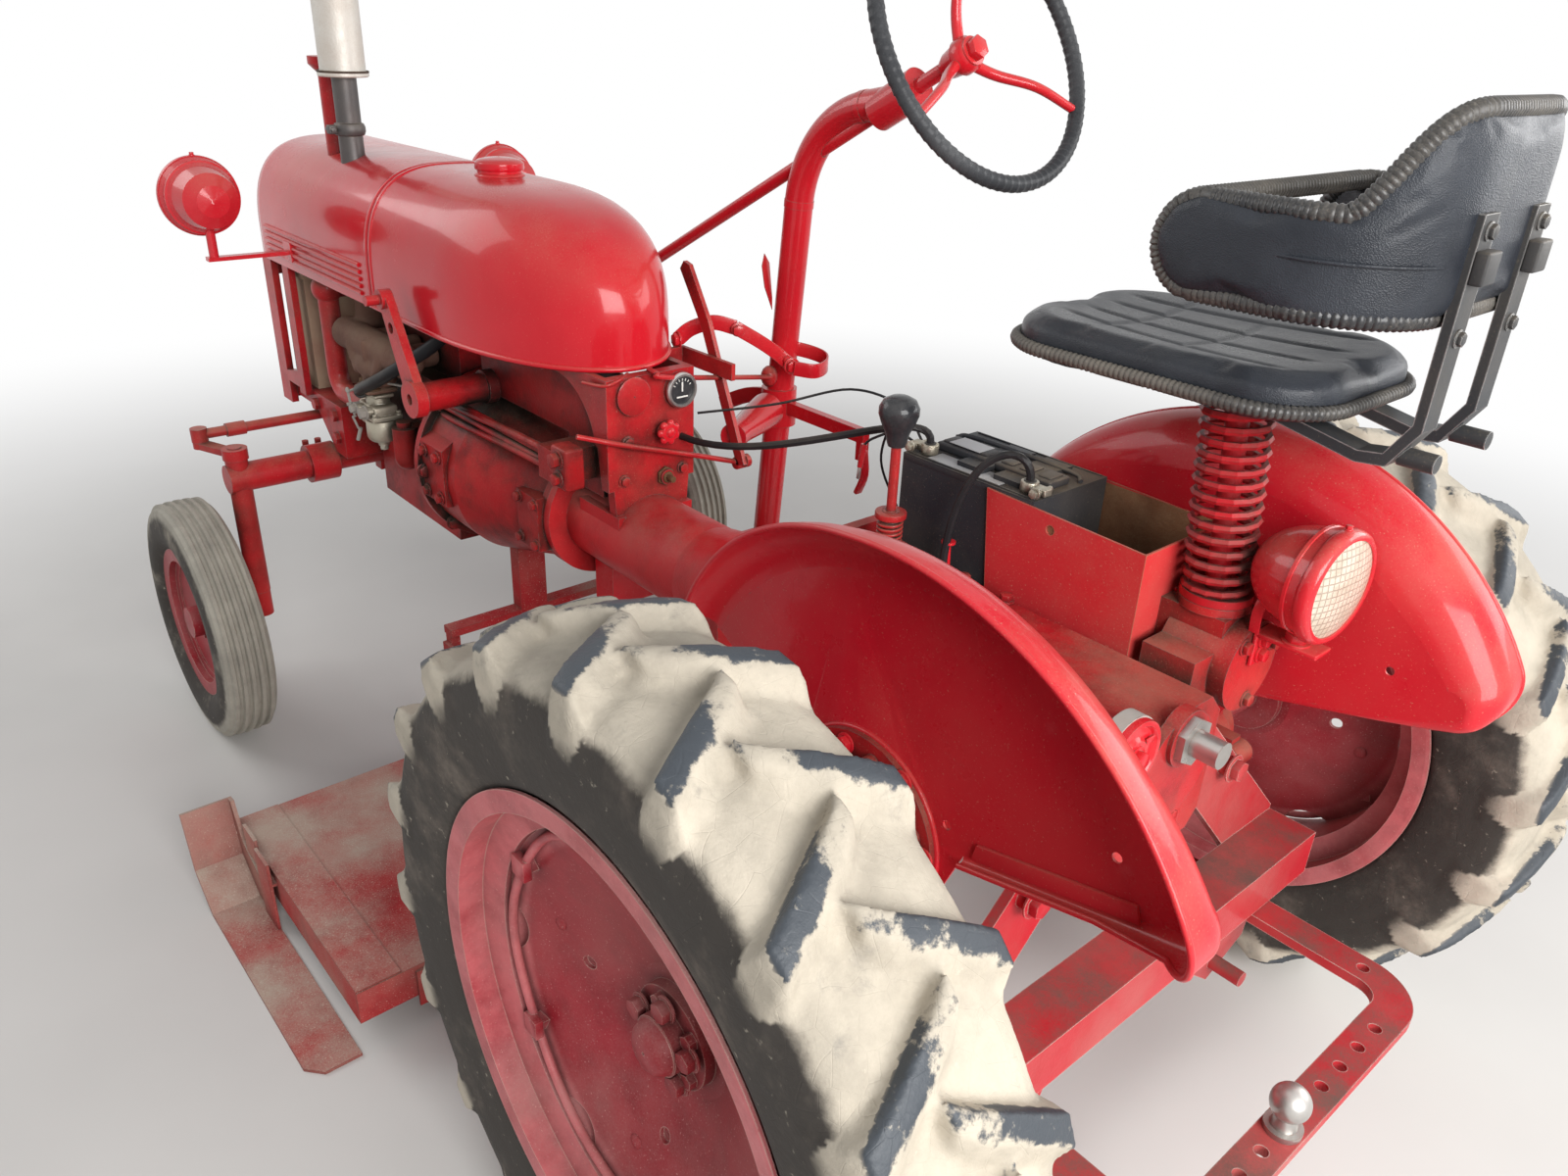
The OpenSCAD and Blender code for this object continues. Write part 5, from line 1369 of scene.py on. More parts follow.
@dataclass
class Levers(Assembly):
    """Straps, rods and knobs beside the steering post."""

    def build(self, frame: dict) -> None:
        """Builds the small controls."""
        arc = spots((872, -28, 992), (856, -46, 1012), (830, -74, 1024), (806, -104, 1016))
        cross = spots((806, -104, 1016), (790, -148, 988), (782, -184, 962), (768, -204, 940))
        loop = spots((836, -214, 962), (812, -262, 954), (772, -282, 946), (738, -262, 942),
                     (724, -222, 940), (748, -192, 944))
        parts = [
            ribbon("strap_arc", smooth_line(arc, 6), UP, 0.026, 0.004),
            ribbon("strap_cross", smooth_line(cross, 5), UP, 0.024, 0.004),
            ribbon("strap_loop", smooth_line(loop, 6), UP, 0.026, 0.0035),
            hexagon("bolt", spot(868, -26, 992), Vector((0.2, 1, 0)), 0.024, 0.008),
            hexagon("bolt", spot(800, -104, 1014), Vector((-1, 0.6, 0)), 0.02, 0.012),
            hexagon("bolt", spot(764, -200, 944), Vector((-1, 0.4, 0)), 0.024, 0.01),
            bar("pin", spot(768, -196, 952), spot(838, -216, 962), 0.009, 12),
        ]
        self.dress(join("lever_straps", parts), Finish.POST)
        rods = [tube("rod",
                     smooth_line(spots((750, 255, 903), (725, 178, 880), (724, 62, 843), (716, -52, 806)),
                                 6), 0.0045, 10),
                tube("rod",
                     smooth_line(spots((742, 124, 993), (726, 118, 988), (728, 96, 978),
                                       (812, -198, 912)), 6), 0.0045, 10),
                tube("hook",
                     smooth_line(spots((762, 150, 984), (742, 176, 984), (742, 206, 978),
                                       (790, 216, 974)), 6), 0.003, 8),
                bar("bush", spot(716, -36, 808), spot(716, -66, 808), 0.011, 14),
                ball("boss", spot(820, -196, 912), (0.016, 0.016, 0.02), 14)]
        self.dress(join("link_rods", rods), Finish.CHASSIS)
        hub = loft("pivot_hub", [ring_at(spot(820, -192, 848), Vector((-0.5, 0.86, 0)), 0.033, 20),
                                 ring_at(spot(796, -150, 848), Vector((-0.5, 0.86, 0)), 0.03, 20),
                                 ring_at(spot(752, -74, 848), Vector((-0.5, 0.86, 0)), 0.022, 20),
                                 ring_at(spot(736, -47, 848), Vector((-0.5, 0.86, 0)), 0.024, 20)])
        arm = spots((1020, -244, 800), (940, -244, 838), (868, -244, 856))
        foot = spots((604, -235, 826), (598, -235, 780), (612, -235, 742))
        parts = [smooth(hub), ribbon("arm", smooth_line(arm, 4), UP, 0.03, 0.01),
                 ribbon("foot", smooth_line(foot, 4), LEFT, 0.016, 0.008)]
        self.dress(join("pivot_arm", parts), Finish.POST)
        self.torn_sleeve()
        self.knob()
        self.pin()

    def torn_sleeve(self) -> None:
        """The post's torn sheet sleeve: a near-black sheet of painted shade in its gap, a bent flap and a
        curved guard behind.
        """
        x, y = 836.0, -235.0
        # a thin near-black sheet set in the gap: painted shade of the post's inside
        gap = [spot(x - 27, y + dy, z)
               for dy, z in ((16, 1058), (20, 1104), (14, 1128), (6, 1120), (2, 1092), (4, 1064))]
        dark = plate("post_gap_shade", gap, Vector((-0.0008, 0.0004, 0)))
        self.dress(dark, Finish.SEAM)
        flap = spots((x - 26, y - 2, 1030), (x - 34, y + 2, 1052), (x - 44, y + 3, 1078),
                     (x - 36, y + 2, 1098), (x - 27, y + 1, 1112), (x - 24, y, 1070))
        guard = spots((x - 6, y + 30, 1030), (x - 2, y + 46, 1072), (x + 2, y + 50, 1108),
                      (x + 8, y + 40, 1128), (x + 10, y + 26, 1110), (x + 2, y + 24, 1050))
        parts = [bevelled(plate("flap", flap, Vector((0, 0.0025, 0))), 0.0006, 2),
                 bevelled(plate("guard", guard, Vector((-0.002, 0, 0))), 0.0006, 2)]
        self.dress(join("torn_sleeve", parts), Finish.POST)

    def knob(self) -> None:
        """The gear lever's fluted black knob, over the plain ball."""
        profile = [(0, 36), (13, 34.5), (24, 29), (30, 18), (30, 8), (25, -6), (18, -20), (15, -34),
                   (13, -40), (0.5, -40)]
        line = [spot(346 + r, -40, 987 + z) for r, z in profile]
        knob = spin(outline("gear_knob", line), spot(346, -40, 987), UP, 40)
        self.dress(smooth(knob, 60), Finish.KNOB, Slot.BATTERY)
        coil = [spot(346 + 18 * math.cos(a), -40 + 18 * math.sin(a), 786 + 44 * k / 90)
                for k in range(91) for a in [k * 2 * math.pi / 15]]
        ringed = [tube("coil", coil, 0.0026, 8),
                  bar("cup", spot(346, -40, 834), spot(346, -40, 844), 0.024, 24)]
        self.dress(join("gear_spring", ringed), Finish.CHASSIS)

    def pin(self) -> None:
        """A thin pin with a flat head that stands on the gearbox lid."""
        parts = [bar("stem", spot(262, -84, 764), spot(262, -80, 812), 0.004, 10),
                 bar("head", spot(262, -80, 811), spot(262, -80, 815), 0.011, 16)]
        self.dress(join("dip_pin", parts), Finish.POST)


def even(line: Sequence[Vector], step: float) -> list[Vector]:
    """Points at even steps along a closed line."""
    points: list[Vector] = []
    for a, b in zip(line, [*line[1:], line[0]]):
        count = max(1, round((b - a).length / step))
        points += [a.lerp(b, k / count) for k in range(count)]
    return points


def ring_at(centre: Vector, way: Vector, radius: float, count: int) -> list[Vector]:
    """Points on a circle across a direction."""
    turn = way.normalized().to_track_quat("Z", "Y")
    return [centre + turn @ Vector((radius * math.cos(k * 2 * math.pi / count),
                                    radius * math.sin(k * 2 * math.pi / count), 0)) for k in range(count)]


def ribbon(
    name: str, line: Sequence[Vector], across: Vector, width: float, thick: float
) -> Piece:
    """A flat bar that follows a line.

    Args:
        name: Name of the new piece.
        line: The bar's middle.
        across: The way its width lies.
        width: Its width, in metres.
        thick: Its thickness.

    Returns:
        The new piece.
    """
    sections = []
    for k, point in enumerate(line):
        run = (line[min(k + 1, len(line) - 1)] - line[max(k - 1, 0)]).normalized()
        side = (across - run * across.dot(run)).normalized() * width / 2
        out = run.cross(side).normalized() * thick / 2
        sections.append([point + side + out, point - side + out, point - side - out, point + side - out])
    return bevelled(loft(name, sections), thick * 0.2, 2)


@dataclass
class Panel(Assembly):
    """Gauge, blank plug, star knob and switch on the instrument panel."""

    face_x: float = 739.0

    def build(self, frame: dict) -> None:
        """Builds the panel's fittings."""
        x = self.face_x
        gauge = [self.disc("bezel", (x - 8, 67, 952),
                           [(29.5, 0), (29.5, 3), (27, 6), (24, 6), (23, 3), (23, 0)])]
        self.dress(join("gauge_bezel", gauge), Finish.STEEL, Slot.STEEL)
        dial = bar("gauge_dial", spot(x - 8, 67, 952), spot(x - 10, 67, 952), 0.0235, 40)
        self.dress(dial, Finish.KNOB, Slot.BATTERY)
        marks = [block("needle", spot(x - 11.4, 65.6, 950), spot(x - 10.2, 68.4, 966), 0.0003)]
        for k in range(7):
            a = math.radians(30 + k * 20)
            middle = spot(x - 10.7, 67 + 18 * math.cos(a), 952 + 18 * math.sin(a))
            marks.append(bar("mark", middle - Vector((0, math.cos(a), math.sin(a))) * 0.002,
                             middle + Vector((0, math.cos(a), math.sin(a))) * 0.002, 0.0008, 6))
        marks.append(block("bar", spot(x - 11.2, 56, 940), spot(x - 10.2, 78, 942.5), 0.0003))
        self.dress(join("gauge_marks", marks), Finish.WHITE, Slot.STEEL)
        star = []
        for k in range(7):
            a = k * 2 * math.pi / 7
            star.append(ball("lobe", spot(x - 20, 101 + 15 * math.cos(a), 890 + 15 * math.sin(a)),
                             (0.006, 0.0068, 0.0068), 14))
        star.append(bar("body", spot(x - 14, 101, 890), spot(x - 26, 101, 890), 0.0155, 24))
        star.append(ball("cap", spot(x - 26, 101, 890), (0.004, 0.008, 0.008), 14))
        self.dress(join("star_knob", star), Finish.POST)
        switch = [bar("nut", spot(x - 1, 96, 808), spot(x - 5, 96, 808), 0.0165, 6),
                  bar("thread", spot(x - 5, 96, 808), spot(x - 12, 96, 808), 0.0095, 18),
                  bar("button", spot(x - 12, 96, 808), spot(x - 26, 96, 808), 0.0055, 14)]
        self.dress(join("push_switch", switch), Finish.BROWN, Slot.STEEL)
        plug = self.disc("blank_plug", (x - 4, 157, 955), [(31.5, 0), (31.5, 2), (28, 3.5), (1, 3.5), (1, 0)])
        bolts = [hexagon("bolt", spot(x, y, z), BACK, 0.017, 0.006)
                 for y, z in ((176, 815), (60, 815), (168, 880))]
        self.dress(join("panel_plug", [plug, *bolts]), Finish.CHASSIS)

    def disc(self, name: str, at: tuple[float, float, float],
             profile: Sequence[tuple[float, float]]) -> Piece:
        """A turned ring that faces backwards."""
        line = [spot(at[0] - depth, at[1] + r, at[2]) for r, depth in profile]
        return smooth(spin(outline(name, line), spot(*at), AHEAD, ROUND_STEPS))


@dataclass
class BatteryTop(Assembly):
    """Vent strips, label, clamps and wires on the battery, and its box's hardware."""

    lid_z: float = 908.0

    def build(self, frame: dict) -> None:
        """Builds what lies on the battery."""
        z = self.lid_z
        strips = []
        for x0, x1 in ((278, 376), (158, 262)):
            strips.append(block("strip", spot(x0, -212, z), spot(x1, -164, z + 13), 0.003))
            for k in range(3):
                middle = x0 + (x1 - x0) * (k + 0.5) / 3
                strips.append(block("cap", spot(middle - 11, -204, z + 12),
                                    spot(middle + 11, -172, z + 16), 0.002))
        rim = [block("lip", spot(144, -116, z - 12), spot(397, -112.4, z - 2), 0.001),
               block("rib", spot(150, -120, z), spot(391, -117, z + 2), 0.0008),
               block("rib", spot(150, -282, z), spot(391, -279, z + 2), 0.0008)]
        handle = tube("handle",
                      smooth_line(spots((150, -228, z + 3), (180, -238, z + 8), (360, -238, z + 8),
                                        (392, -228, z + 3)), 8), 0.004, 8)
        self.dress(join("battery_lid", [*strips, *rim, handle]), Finish.BATTERY, Slot.BATTERY)
        label = [block("label", spot(216, -156, z - 0.2), spot(356, -118, z + 0.7), 0.0002),
                 block("label", spot(296, -206, z + 15.8), spot(356, -170, z + 16.6), 0.0002)]
        self.dress(join("blank_labels", label), Finish.LABEL, Slot.BATTERY)
        clamps = []
        for x, way in ((367, 1), (174, -1)):
            clamps.append(bar("ring", spot(x, -138.5, z + 1), spot(x, -138.5, z + 17), 0.0135, 20))
            clamps.append(block("jaw", spot(x + way * 8, -147, z + 3), spot(x + way * 34, -130, z + 14),
                                0.002))
            clamps.append(bar("bolt", spot(x + way * 24, -156, z + 9), spot(x + way * 24, -121, z + 9),
                              0.0042, 12))
            clamps.append(hexagon("nut", spot(x + way * 24, -121, z + 9), LEFT, 0.014, 0.006))
        self.dress(join("battery_clamps", clamps), Finish.ALLOY, Slot.STEEL)
        self.wires(z)
        self.box()

    def wires(self, z: float) -> None:
        """Thin wires from the posts, one with a red sleeve that ends loose."""
        grey = spots((392, -142, z + 6), (440, -140, z + 14), (486, -136, z - 8), (503, -132, 884))
        dark = spots((392, -150, z + 8), (470, -180, z + 40), (560, -150, 960), (640, -60, 930),
                     (736, 30, 905))
        low = spots((470, -160, z + 30), (500, -172, 850), (470, -190, 770), (440, -205, 700))
        lines = [tube("wire", smooth_line(w, 8), 0.0022, 8) for w in (grey, dark, low)]
        self.dress(join("thin_wires", lines), Finish.RUBBER, Slot.CABLE)
        sleeve = tube("wire_sleeve",
                      smooth_line(spots((502, -132, 886), (504, -130, 866), (506, -129, 846)), 4),
                      lambda t: 0.0055 - 0.001 * t, 10)
        self.dress(sleeve, Finish.POST)
        bullet = bar("wire_tip", spot(506, -129, 847), spot(507, -128, 826), 0.0032, 10)
        self.dress(bullet, Finish.STEEL, Slot.STEEL)

    def box(self) -> None:
        """Rust inside the box, and the hook bolt with its wing nut behind it."""
        rust = [block("rust", spot(-40.8, -286.9, 741), spot(206, -286.2, 899), 0.0002),
                block("rust", spot(-41, -287, 743), spot(-40.2, -111.2, 895), 0.0002),
                block("rust", spot(-40, -111.9, 744), spot(206, -111.2, 893), 0.0002),
                block("rust", spot(-40, -286, 743), spot(140, -112, 743.8), 0.0002)]
        self.dress(join("box_rust", rust), Finish.RUST)
        parts = [block("clip", spot(-49, -222, 798), spot(-44.2, -194, 828), 0.002),
                 hexagon("bolt", spot(-48.5, -206, 815), BACK, 0.018, 0.007),
                 hexagon("bolt", spot(-44, -236, 772), BACK, 0.016, 0.006),
                 tube("wire", smooth_line(spots((-50, -206, 812), (-54, -232, 806), (-62, -256, 770)), 5),
                      0.002, 8)]
        self.dress(join("box_clip", parts), Finish.POST)
        hook = [bar("rod", spot(-56, -206, 806), spot(-56, -214, 702), 0.0036, 10),
                block("wing", spot(-59, -232, 722), spot(-53, -192, 729), 0.002),
                bar("nut", spot(-56, -212, 716), spot(-56, -211.5, 734), 0.009, 14),
                block("wing", spot(-66, -215, 716), spot(-47, -209, 722), 0.002)]
        self.dress(join("hook_bolt", hook), Finish.IRON, Slot.IRON)


@dataclass
class RearTrim(Assembly):
    """Bolts, drum, bent cable and lamp bracket at the tractor's back."""

    def build(self, frame: dict) -> None:
        """Builds the small pieces round the gearbox."""
        bolts = [hexagon("bolt", spot(-165, -212 + 52 * math.cos(a), 752 + 52 * math.sin(a)), BACK, 0.019,
                         0.008) for a in (0.9, 2.7, 4.6)]
        bolts += [hexagon("bolt", spot(-186, 66 * math.cos(a), 672 + 66 * math.sin(a)), BACK, 0.02, 0.009)
                  for a in (3.4, 4.3, 5.2, 6.0)]
        bolts += [hexagon("bolt", spot(262 + x, -76, 765), UP, 0.02, 0.01) for x in (-120, -40, 60)]
        bolts += [hexagon("bolt", spot(68, -96, 676), Vector((-0.3, 0.2, 1)), 0.026, 0.014)]
        self.dress(join("gearbox_bolts", bolts), Finish.CHASSIS)
        big = []
        for y, z, side in ((140, 650, 1), (220, 590, 1), (140, 650, -1), (220, 590, -1)):
            big.append(hexagon("bolt", spot(-172, side * y, z), BACK, 0.032, 0.014))
            big.append(bar("washer", spot(-172, side * y, z), spot(-175, side * y, z), 0.021, 24))
        self.dress(join("beam_bolts", big), Finish.BEAM, Slot.WORN)
        fender = []
        for side in (1, -1):
            for x, z in ((62, 724), (-33, 722), (-76, 639)):
                fender.append(hexagon("bolt", spot(x, side * 311, z), Vector((0, side, 0)), 0.022, 0.009))
        self.dress(join("flange_bolts", fender), Finish.FENDER)
        self.drum()
        self.cable()
        self.lamp_arm()

    def drum(self) -> None:
        """The slotted drum with its grey band at the gearbox's left corner."""
        centre = (-166.0, 106.0, 758.0)

        def turned(name: str, profile: Sequence[tuple[float, float]]) -> Piece:
            """A round shell about the drum's axis."""
            line = [spot(centre[0] - depth, centre[1] + r, centre[2]) for r, depth in profile]
            return smooth(spin(outline(name, line), spot(*centre), AHEAD, ROUND_STEPS), 35)

        face = turned("drum_face",
                      [(8, 34), (22, 34), (26, 30), (38, 30), (42, 35), (48, 35), (49, 30), (47, 4),
                       (8, 4)])
        parts = [face, hexagon("nut", spot(-200, 106, 758), BACK, 0.026, 0.01)]
        for k in range(3):
            a = math.radians(k * 120 + 30)
            parts.append(block("slot", spot(-200.6, 106 + 30 * math.cos(a) - 8, 758 + 30 * math.sin(a) - 4),
                               spot(-198, 106 + 30 * math.cos(a) + 8, 758 + 30 * math.sin(a) + 4), 0.001))
        self.dress(join("drum_face", parts), Finish.POST)
        band = turned("drum_band", [(48.4, 6), (50.5, 6), (50.5, 26), (48.4, 26)])
        self.dress(band, Finish.DRUM, Slot.STEEL)

    def cable(self) -> None:
        """The bent cable: painted sheath, black end, tape and a grimy fitting."""
        start = spots((150, -100, 668), (102, -92, 682), (27, -90, 703), (-35, -95, 703), (-66, -98, 697))
        end = spots((-66, -98, 697), (-94, -104, 684), (-112, -107, 656), (-120, -110, 618),
                    (-124, -112, 586))
        sheath = tube("cable_sheath", smooth_line(start, 8), 0.0072, 12)
        self.dress(sheath, Finish.CHASSIS)
        black = tube("cable_end", smooth_line(end, 8), 0.0078, 12)
        wraps = [bar("tape", spot(-122 - k * 0.6, -111, 600 - k * 5),
                     spot(-122 - k * 0.6, -111, 595.4 - k * 5), 0.0105, 16) for k in range(4)]
        self.dress(join("cable_end", [black, *wraps]), Finish.RUBBER, Slot.CABLE)
        fitting = [bar("body", spot(-125, -112, 588), spot(-132, -112, 540), 0.0165, 18),
                   bar("collar", spot(-126, -112, 574), spot(-127, -112, 566), 0.0205, 18),
                   bar("stub", spot(-130, -118, 556), spot(-130, -142, 552), 0.009, 14),
                   hexagon("nut", spot(-132, -112, 548), Vector((-0.1, 0, -1)), 0.03, 0.014)]
        self.dress(join("cable_fitting", fitting), Finish.ALLOY, Slot.STEEL)

    def lamp_arm(self) -> None:
        """Clip lever with a curled end and two bolts on the work lamp's arm."""
        lever = spots((-168, -190, 812), (-168, -188, 842), (-170, -200, 872), (-172, -224, 894),
                      (-174, -240, 894), (-176, -240, 882), (-175, -230, 878))
        parts = [ribbon("clip_lever", smooth_line(lever, 5), AHEAD, 0.014, 0.003),
                 hexagon("bolt", spot(-172, -214, 796), BACK, 0.02, 0.008),
                 hexagon("bolt", spot(-172, -214, 774), BACK, 0.02, 0.008)]
        self.dress(join("lamp_clip", parts), Finish.LAMP)


def glass_material() -> bpy.types.Material:
    """Dusty lamp glass with its moulded squares."""
    made, board, shader = surface("lamp_glass")
    place = board.place()
    grid = board.add("ShaderNodeTexBrick")
    grid.offset = 0
    board.feed(grid.inputs["Vector"], board.add("ShaderNodeUVMap").outputs[0])
    grid.inputs["Scale"].default_value = 1
    grid.inputs["Brick Width"].default_value = 0.07
    grid.inputs["Row Height"].default_value = 0.07
    grid.inputs["Mortar Size"].default_value = 0.008
    grid.inputs["Mortar Smooth"].default_value = 0.5
    cloud = board.noise(place, 40, 4, 0.6)
    colour = board.mix(board.ramp(cloud, 0.35, 0.7), (0.60, 0.52, 0.42), (0.46, 0.38, 0.29))
    colour = board.mix(board.times(grid.outputs["Fac"], 0.7), colour, (0.28, 0.2, 0.15))
    board.feed(shader.inputs["Base Color"], colour)
    board.feed(shader.inputs["Roughness"], board.ramp(cloud, 0.3, 0.7, 0.22, 0.5))
    shader.inputs["Coat Weight"].default_value = 0.4
    board.bump(shader, grid.outputs["Fac"], strength=0.6, depth=0.002, invert=True)
    return made


@dataclass
class Lamps(Assembly):
    """Glass and bezel on the two head lamps and the work lamp."""

    places: dict[str, tuple[tuple[float, float, float], float]] = field(
        default_factory=lambda: {
            "left": ((1799.0, 455.0, 1140.0), 0.0),
            "right": ((1799.0, -205.0, 1140.0), 0.0),
            "work": ((-222.0, -215.0, 900.0), 176.0),
        }
    )

    def build(self, frame: dict) -> None:
        """Puts a glass and a bezel on each lamp."""
        glass = self.book.special("lamp_glass", glass_material)
        for name, (at, turn) in self.places.items():
            centre = spot(*at)
            way = Vector((math.cos(math.radians(turn)), math.sin(math.radians(turn)), 0))
            side = way.cross(UP)

            def point(r: float, x: float) -> Vector:
                """A point of a lamp's outline: radius and distance forwards."""
                return centre + way * x * MM + side * r * MM

            lens = spin(outline(f"glass_{name}",
                                [point(r, x) for r, x in ((66, 26.0), (66, 28.4), (58, 31.4), (44, 35.0),
                                                          (26, 37.8), (0.01, 38.6), (0.01, 26.0))]),
                        centre, way, 48)
            self.map_front(lens, centre, way, side)
            self.dress(smooth(lens, 50), glass, Slot.ALLOY)
            ring = spin(outline(f"bezel_{name}",
                                [point(r, x) for r, x in ((64, 28.0), (65, 31.0), (69, 32.0), (74, 28.5),
                                                          (76.4, 22.0), (76.4, 14.0), (75.2, 12.0),
                                                          (72, 14))]), centre, way, 64)
            screw = hexagon("screw", centre + way * 0.018 + Vector((0, 0, 0.0755)), UP, 0.009, 0.005)
            self.dress(join(f"bezel_{name}", [smooth(ring, 50), screw]), Finish.LAMP)
            if name == "work":
                shell = spin(outline("shell",
                                     [point(r, x) for r, x in ((0.5, -84), (14, -82.5), (27, -78),
                                                               (39, -70), (49, -59), (57, -46), (63, -31),
                                                               (67.5, -15), (70, -8), (72.5, -7),
                                                               (72.5, -3), (71, -2), (73, 8), (74.5, 13),
                                                               (72, 24), (60, 22))]), centre, way, 64)
                parts = [smooth(shell, 35),
                         bar("stem", spot(-214, -213, 810), spot(-216, -213, 838), 0.0105, 20),
                         ball("foot", spot(-216, -213, 832), (0.017, 0.017, 0.012), 16),
                         hexagon("nut", spot(-214, -213, 811), UP, 0.03, 0.012),
                         block("arm", spot(-250, -236, 804), spot(-169, -196, 811), 0.002),
                         block("plate", spot(-171, -236, 760), spot(-165.4, -196, 811), 0.002)]
                self.dress(join("work_lamp_body", parts), Finish.LAMP, Slot.RED, ["work_lamp"])

    def map_front(self, obj: Piece, centre: Vector, way: Vector, side: Vector) -> None:
        """Lays the glass's UV map flat across its front."""
        layer = obj.data.uv_layers.new(name="front") if not obj.data.uv_layers else obj.data.uv_layers[0]
        top = way.cross(side)
        for loop in obj.data.loops:
            away = obj.data.vertices[loop.vertex_index].co - centre
            layer.data[loop.index].uv = (0.5 + away.dot(side) / 0.132, 0.5 + away.dot(top) / 0.132)


@dataclass
class EngineTrim(Assembly):
    """Cast manifold, carburettor, hose and pipes on the engine's left."""

    front_x: float = 1759.0
    line_y: float = 259.0

    def build(self, frame: dict) -> None:
        """Builds the engine's dressing."""
        self.manifold()
        self.carburettor()
        self.hose()
        self.bolts()

    def manifold(self) -> None:
        """A lumpy casting over the plain pipes, made one by its skin."""
        x, y = self.front_x, self.line_y
        parts = [bar("log", spot(x - 398, y, 880), spot(x - 122, y, 880), 0.033, 24),
                 ball("end", spot(x - 398, y, 880), (0.036, 0.034, 0.034), 20),
                 ball("end", spot(x - 122, y, 880), (0.036, 0.034, 0.034), 20),
                 ball("belly", spot(x - 262, y + 8, 842), (0.084, 0.03, 0.034), 24),
                 bar("leg", spot(x - 334, y + 8, 876), spot(x - 300, y + 10, 826), 0.026, 20),
                 bar("leg", spot(x - 186, y + 8, 876), spot(x - 222, y + 10, 826), 0.026, 20),
                 bar("neck", spot(x - 260, y + 10, 850), spot(x - 260, y + 10, 801), 0.025, 20),
                 bar("rise", spot(x - 150, 224, 900), spot(x - 150, 217, 968), 0.028, 24),
                 block("rib", spot(x - 282, y - 2, 862), spot(x - 268, y + 38, 902), 0.004),
                 block("pad", spot(x - 297, y - 22, 792.4), spot(x - 223, y + 44, 803), 0.004)]
        for run in (-372, -302, -220, -150):
            parts.append(bar("port", spot(x + run, 188, 882), spot(x + run, y, 880), 0.024, 20))
        skin = join("cast_manifold", parts)
        melt(skin, voxel=0.0042, softness=0.5, rounds=6)
        self.dress(skin, Finish.IRON, Slot.IRON, ["manifold"])
        nuts = [hexagon("nut", spot(x - 260 + dx, y + 10 + dy, 803), UP, 0.02, 0.01)
                for dx, dy in ((-26, 14), (26, 14))]
        nuts += [hexagon("nut", spot(x + run + 36, 226, 884), LEFT, 0.022, 0.012) for run in (-372, -220)]
        self.dress(join("manifold_nuts", nuts), Finish.BROWN, Slot.IRON)

    def carburettor(self) -> None:
        """Body, float bowl, fuel filter and linkage in oily alloy and brass."""
        x, y = self.front_x, self.line_y + 10
        parts = [block("body", spot(x - 300, y - 24, 722), spot(x - 222, y + 26, 768), 0.005),
                 block("joint", spot(x - 307, y - 30, 739), spot(x - 215, y + 32, 749), 0.002),
                 bar("bowl", spot(x - 276, y + 4, 738), spot(x - 276, y + 4, 700), 0.031, 28),
                 ball("bowl_end", spot(x - 276, y + 4, 702), (0.03, 0.03, 0.014), 20),
                 bar("plug", spot(x - 276, y + 4, 694), spot(x - 276, y + 4, 684), 0.012, 16),
                 hexagon("drain", spot(x - 276, y + 4, 684), Vector((0, 0, -1)), 0.018, 0.01),
                 bar("barrel", spot(x - 260, y, 716), spot(x - 260, y, 786), 0.0235, 24),
                 block("flange", spot(x - 297, y - 20, 784), spot(x - 223, y + 20, 791.6), 0.003),
                 bar("horn", spot(x - 222, y, 745), spot(x - 200, y, 745), 0.022, 24),
                 bar("filter", spot(x - 284, y, 758), spot(x - 284, y + 38, 758), 0.011, 18),
                 bar("lug", spot(x - 244, y, 758), spot(x - 244, y + 42, 758), 0.008, 14)]
        for dx, dy in ((-300, 26), (-222, 26), (-300, -24)):
            parts.append(hexagon("screw", spot(x + dx, y + dy, 748), UP, 0.011, 0.007))
        self.dress(join("float_carburettor", parts), Finish.ALLOY, Slot.ALLOY, ["carburettor"])
        links = [ribbon("lever",
                        spots((x - 216, y + 34, 730), (x - 206, y + 37, 756), (x - 202, y + 38, 782)),
                        AHEAD, 0.01, 0.0025),
                 ribbon("lever", spots((x - 214, y + 30, 704), (x - 200, y + 34, 728)), AHEAD, 0.009,
                        0.0025),
                 bar("pin", spot(x - 216, y - 20, 756), spot(x - 204, y + 44, 756), 0.0035, 10),
                 bar("needle", spot(x - 200, y + 20, 700), spot(x - 192, y + 26, 672), 0.004, 10),
                 ball("eye", spot(x - 202, y + 38, 784), (0.007, 0.004, 0.007), 12),
                 hexagon("cap", spot(x - 244, y + 42, 758), LEFT, 0.018, 0.01),
                 hexagon("cap", spot(x - 284, y + 38, 758), LEFT, 0.024, 0.012),
                 tube("rod",
                      smooth_line(spots((x - 202, y + 36, 782), (x - 300, y + 10, 820),
                                        (x - 480, y - 40, 830)), 6), 0.0025, 8)]
        self.dress(join("carburettor_links", links), Finish.DRUM, Slot.STEEL)

    def hose(self) -> None:
        """The thick black hose that rises behind the lift arm, and the thin loose line."""
        run = spots((1530, 292, 786), (1500, 300, 800), (1420, 296, 836), (1340, 280, 880),
                    (1268, 246, 930), (1240, 206, 970), (1236, 178, 984))
        hose = tube("breather_hose", smooth_line(run, 8), 0.0125, 16)
        clips = [bar("clip", spot(1520, 294, 789), spot(1512, 297, 793), 0.0145, 18)]
        self.dress(join("breather_hose", [hose, *clips]), Finish.RUBBER, Slot.CABLE)

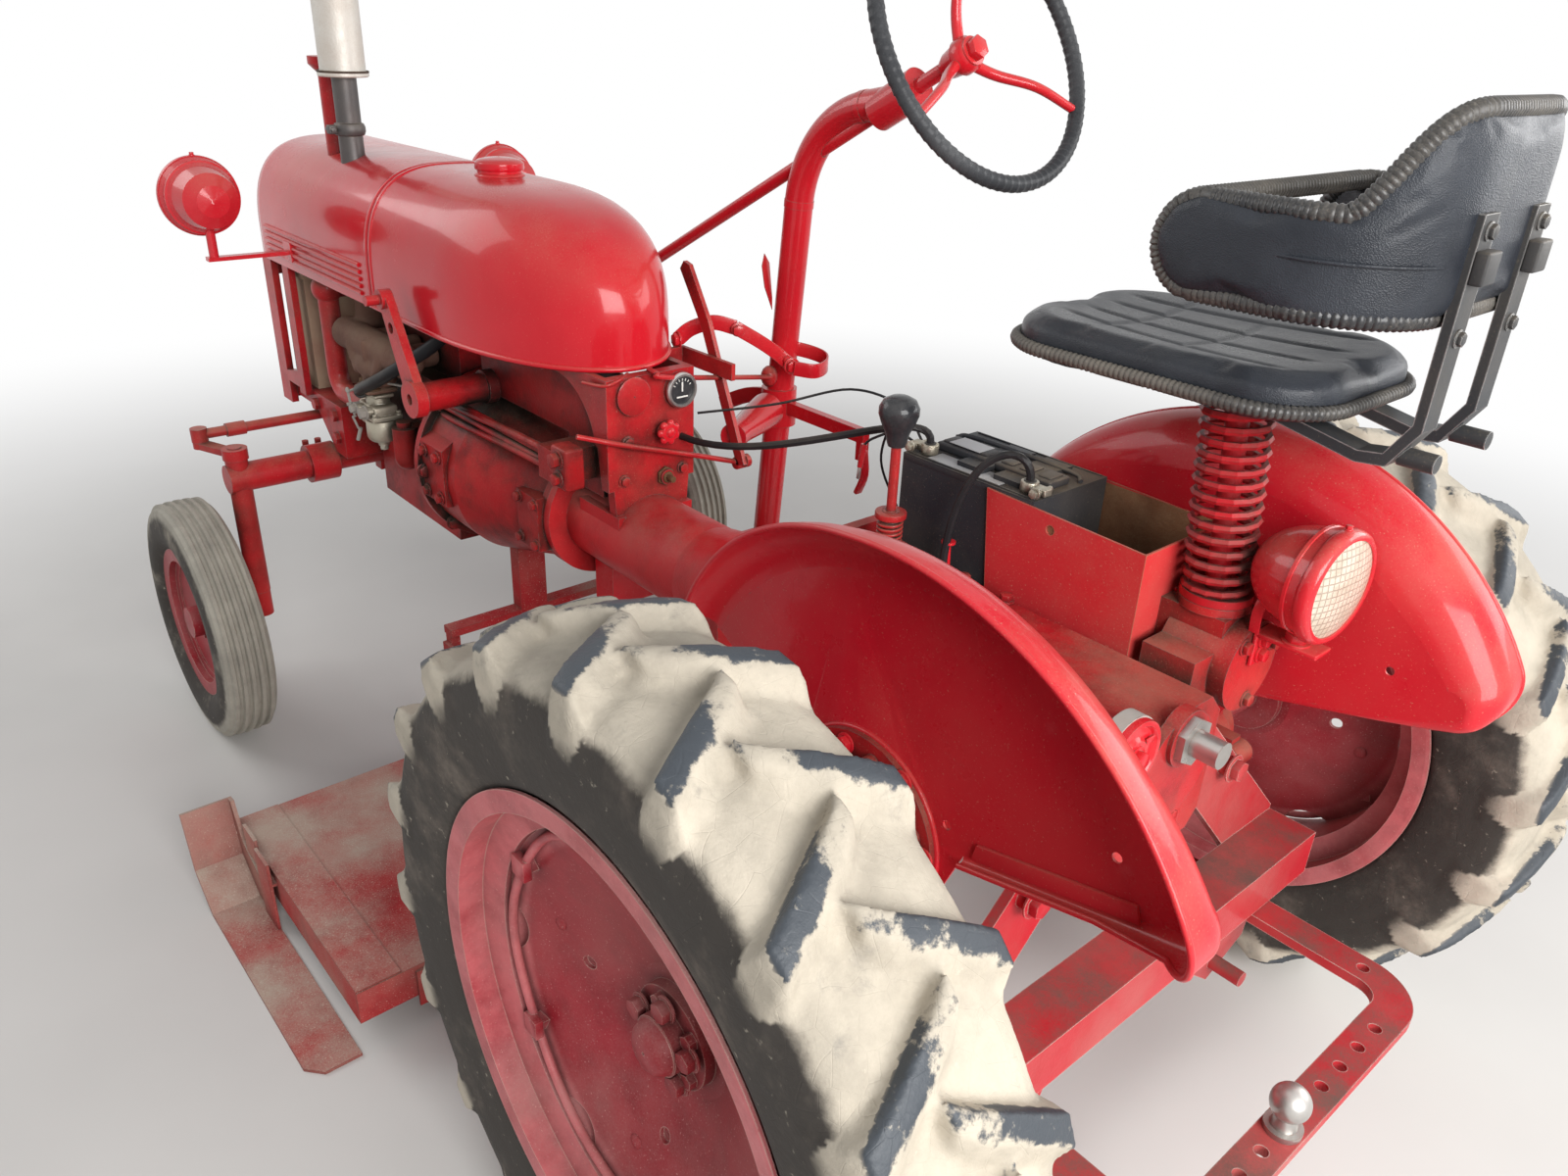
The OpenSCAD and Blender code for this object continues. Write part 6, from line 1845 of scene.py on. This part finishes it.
        lines = [spots((1262, 228, 832), (1231, 252, 836), (969, 256, 851), (800, 258, 856)),
                 spots((1262, 226, 806), (1216, 252, 810), (990, 256, 822), (812, 258, 828))]
        pipes = [tube("pipe", smooth_line(line, 8), 0.0066, 12) for line in lines]
        pipes += [bar("nut", spot(812, 258, z), spot(796, 258, z), 0.0115, 6) for z in (828, 856)]
        pipes += [block("valve", spot(752, 240, 812), spot(798, 276, 882), 0.005),
                  hexagon("cap", spot(775, 276, 862), LEFT, 0.026, 0.012),
                  hexagon("cap", spot(775, 276, 830), LEFT, 0.022, 0.01)]
        self.dress(join("oil_pipes", pipes), Finish.ENGINE)

    def bolts(self) -> None:
        """Bolt heads on the bell housing and the block."""
        heads = []
        for k in range(8):
            a = math.radians(k * 45)
            heads.append(hexagon("bolt", spot(1252, 125 + 168 * math.cos(a), 700 + 168 * math.sin(a)),
                                 BACK, 0.024, 0.01))
        heads += [hexagon("bolt", spot(x, 292, z), LEFT, 0.02, 0.008)
                  for x, z in ((1190, 664), (1190, 744), (1244, 664), (1244, 744))]
        heads += [hexagon("bolt", spot(x, 247, z), LEFT, 0.018, 0.008)
                  for x, z in ((912, 656), (912, 732), (966, 656), (966, 732))]
        self.dress(join("engine_bolts", heads), Finish.ENGINE)


@dataclass
class Exhaust(Assembly):
    """The upright pipe with its clamp, and the pale muffler on it."""

    stack: tuple[float, float] = (1609.0, 217.0)
    pipe_r: float = 23.0
    muffler_r: float = 42.0
    foot_z: float = 968.0
    pipe_top: float = 1368.0
    muffler_top: float = 1698.0

    def build(self, frame: dict) -> None:
        """Turns both pieces on the pipe's axis."""
        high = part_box("exhaust")[1]
        z0, z1, z2, z3 = self.foot_z, self.pipe_top, self.muffler_top, high.z / MM
        r, m = self.pipe_r, self.muffler_r
        clamp = 1276
        pipe = self.turned("exhaust_pipe",
                           [(r - 4, z0 + 4), (r, z0), (r, clamp - 12), (r + 4, clamp - 10),
                            (r + 6.5, clamp - 4), (r + 6.5, clamp + 4), (r + 4, clamp + 10),
                            (r, clamp + 12), (r, z1 - 1), (r - 3, z1 - 1), (r - 4, z1 - 6)])
        ears = [block("ear", spot(self.stack[0] - 8, self.stack[1] + r + 4, clamp - 8),
                      spot(self.stack[0] + 8, self.stack[1] + r + 20, clamp + 8), 0.002),
                bar("bolt", spot(self.stack[0] - 18, self.stack[1] + r + 14, clamp),
                    spot(self.stack[0] + 18, self.stack[1] + r + 14, clamp), 0.004, 12)]
        self.dress(join("exhaust_pipe", [pipe, *ears]), Finish.PIPE, Slot.PIPE, ["exhaust"])
        shell = self.turned("muffler",
                            [(r - 2, z1 + 1), (m + 3, z1 + 1), (m + 5, z1 + 3), (m + 5, z1 + 8),
                             (m + 3, z1 + 10), (m, z1 + 12), (m, z2 - 12), (m + 2, z2 - 10),
                             (m + 2, z2 - 3), (m - 1, z2), (r + 1, z2 + 2), (r, z2 + 6), (r, z3),
                             (r - 3, z3), (r - 4, z2 + 4)])
        self.dress(shell, Finish.MUFFLER, Slot.PIPE)
        weld = tube("muffler_seam",
                    [spot(self.stack[0] + (m + 3.6) * math.cos(a),
                          self.stack[1] + (m + 3.6) * math.sin(a), z1 + 10)
                     for a in [k * math.pi / 36 for k in range(72)]], 0.0022, 8, closed=True)
        self.dress(weld, Finish.SEAM, Slot.PIPE)

    def turned(self, name: str, profile: Sequence[tuple[float, float]]) -> Piece:
        """A round shell about the pipe's axis."""
        x, y = self.stack
        obj = outline(name, [spot(x + r, y, z) for r, z in profile])
        return smooth(spin(obj, spot(x, y, 0), UP, ROUND_STEPS), 35)


@dataclass
class Fenders(Assembly):
    """Pressed fenders: a flat web that curves out into a rolled rim."""

    centre: tuple[float, float] = (-42.0, 592.0)
    radius: float = 442.0
    web_y: float = 296.0
    width: float = 80.0
    sheet: float = 3.0
    corner: float = 60.0
    corner_at: float = 150.0
    corner_turn: float = 105.0
    front_at: float = 25.2
    front_width: float = 42.0
    front_bend: float = 40.0
    lowest: tuple[float, float] = (-125.0, 657.0)
    steps: tuple[int, int, int] = (56, 21, 12)
    drive: tuple[float, float] = (33.0, 626.0)

    def build(self, frame: dict) -> None:
        """Builds the left fender and its mirrored twin."""
        left = self.fender()
        right = copied(left, mirrored_y())
        for obj, word in ((left, "left"), (right, "right")):
            obj.name = f"pressed_fender_{word}"
            self.dress(obj, Finish.FENDER, Slot.RED, [f"fender_{word}"])

    def stations(self) -> list[tuple[float, float, float, float, float]]:
        """Places round the rim: x, z, the way out in degrees, the rim's width and its bend."""
        cx, cz = self.centre
        rows = []
        rim_steps, corner_steps, tail_steps = self.steps
        for k in range(rim_steps + 1):
            t = k / rim_steps
            a = self.front_at + (self.corner_at - self.front_at) * t
            wide = self.front_width + (self.width - self.front_width) * min(1.0, t * 2.2)
            bend = min(wide - self.sheet,
                       self.front_bend + 34 * min(1.0, 3 * t) - 18 * max(0.0, (t - 0.85) / 0.15))
            rows.append((cx + self.radius * math.cos(math.radians(a)),
                         cz + self.radius * math.sin(math.radians(a)), a, wide, bend))
        inner = self.radius - self.corner
        kx = cx + inner * math.cos(math.radians(self.corner_at))
        kz = cz + inner * math.sin(math.radians(self.corner_at))
        last = rows[-1][4]
        for k in range(1, corner_steps + 1):
            t = k / corner_steps
            a = self.corner_at + self.corner_turn * t
            wide = self.width - 52 * t * t
            bend = min(wide - self.sheet, last - (last - 20) * min(1.0, 1.4 * t))
            rows.append((kx + self.corner * math.cos(math.radians(a)),
                         kz + self.corner * math.sin(math.radians(a)), a, wide, bend))
        x0, z0 = rows[-1][:2]
        x1, z1 = self.lowest
        for k in range(1, tail_steps + 1):
            t = k / tail_steps
            fade = min(1.0, 3 * t)
            rows.append((x0 + (x1 - x0) * t, z0 + (z1 - z0) * t, self.corner_at + self.corner_turn,
                         28 - 14 * fade, 18 - 9 * fade))
        return rows

    def fender(self) -> Piece:
        """The left fender as one piece."""
        rows = self.stations()
        t = self.sheet
        sections, inside, rim = [], [], []
        for x, z, angle, wide, bend in rows:
            way = Vector((math.cos(math.radians(angle)), 0, math.sin(math.radians(angle)))) * MM
            edge = spot(x, self.web_y, z)

            def at(inward: float, out: float) -> Vector:
                """A point of this section, in the piece's own measures."""
                return edge - way * inward + Vector((0, out * MM, 0))

            turn = [math.radians(9 * k) for k in range(11)]
            back = [at(bend * (1 - math.sin(a)), bend * (1 - math.cos(a))) for a in turn]
            front = [at(bend - (bend - t) * math.sin(a), bend - (bend - t) * math.cos(a))
                     for a in reversed(turn)]
            sections.append([*back, at(0, wide), at(t, wide), *front])
            inside.append(at(bend, 0))
            rim.append(at(t / 2, wide))
        flange = loft("flange", sections)
        lower = [spot(x, self.web_y, z) for x, z in ((-80, 560), (150, 560), (190, 690), (352, 775))]
        web = plate("web", [*inside, *lower], Vector((0, t * MM, 0)))
        dx, dz = self.drive
        disc = bar("disc", spot(dx, self.web_y, dz), spot(dx, self.web_y + t, dz), 0.124, 64)
        self.cut(web, disc, "UNION")
        self.cut(web, bar("hole", spot(dx, self.web_y - 20, dz), spot(dx, self.web_y + 20, dz), 0.082,
                          64), "DIFFERENCE")
        for x, z in ((-305, 781), (-94, 691)):
            tool = bar("hole", spot(x, self.web_y - 20, z), spot(x, self.web_y + 20, z), 0.006, 20)
            self.cut(web, tool, "DIFFERENCE")
        ring = tube("ring", [spot(dx + 120 * math.cos(a), self.web_y + 4, dz + 120 * math.sin(a))
                             for a in [math.radians(4 * k) for k in range(90)]], 0.0038, 8, closed=True)
        bead = tube("bead", rim, 0.0036, 10)
        strip = plate("strip",
                      [spot(x, self.web_y + t, z)
                       for x, z in ((-136, 671), (-141, 694), (-338, 745), (-344, 726))],
                      Vector((0, 0.005, 0)))
        parts = [smooth(web, 30), smooth(flange, 50), ring, bead, bevelled(strip, 0.0012, 2)]
        return join("pressed_fender", parts)

    def cut(self, obj: Piece, tool: Piece, way: str) -> None:
        """Joins or cuts a piece with another, which is used up."""
        take(obj)
        work = obj.modifiers.new("cut", "BOOLEAN")
        work.operation, work.object, work.solver = way, tool, "EXACT"
        bpy.ops.object.modifier_apply(modifier=work.name)
        bpy.data.objects.remove(tool)


@dataclass
class Hood(Assembly):
    """Hood and tank as smooth pressed skins, with the filler cap."""

    middle_y: float = 125.0
    half: float = 180.0
    top: float = 1236.0
    low: float = 986.0
    seam_x: float = 1375.0
    nose_x: float = 1980.0
    tank_x: float = 765.0
    tail: float = 350.0
    sheet: float = 3.0
    cap_x: float = 1189.0

    def build(self, frame: dict) -> None:
        """Builds both skins and the cap."""
        tank = [self.section(self.tank_x + self.tail * (1 - s), *self.shape(s))
                for s in (0.9992, 0.997, 0.992, 0.984, 0.972, 0.955, 0.932, 0.903, 0.867, 0.823, 0.77,
                          0.71, 0.64, 0.56, 0.47, 0.37, 0.26, 0.13, 0.0)]
        tank.append(self.section(self.seam_x - 2, self.half, self.top))
        skin = smooth(loft("tank", tank), 62)
        lip = self.band("lip", self.seam_x - 14, self.seam_x - 4, 1.6)
        self.dress(join("tank_skin", [skin, lip, self.cap()]), Finish.HOOD, Slot.RED, ["fuel_tank"])
        shell = []
        for x in (self.seam_x + 2, self.nose_x - 40, self.nose_x - 14, self.nose_x - 4, self.nose_x):
            away = max(0.0, x - (self.nose_x - 40)) / 40
            shrink = 14 * (1 - math.sqrt(1 - away * away))
            shell.append(self.channel(x, self.half - shrink, self.top - shrink))
        front = self.section(self.nose_x - 3, self.half - 14, self.top - 14, self.low + 30)
        wall = plate("wall", front, Vector((0.003, 0, 0)))
        ribs = []
        for side in (1, -1):
            for k in range(5):
                y = self.middle_y + side * (self.half + 0.5)
                z = self.low + 20 + 13 * k
                ribs.append(tube("rib", [spot(x, y, z) for x in (self.seam_x + 44, self.nose_x - 62)],
                                 0.0042, 10))
        edge = self.band("edge", self.seam_x + 4, self.seam_x + 14, 1.2)
        self.dress(join("hood_skin", [smooth(loft("hood", shell), 40), wall, edge, *ribs]), Finish.HOOD,
                   Slot.RED, ["hood"])

    def shape(self, s: float) -> tuple[float, float]:
        """Half width and top of the tail at a share of its length."""
        rise = self.top - self.low - 60
        return self.half * math.sqrt(1 - s * s), self.low + 60 + rise * (1 - s**2.6) ** 0.45

    def section(self, x: float, half: float, top: float, low: float | None = None) -> list[Vector]:
        """The outline of hood or tank across the tractor."""
        foot = self.low if low is None else low
        spring = self.low + 0.22 * (top - self.low)
        line = [spot(x, self.middle_y - half, foot)]
        for k in range(49):
            a = math.pi * (1 - k / 48)
            share = math.copysign(abs(math.cos(a)) ** 0.72, math.cos(a))
            line.append(spot(x, self.middle_y + share * half,
                             spring + max(0.0, math.sin(a)) ** 0.72 * (top - spring)))
        return [*line, spot(x, self.middle_y + half, foot)]

    def channel(self, x: float, half: float, top: float) -> list[Vector]:
        """The same outline as a bent sheet, open below."""
        return [*self.section(x, half, top), *reversed(self.section(x, half - self.sheet, top - self.sheet))]

    def band(self, name: str, x0: float, x1: float, proud: float) -> Piece:
        """A thin raised band across the skin."""
        rows = [(x0, 0.0), (x0 + 1.5, proud), (x1 - 1.5, proud), (x1, 0.0)]
        return smooth(loft(name,
                           [self.channel(x, self.half + rise, self.top + rise) for x, rise in rows]), 50)

    def cap(self) -> Piece:
        """The filler neck and its domed cap."""
        profile = [(1, -6), (44, -6), (44, 4), (41, 7), (39, 8), (39, 12), (42, 13), (43, 16), (42, 24),
                   (38, 28), (26, 31), (1, 33)]
        line = [spot(self.cap_x + r, self.middle_y, self.top + z - 4) for r, z in profile]
        return smooth(spin(outline("cap", line), spot(self.cap_x, self.middle_y, 0), UP, ROUND_STEPS), 35)


@dataclass
class TankTrim(Assembly):
    """Rolled seam under the tank's tail."""

    middle_y: float = 125.0
    half: float = 180.0
    tail_x: float = 1115.0
    tail: float = 350.0
    seam_z: float = 990.0
    front_x: float = 1372.0

    def build(self, frame: dict) -> None:
        """Lays the seam."""
        line = []
        for k in range(61):
            a = math.radians(90 + 3 * k)
            line.append(spot(self.tail_x + self.tail * math.cos(a),
                             self.middle_y + self.half * math.sin(a), self.seam_z))
        line = [spot(self.front_x, self.middle_y + self.half, self.seam_z), *line,
                spot(self.front_x, self.middle_y - self.half, self.seam_z)]
        seam = tube("tank_seam", line, 0.0045, 10)
        self.dress(seam, Finish.HOOD)


@dataclass
class SeatTrim(Assembly):
    """Ribbed piping and seams of the seat, and its frame's bolts."""

    middle_y: float = -235.0
    back_z: float = 1245.0
    back_x: float = -300.0
    half: float = 202.0
    corner: float = 130.0

    def build(self, frame: dict) -> None:
        """Lays the piping round both pads."""
        cover = self.book.special("black_vinyl", lambda: vinyl("black_vinyl"))
        pan = even([spot(*p) for p in self.rounded(-222, 228, 162, 96, 1129)], 0.0023)
        ring = tube("pan_piping", pan, self.ribbed(len(pan), 0.0085), 10, closed=True)
        self.dress(ring, Finish.PIPING, Slot.VINYL)
        low = [spot(x, y, self.back_z + 3) for x, y in self.plan(13)]
        high = [spot(x, y, self.top(x) - 2) for x, y in self.plan(13)]
        tip = []
        for side in (1, -1):
            y = self.middle_y + side * (self.half - 13)
            tip.append([spot(-72 + 50 * math.sin(a), y, self.back_z + 52 - 50 * math.cos(a))
                        for a in [k * math.pi / 12 for k in range(13)]])
        line = [*low, *tip[0][1:-1], *reversed(high), *reversed(tip[1][1:-1])]
        line = even(line, 0.0023)
        rim = tube("back_piping", line, self.ribbed(len(line), 0.0112), 10, closed=True)
        seam = [tube("seam", [spot(x, y, z) for x, y in self.plan(inset)], 0.0022, 8)
                for inset, z in ((-1.0, self.back_z + 58), (27.0, self.back_z + 58))]
        self.dress(rim, Finish.PIPING, Slot.VINYL)
        self.dress(join("back_seams", seam), cover, Slot.VINYL)
        bolts = []
        for y in (-305, -165):
            for z in (1338, 1300, 1230):
                bolts.append(hexagon("bolt", spot(-312, y, z), BACK, 0.016, 0.006))
            bolts.append(block("bracket", spot(-326, y - 17, 1286), spot(-311, y + 17, 1320), 0.003))
        self.dress(join("seat_bolts", bolts), Finish.FRAME, Slot.FRAME)

    def ribbed(self, points: int, radius: float) -> Callable[[float], float]:
        """The radius of gathered piping along its length, a rib every few points."""
        swell = (0.0009, 0.0004, -0.0009)
        return lambda share: radius + swell[round(share * (points - 1)) % 3]

    def rounded(self, x0: float, x1: float, half: float, r: float,
                z: float) -> list[tuple[float, float, float]]:
        """Points round the pan's edge."""
        line = []
        for cx, cy, start in ((x1 - r, half - r, 0), (x0 + r, half - r, 90), (x0 + r, r - half, 180),
                              (x1 - r, r - half, 270)):
            for k in range(31):
                a = math.radians(start + 3 * k)
                line.append((cx + r * math.cos(a), self.middle_y + cy + r * math.sin(a), z))
        full: list[tuple[float, float, float]] = []
        for a, b in zip(line, line[1:] + line[:1]):
            steps = max(1, round(math.dist(a, b) / 5))
            full += [tuple(p + (q - p) * k / steps for p, q in zip(a, b)) for k in range(steps)]
        return full

    def plan(self, inset: float) -> list[tuple[float, float]]:
        """Points along the back's U in plan, from the left tip to the right one."""
        r, c = self.corner - inset, self.half - self.corner
        x = self.back_x + self.corner
        line = [(-72 + (x + 72) * k / 20, self.middle_y + self.half - inset) for k in range(21)]
        line += [(x + r * math.cos(a), self.middle_y + c + r * math.sin(a))
                 for a in [math.radians(90 + 5 * k) for k in range(1, 19)]]
        line += [(x - r, self.middle_y + c - 2 * c * k / 16) for k in range(1, 16)]
        line += [(x + r * math.cos(a), self.middle_y - c + r * math.sin(a))
                 for a in [math.radians(180 + 5 * k) for k in range(19)]]
        line += [(x + (-72 - x) * k / 20, self.middle_y - self.half + inset) for k in range(1, 21)]
        return line

    def top(self, x: float) -> float:
        """Height of the back's upper rim at a distance along the tractor."""
        share = min(1.0, max(0.0, (-215 - x) / 75))
        return self.back_z + 104 + 103 * share * share * (3 - 2 * share)


@dataclass
class RimTrim(Assembly):
    """Bolts, bead and marks on a rear wheel's disc."""

    side: int = 1

    def build(self, frame: dict) -> None:
        """Builds the wheel's small pieces."""
        word = "left" if self.side > 0 else "right"
        body = Body.REAR_LEFT if self.side > 0 else Body.REAR_RIGHT
        middle = 621.5 * self.side
        out = Vector((0, self.side, 0))

        def at(degrees: float, r: float, y: float) -> Vector:
            """A point of this section, in the piece's own measures."""
            a = math.radians(degrees)
            return spot(r * math.cos(a), middle + self.side * y, REAR_AXLE_Z + r * math.sin(a))

        parts = [hexagon("nut", at(k * 72 + 20, 48, 0), out, 0.026, 0.012) for k in range(5)]
        parts += [block_at("clip", at(k * 60 + 30, 248, 42), out, 0.028, 0.012) for k in range(6)]
        parts += [ball("dimple", at(k * 90 + 12, 196, 14), (0.012, 0.006, 0.012), 16) for k in range(4)]
        bead = [at(3 * k, 252 + 4 * math.cos(math.radians(18 * k)), 44) for k in range(120)]
        parts.append(tube("bead", bead, 0.006, 10, closed=True))
        hub = spin(outline("hub", [at(0, r, y) for r, y in ((2, 30), (22, 30), (30, 24), (34, 13), (2, 13))]),
                   at(0, 0, 0), LEFT, 40)
        parts.append(smooth(hub))
        self.dress(join(f"rim_trim_{word}", parts), Finish.REAR_WHEEL, Slot.WHEEL, body=body)


def block_at(name: str, at: Vector, way: Vector, width: float, height: float) -> Piece:
    """A square head that stands on a face."""
    deselect()
    bpy.ops.mesh.primitive_cube_add(size=1, location=at + way.normalized() * height / 2)
    obj = bpy.context.object
    obj.name = name
    obj.scale = (width, height, width)
    bpy.context.view_layer.update()
    settle(obj)
    return bevelled(obj, height * 0.15, 2)


@dataclass
class Bodywork(Assembly):
    """Finishes for the frame's own pieces that keep their shape."""

    finishes: dict[Finish, tuple[str, ...]] = field(
        default_factory=lambda: {
            Finish.HOOD: ("hood", "fuel_tank"),
            Finish.LAMP: ("headlamp_left", "headlamp_right", "work_lamp"),
            Finish.FENDER: ("fender_left", "fender_right"),
            Finish.CHASSIS: ("front_axle", "front_bolster", "grille", "instrument_panel", "final_drive_left",
                             "final_drive_right", "transmission", "air_intake", "lift_arm", "hand_lever",
                             "knuckle_left", "knuckle_right", "tie_rod", "gear_lever"),
            Finish.ENGINE: ("engine_block", "clutch_housing", "hydraulic_unit"),
            Finish.TUBE: ("torque_tube",),
            Finish.BEAM: ("rear_beam", "drawbar"),
            Finish.BOX: ("battery_box",),
            Finish.BATTERY: ("battery",),
            Finish.DECK: ("mower_deck", "deck_hangers"),
            Finish.CORE: ("radiator",),
            Finish.IRON: ("manifold",),
            Finish.ALLOY: ("carburettor",),
            Finish.PIPE: ("exhaust",),
            Finish.STEEL: ("pto_shaft", "hitch_ball"),
            Finish.RUBBER: ("cable_ground", "cable_starter"),
        }
    )

    def build(self, frame: dict) -> None:
        """Paints the frame's nodes."""
        for finish, names in self.finishes.items():
            for name in names:
                self.coat(frame["nodes"][name], finish)


def main() -> None:
    """Builds the whole scene, part by part."""
    logging.basicConfig(level=logging.INFO)
    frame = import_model()
    Studio().build()
    book = FinishBook()
    parts: list[Assembly] = [
        Bodywork(book),
        RearWheel(book, side=1),
        RearWheel(book, side=-1),
        FrontWheel(book, side=1),
        FrontWheel(book, side=-1),
        Seat(book),
        SeatTrim(book),
        Steering(book),
        Levers(book),
        Panel(book),
        BatteryTop(book),
        RearTrim(book),
        Lamps(book),
        EngineTrim(book),
        Exhaust(book),
        Hood(book),
        TankTrim(book),
        Fenders(book),
        RimTrim(book, side=1),
        RimTrim(book, side=-1),
    ]
    for part in parts:
        part.build(frame)
        log.info("built %s", type(part).__name__)


if __name__ == "__main__":
    main()
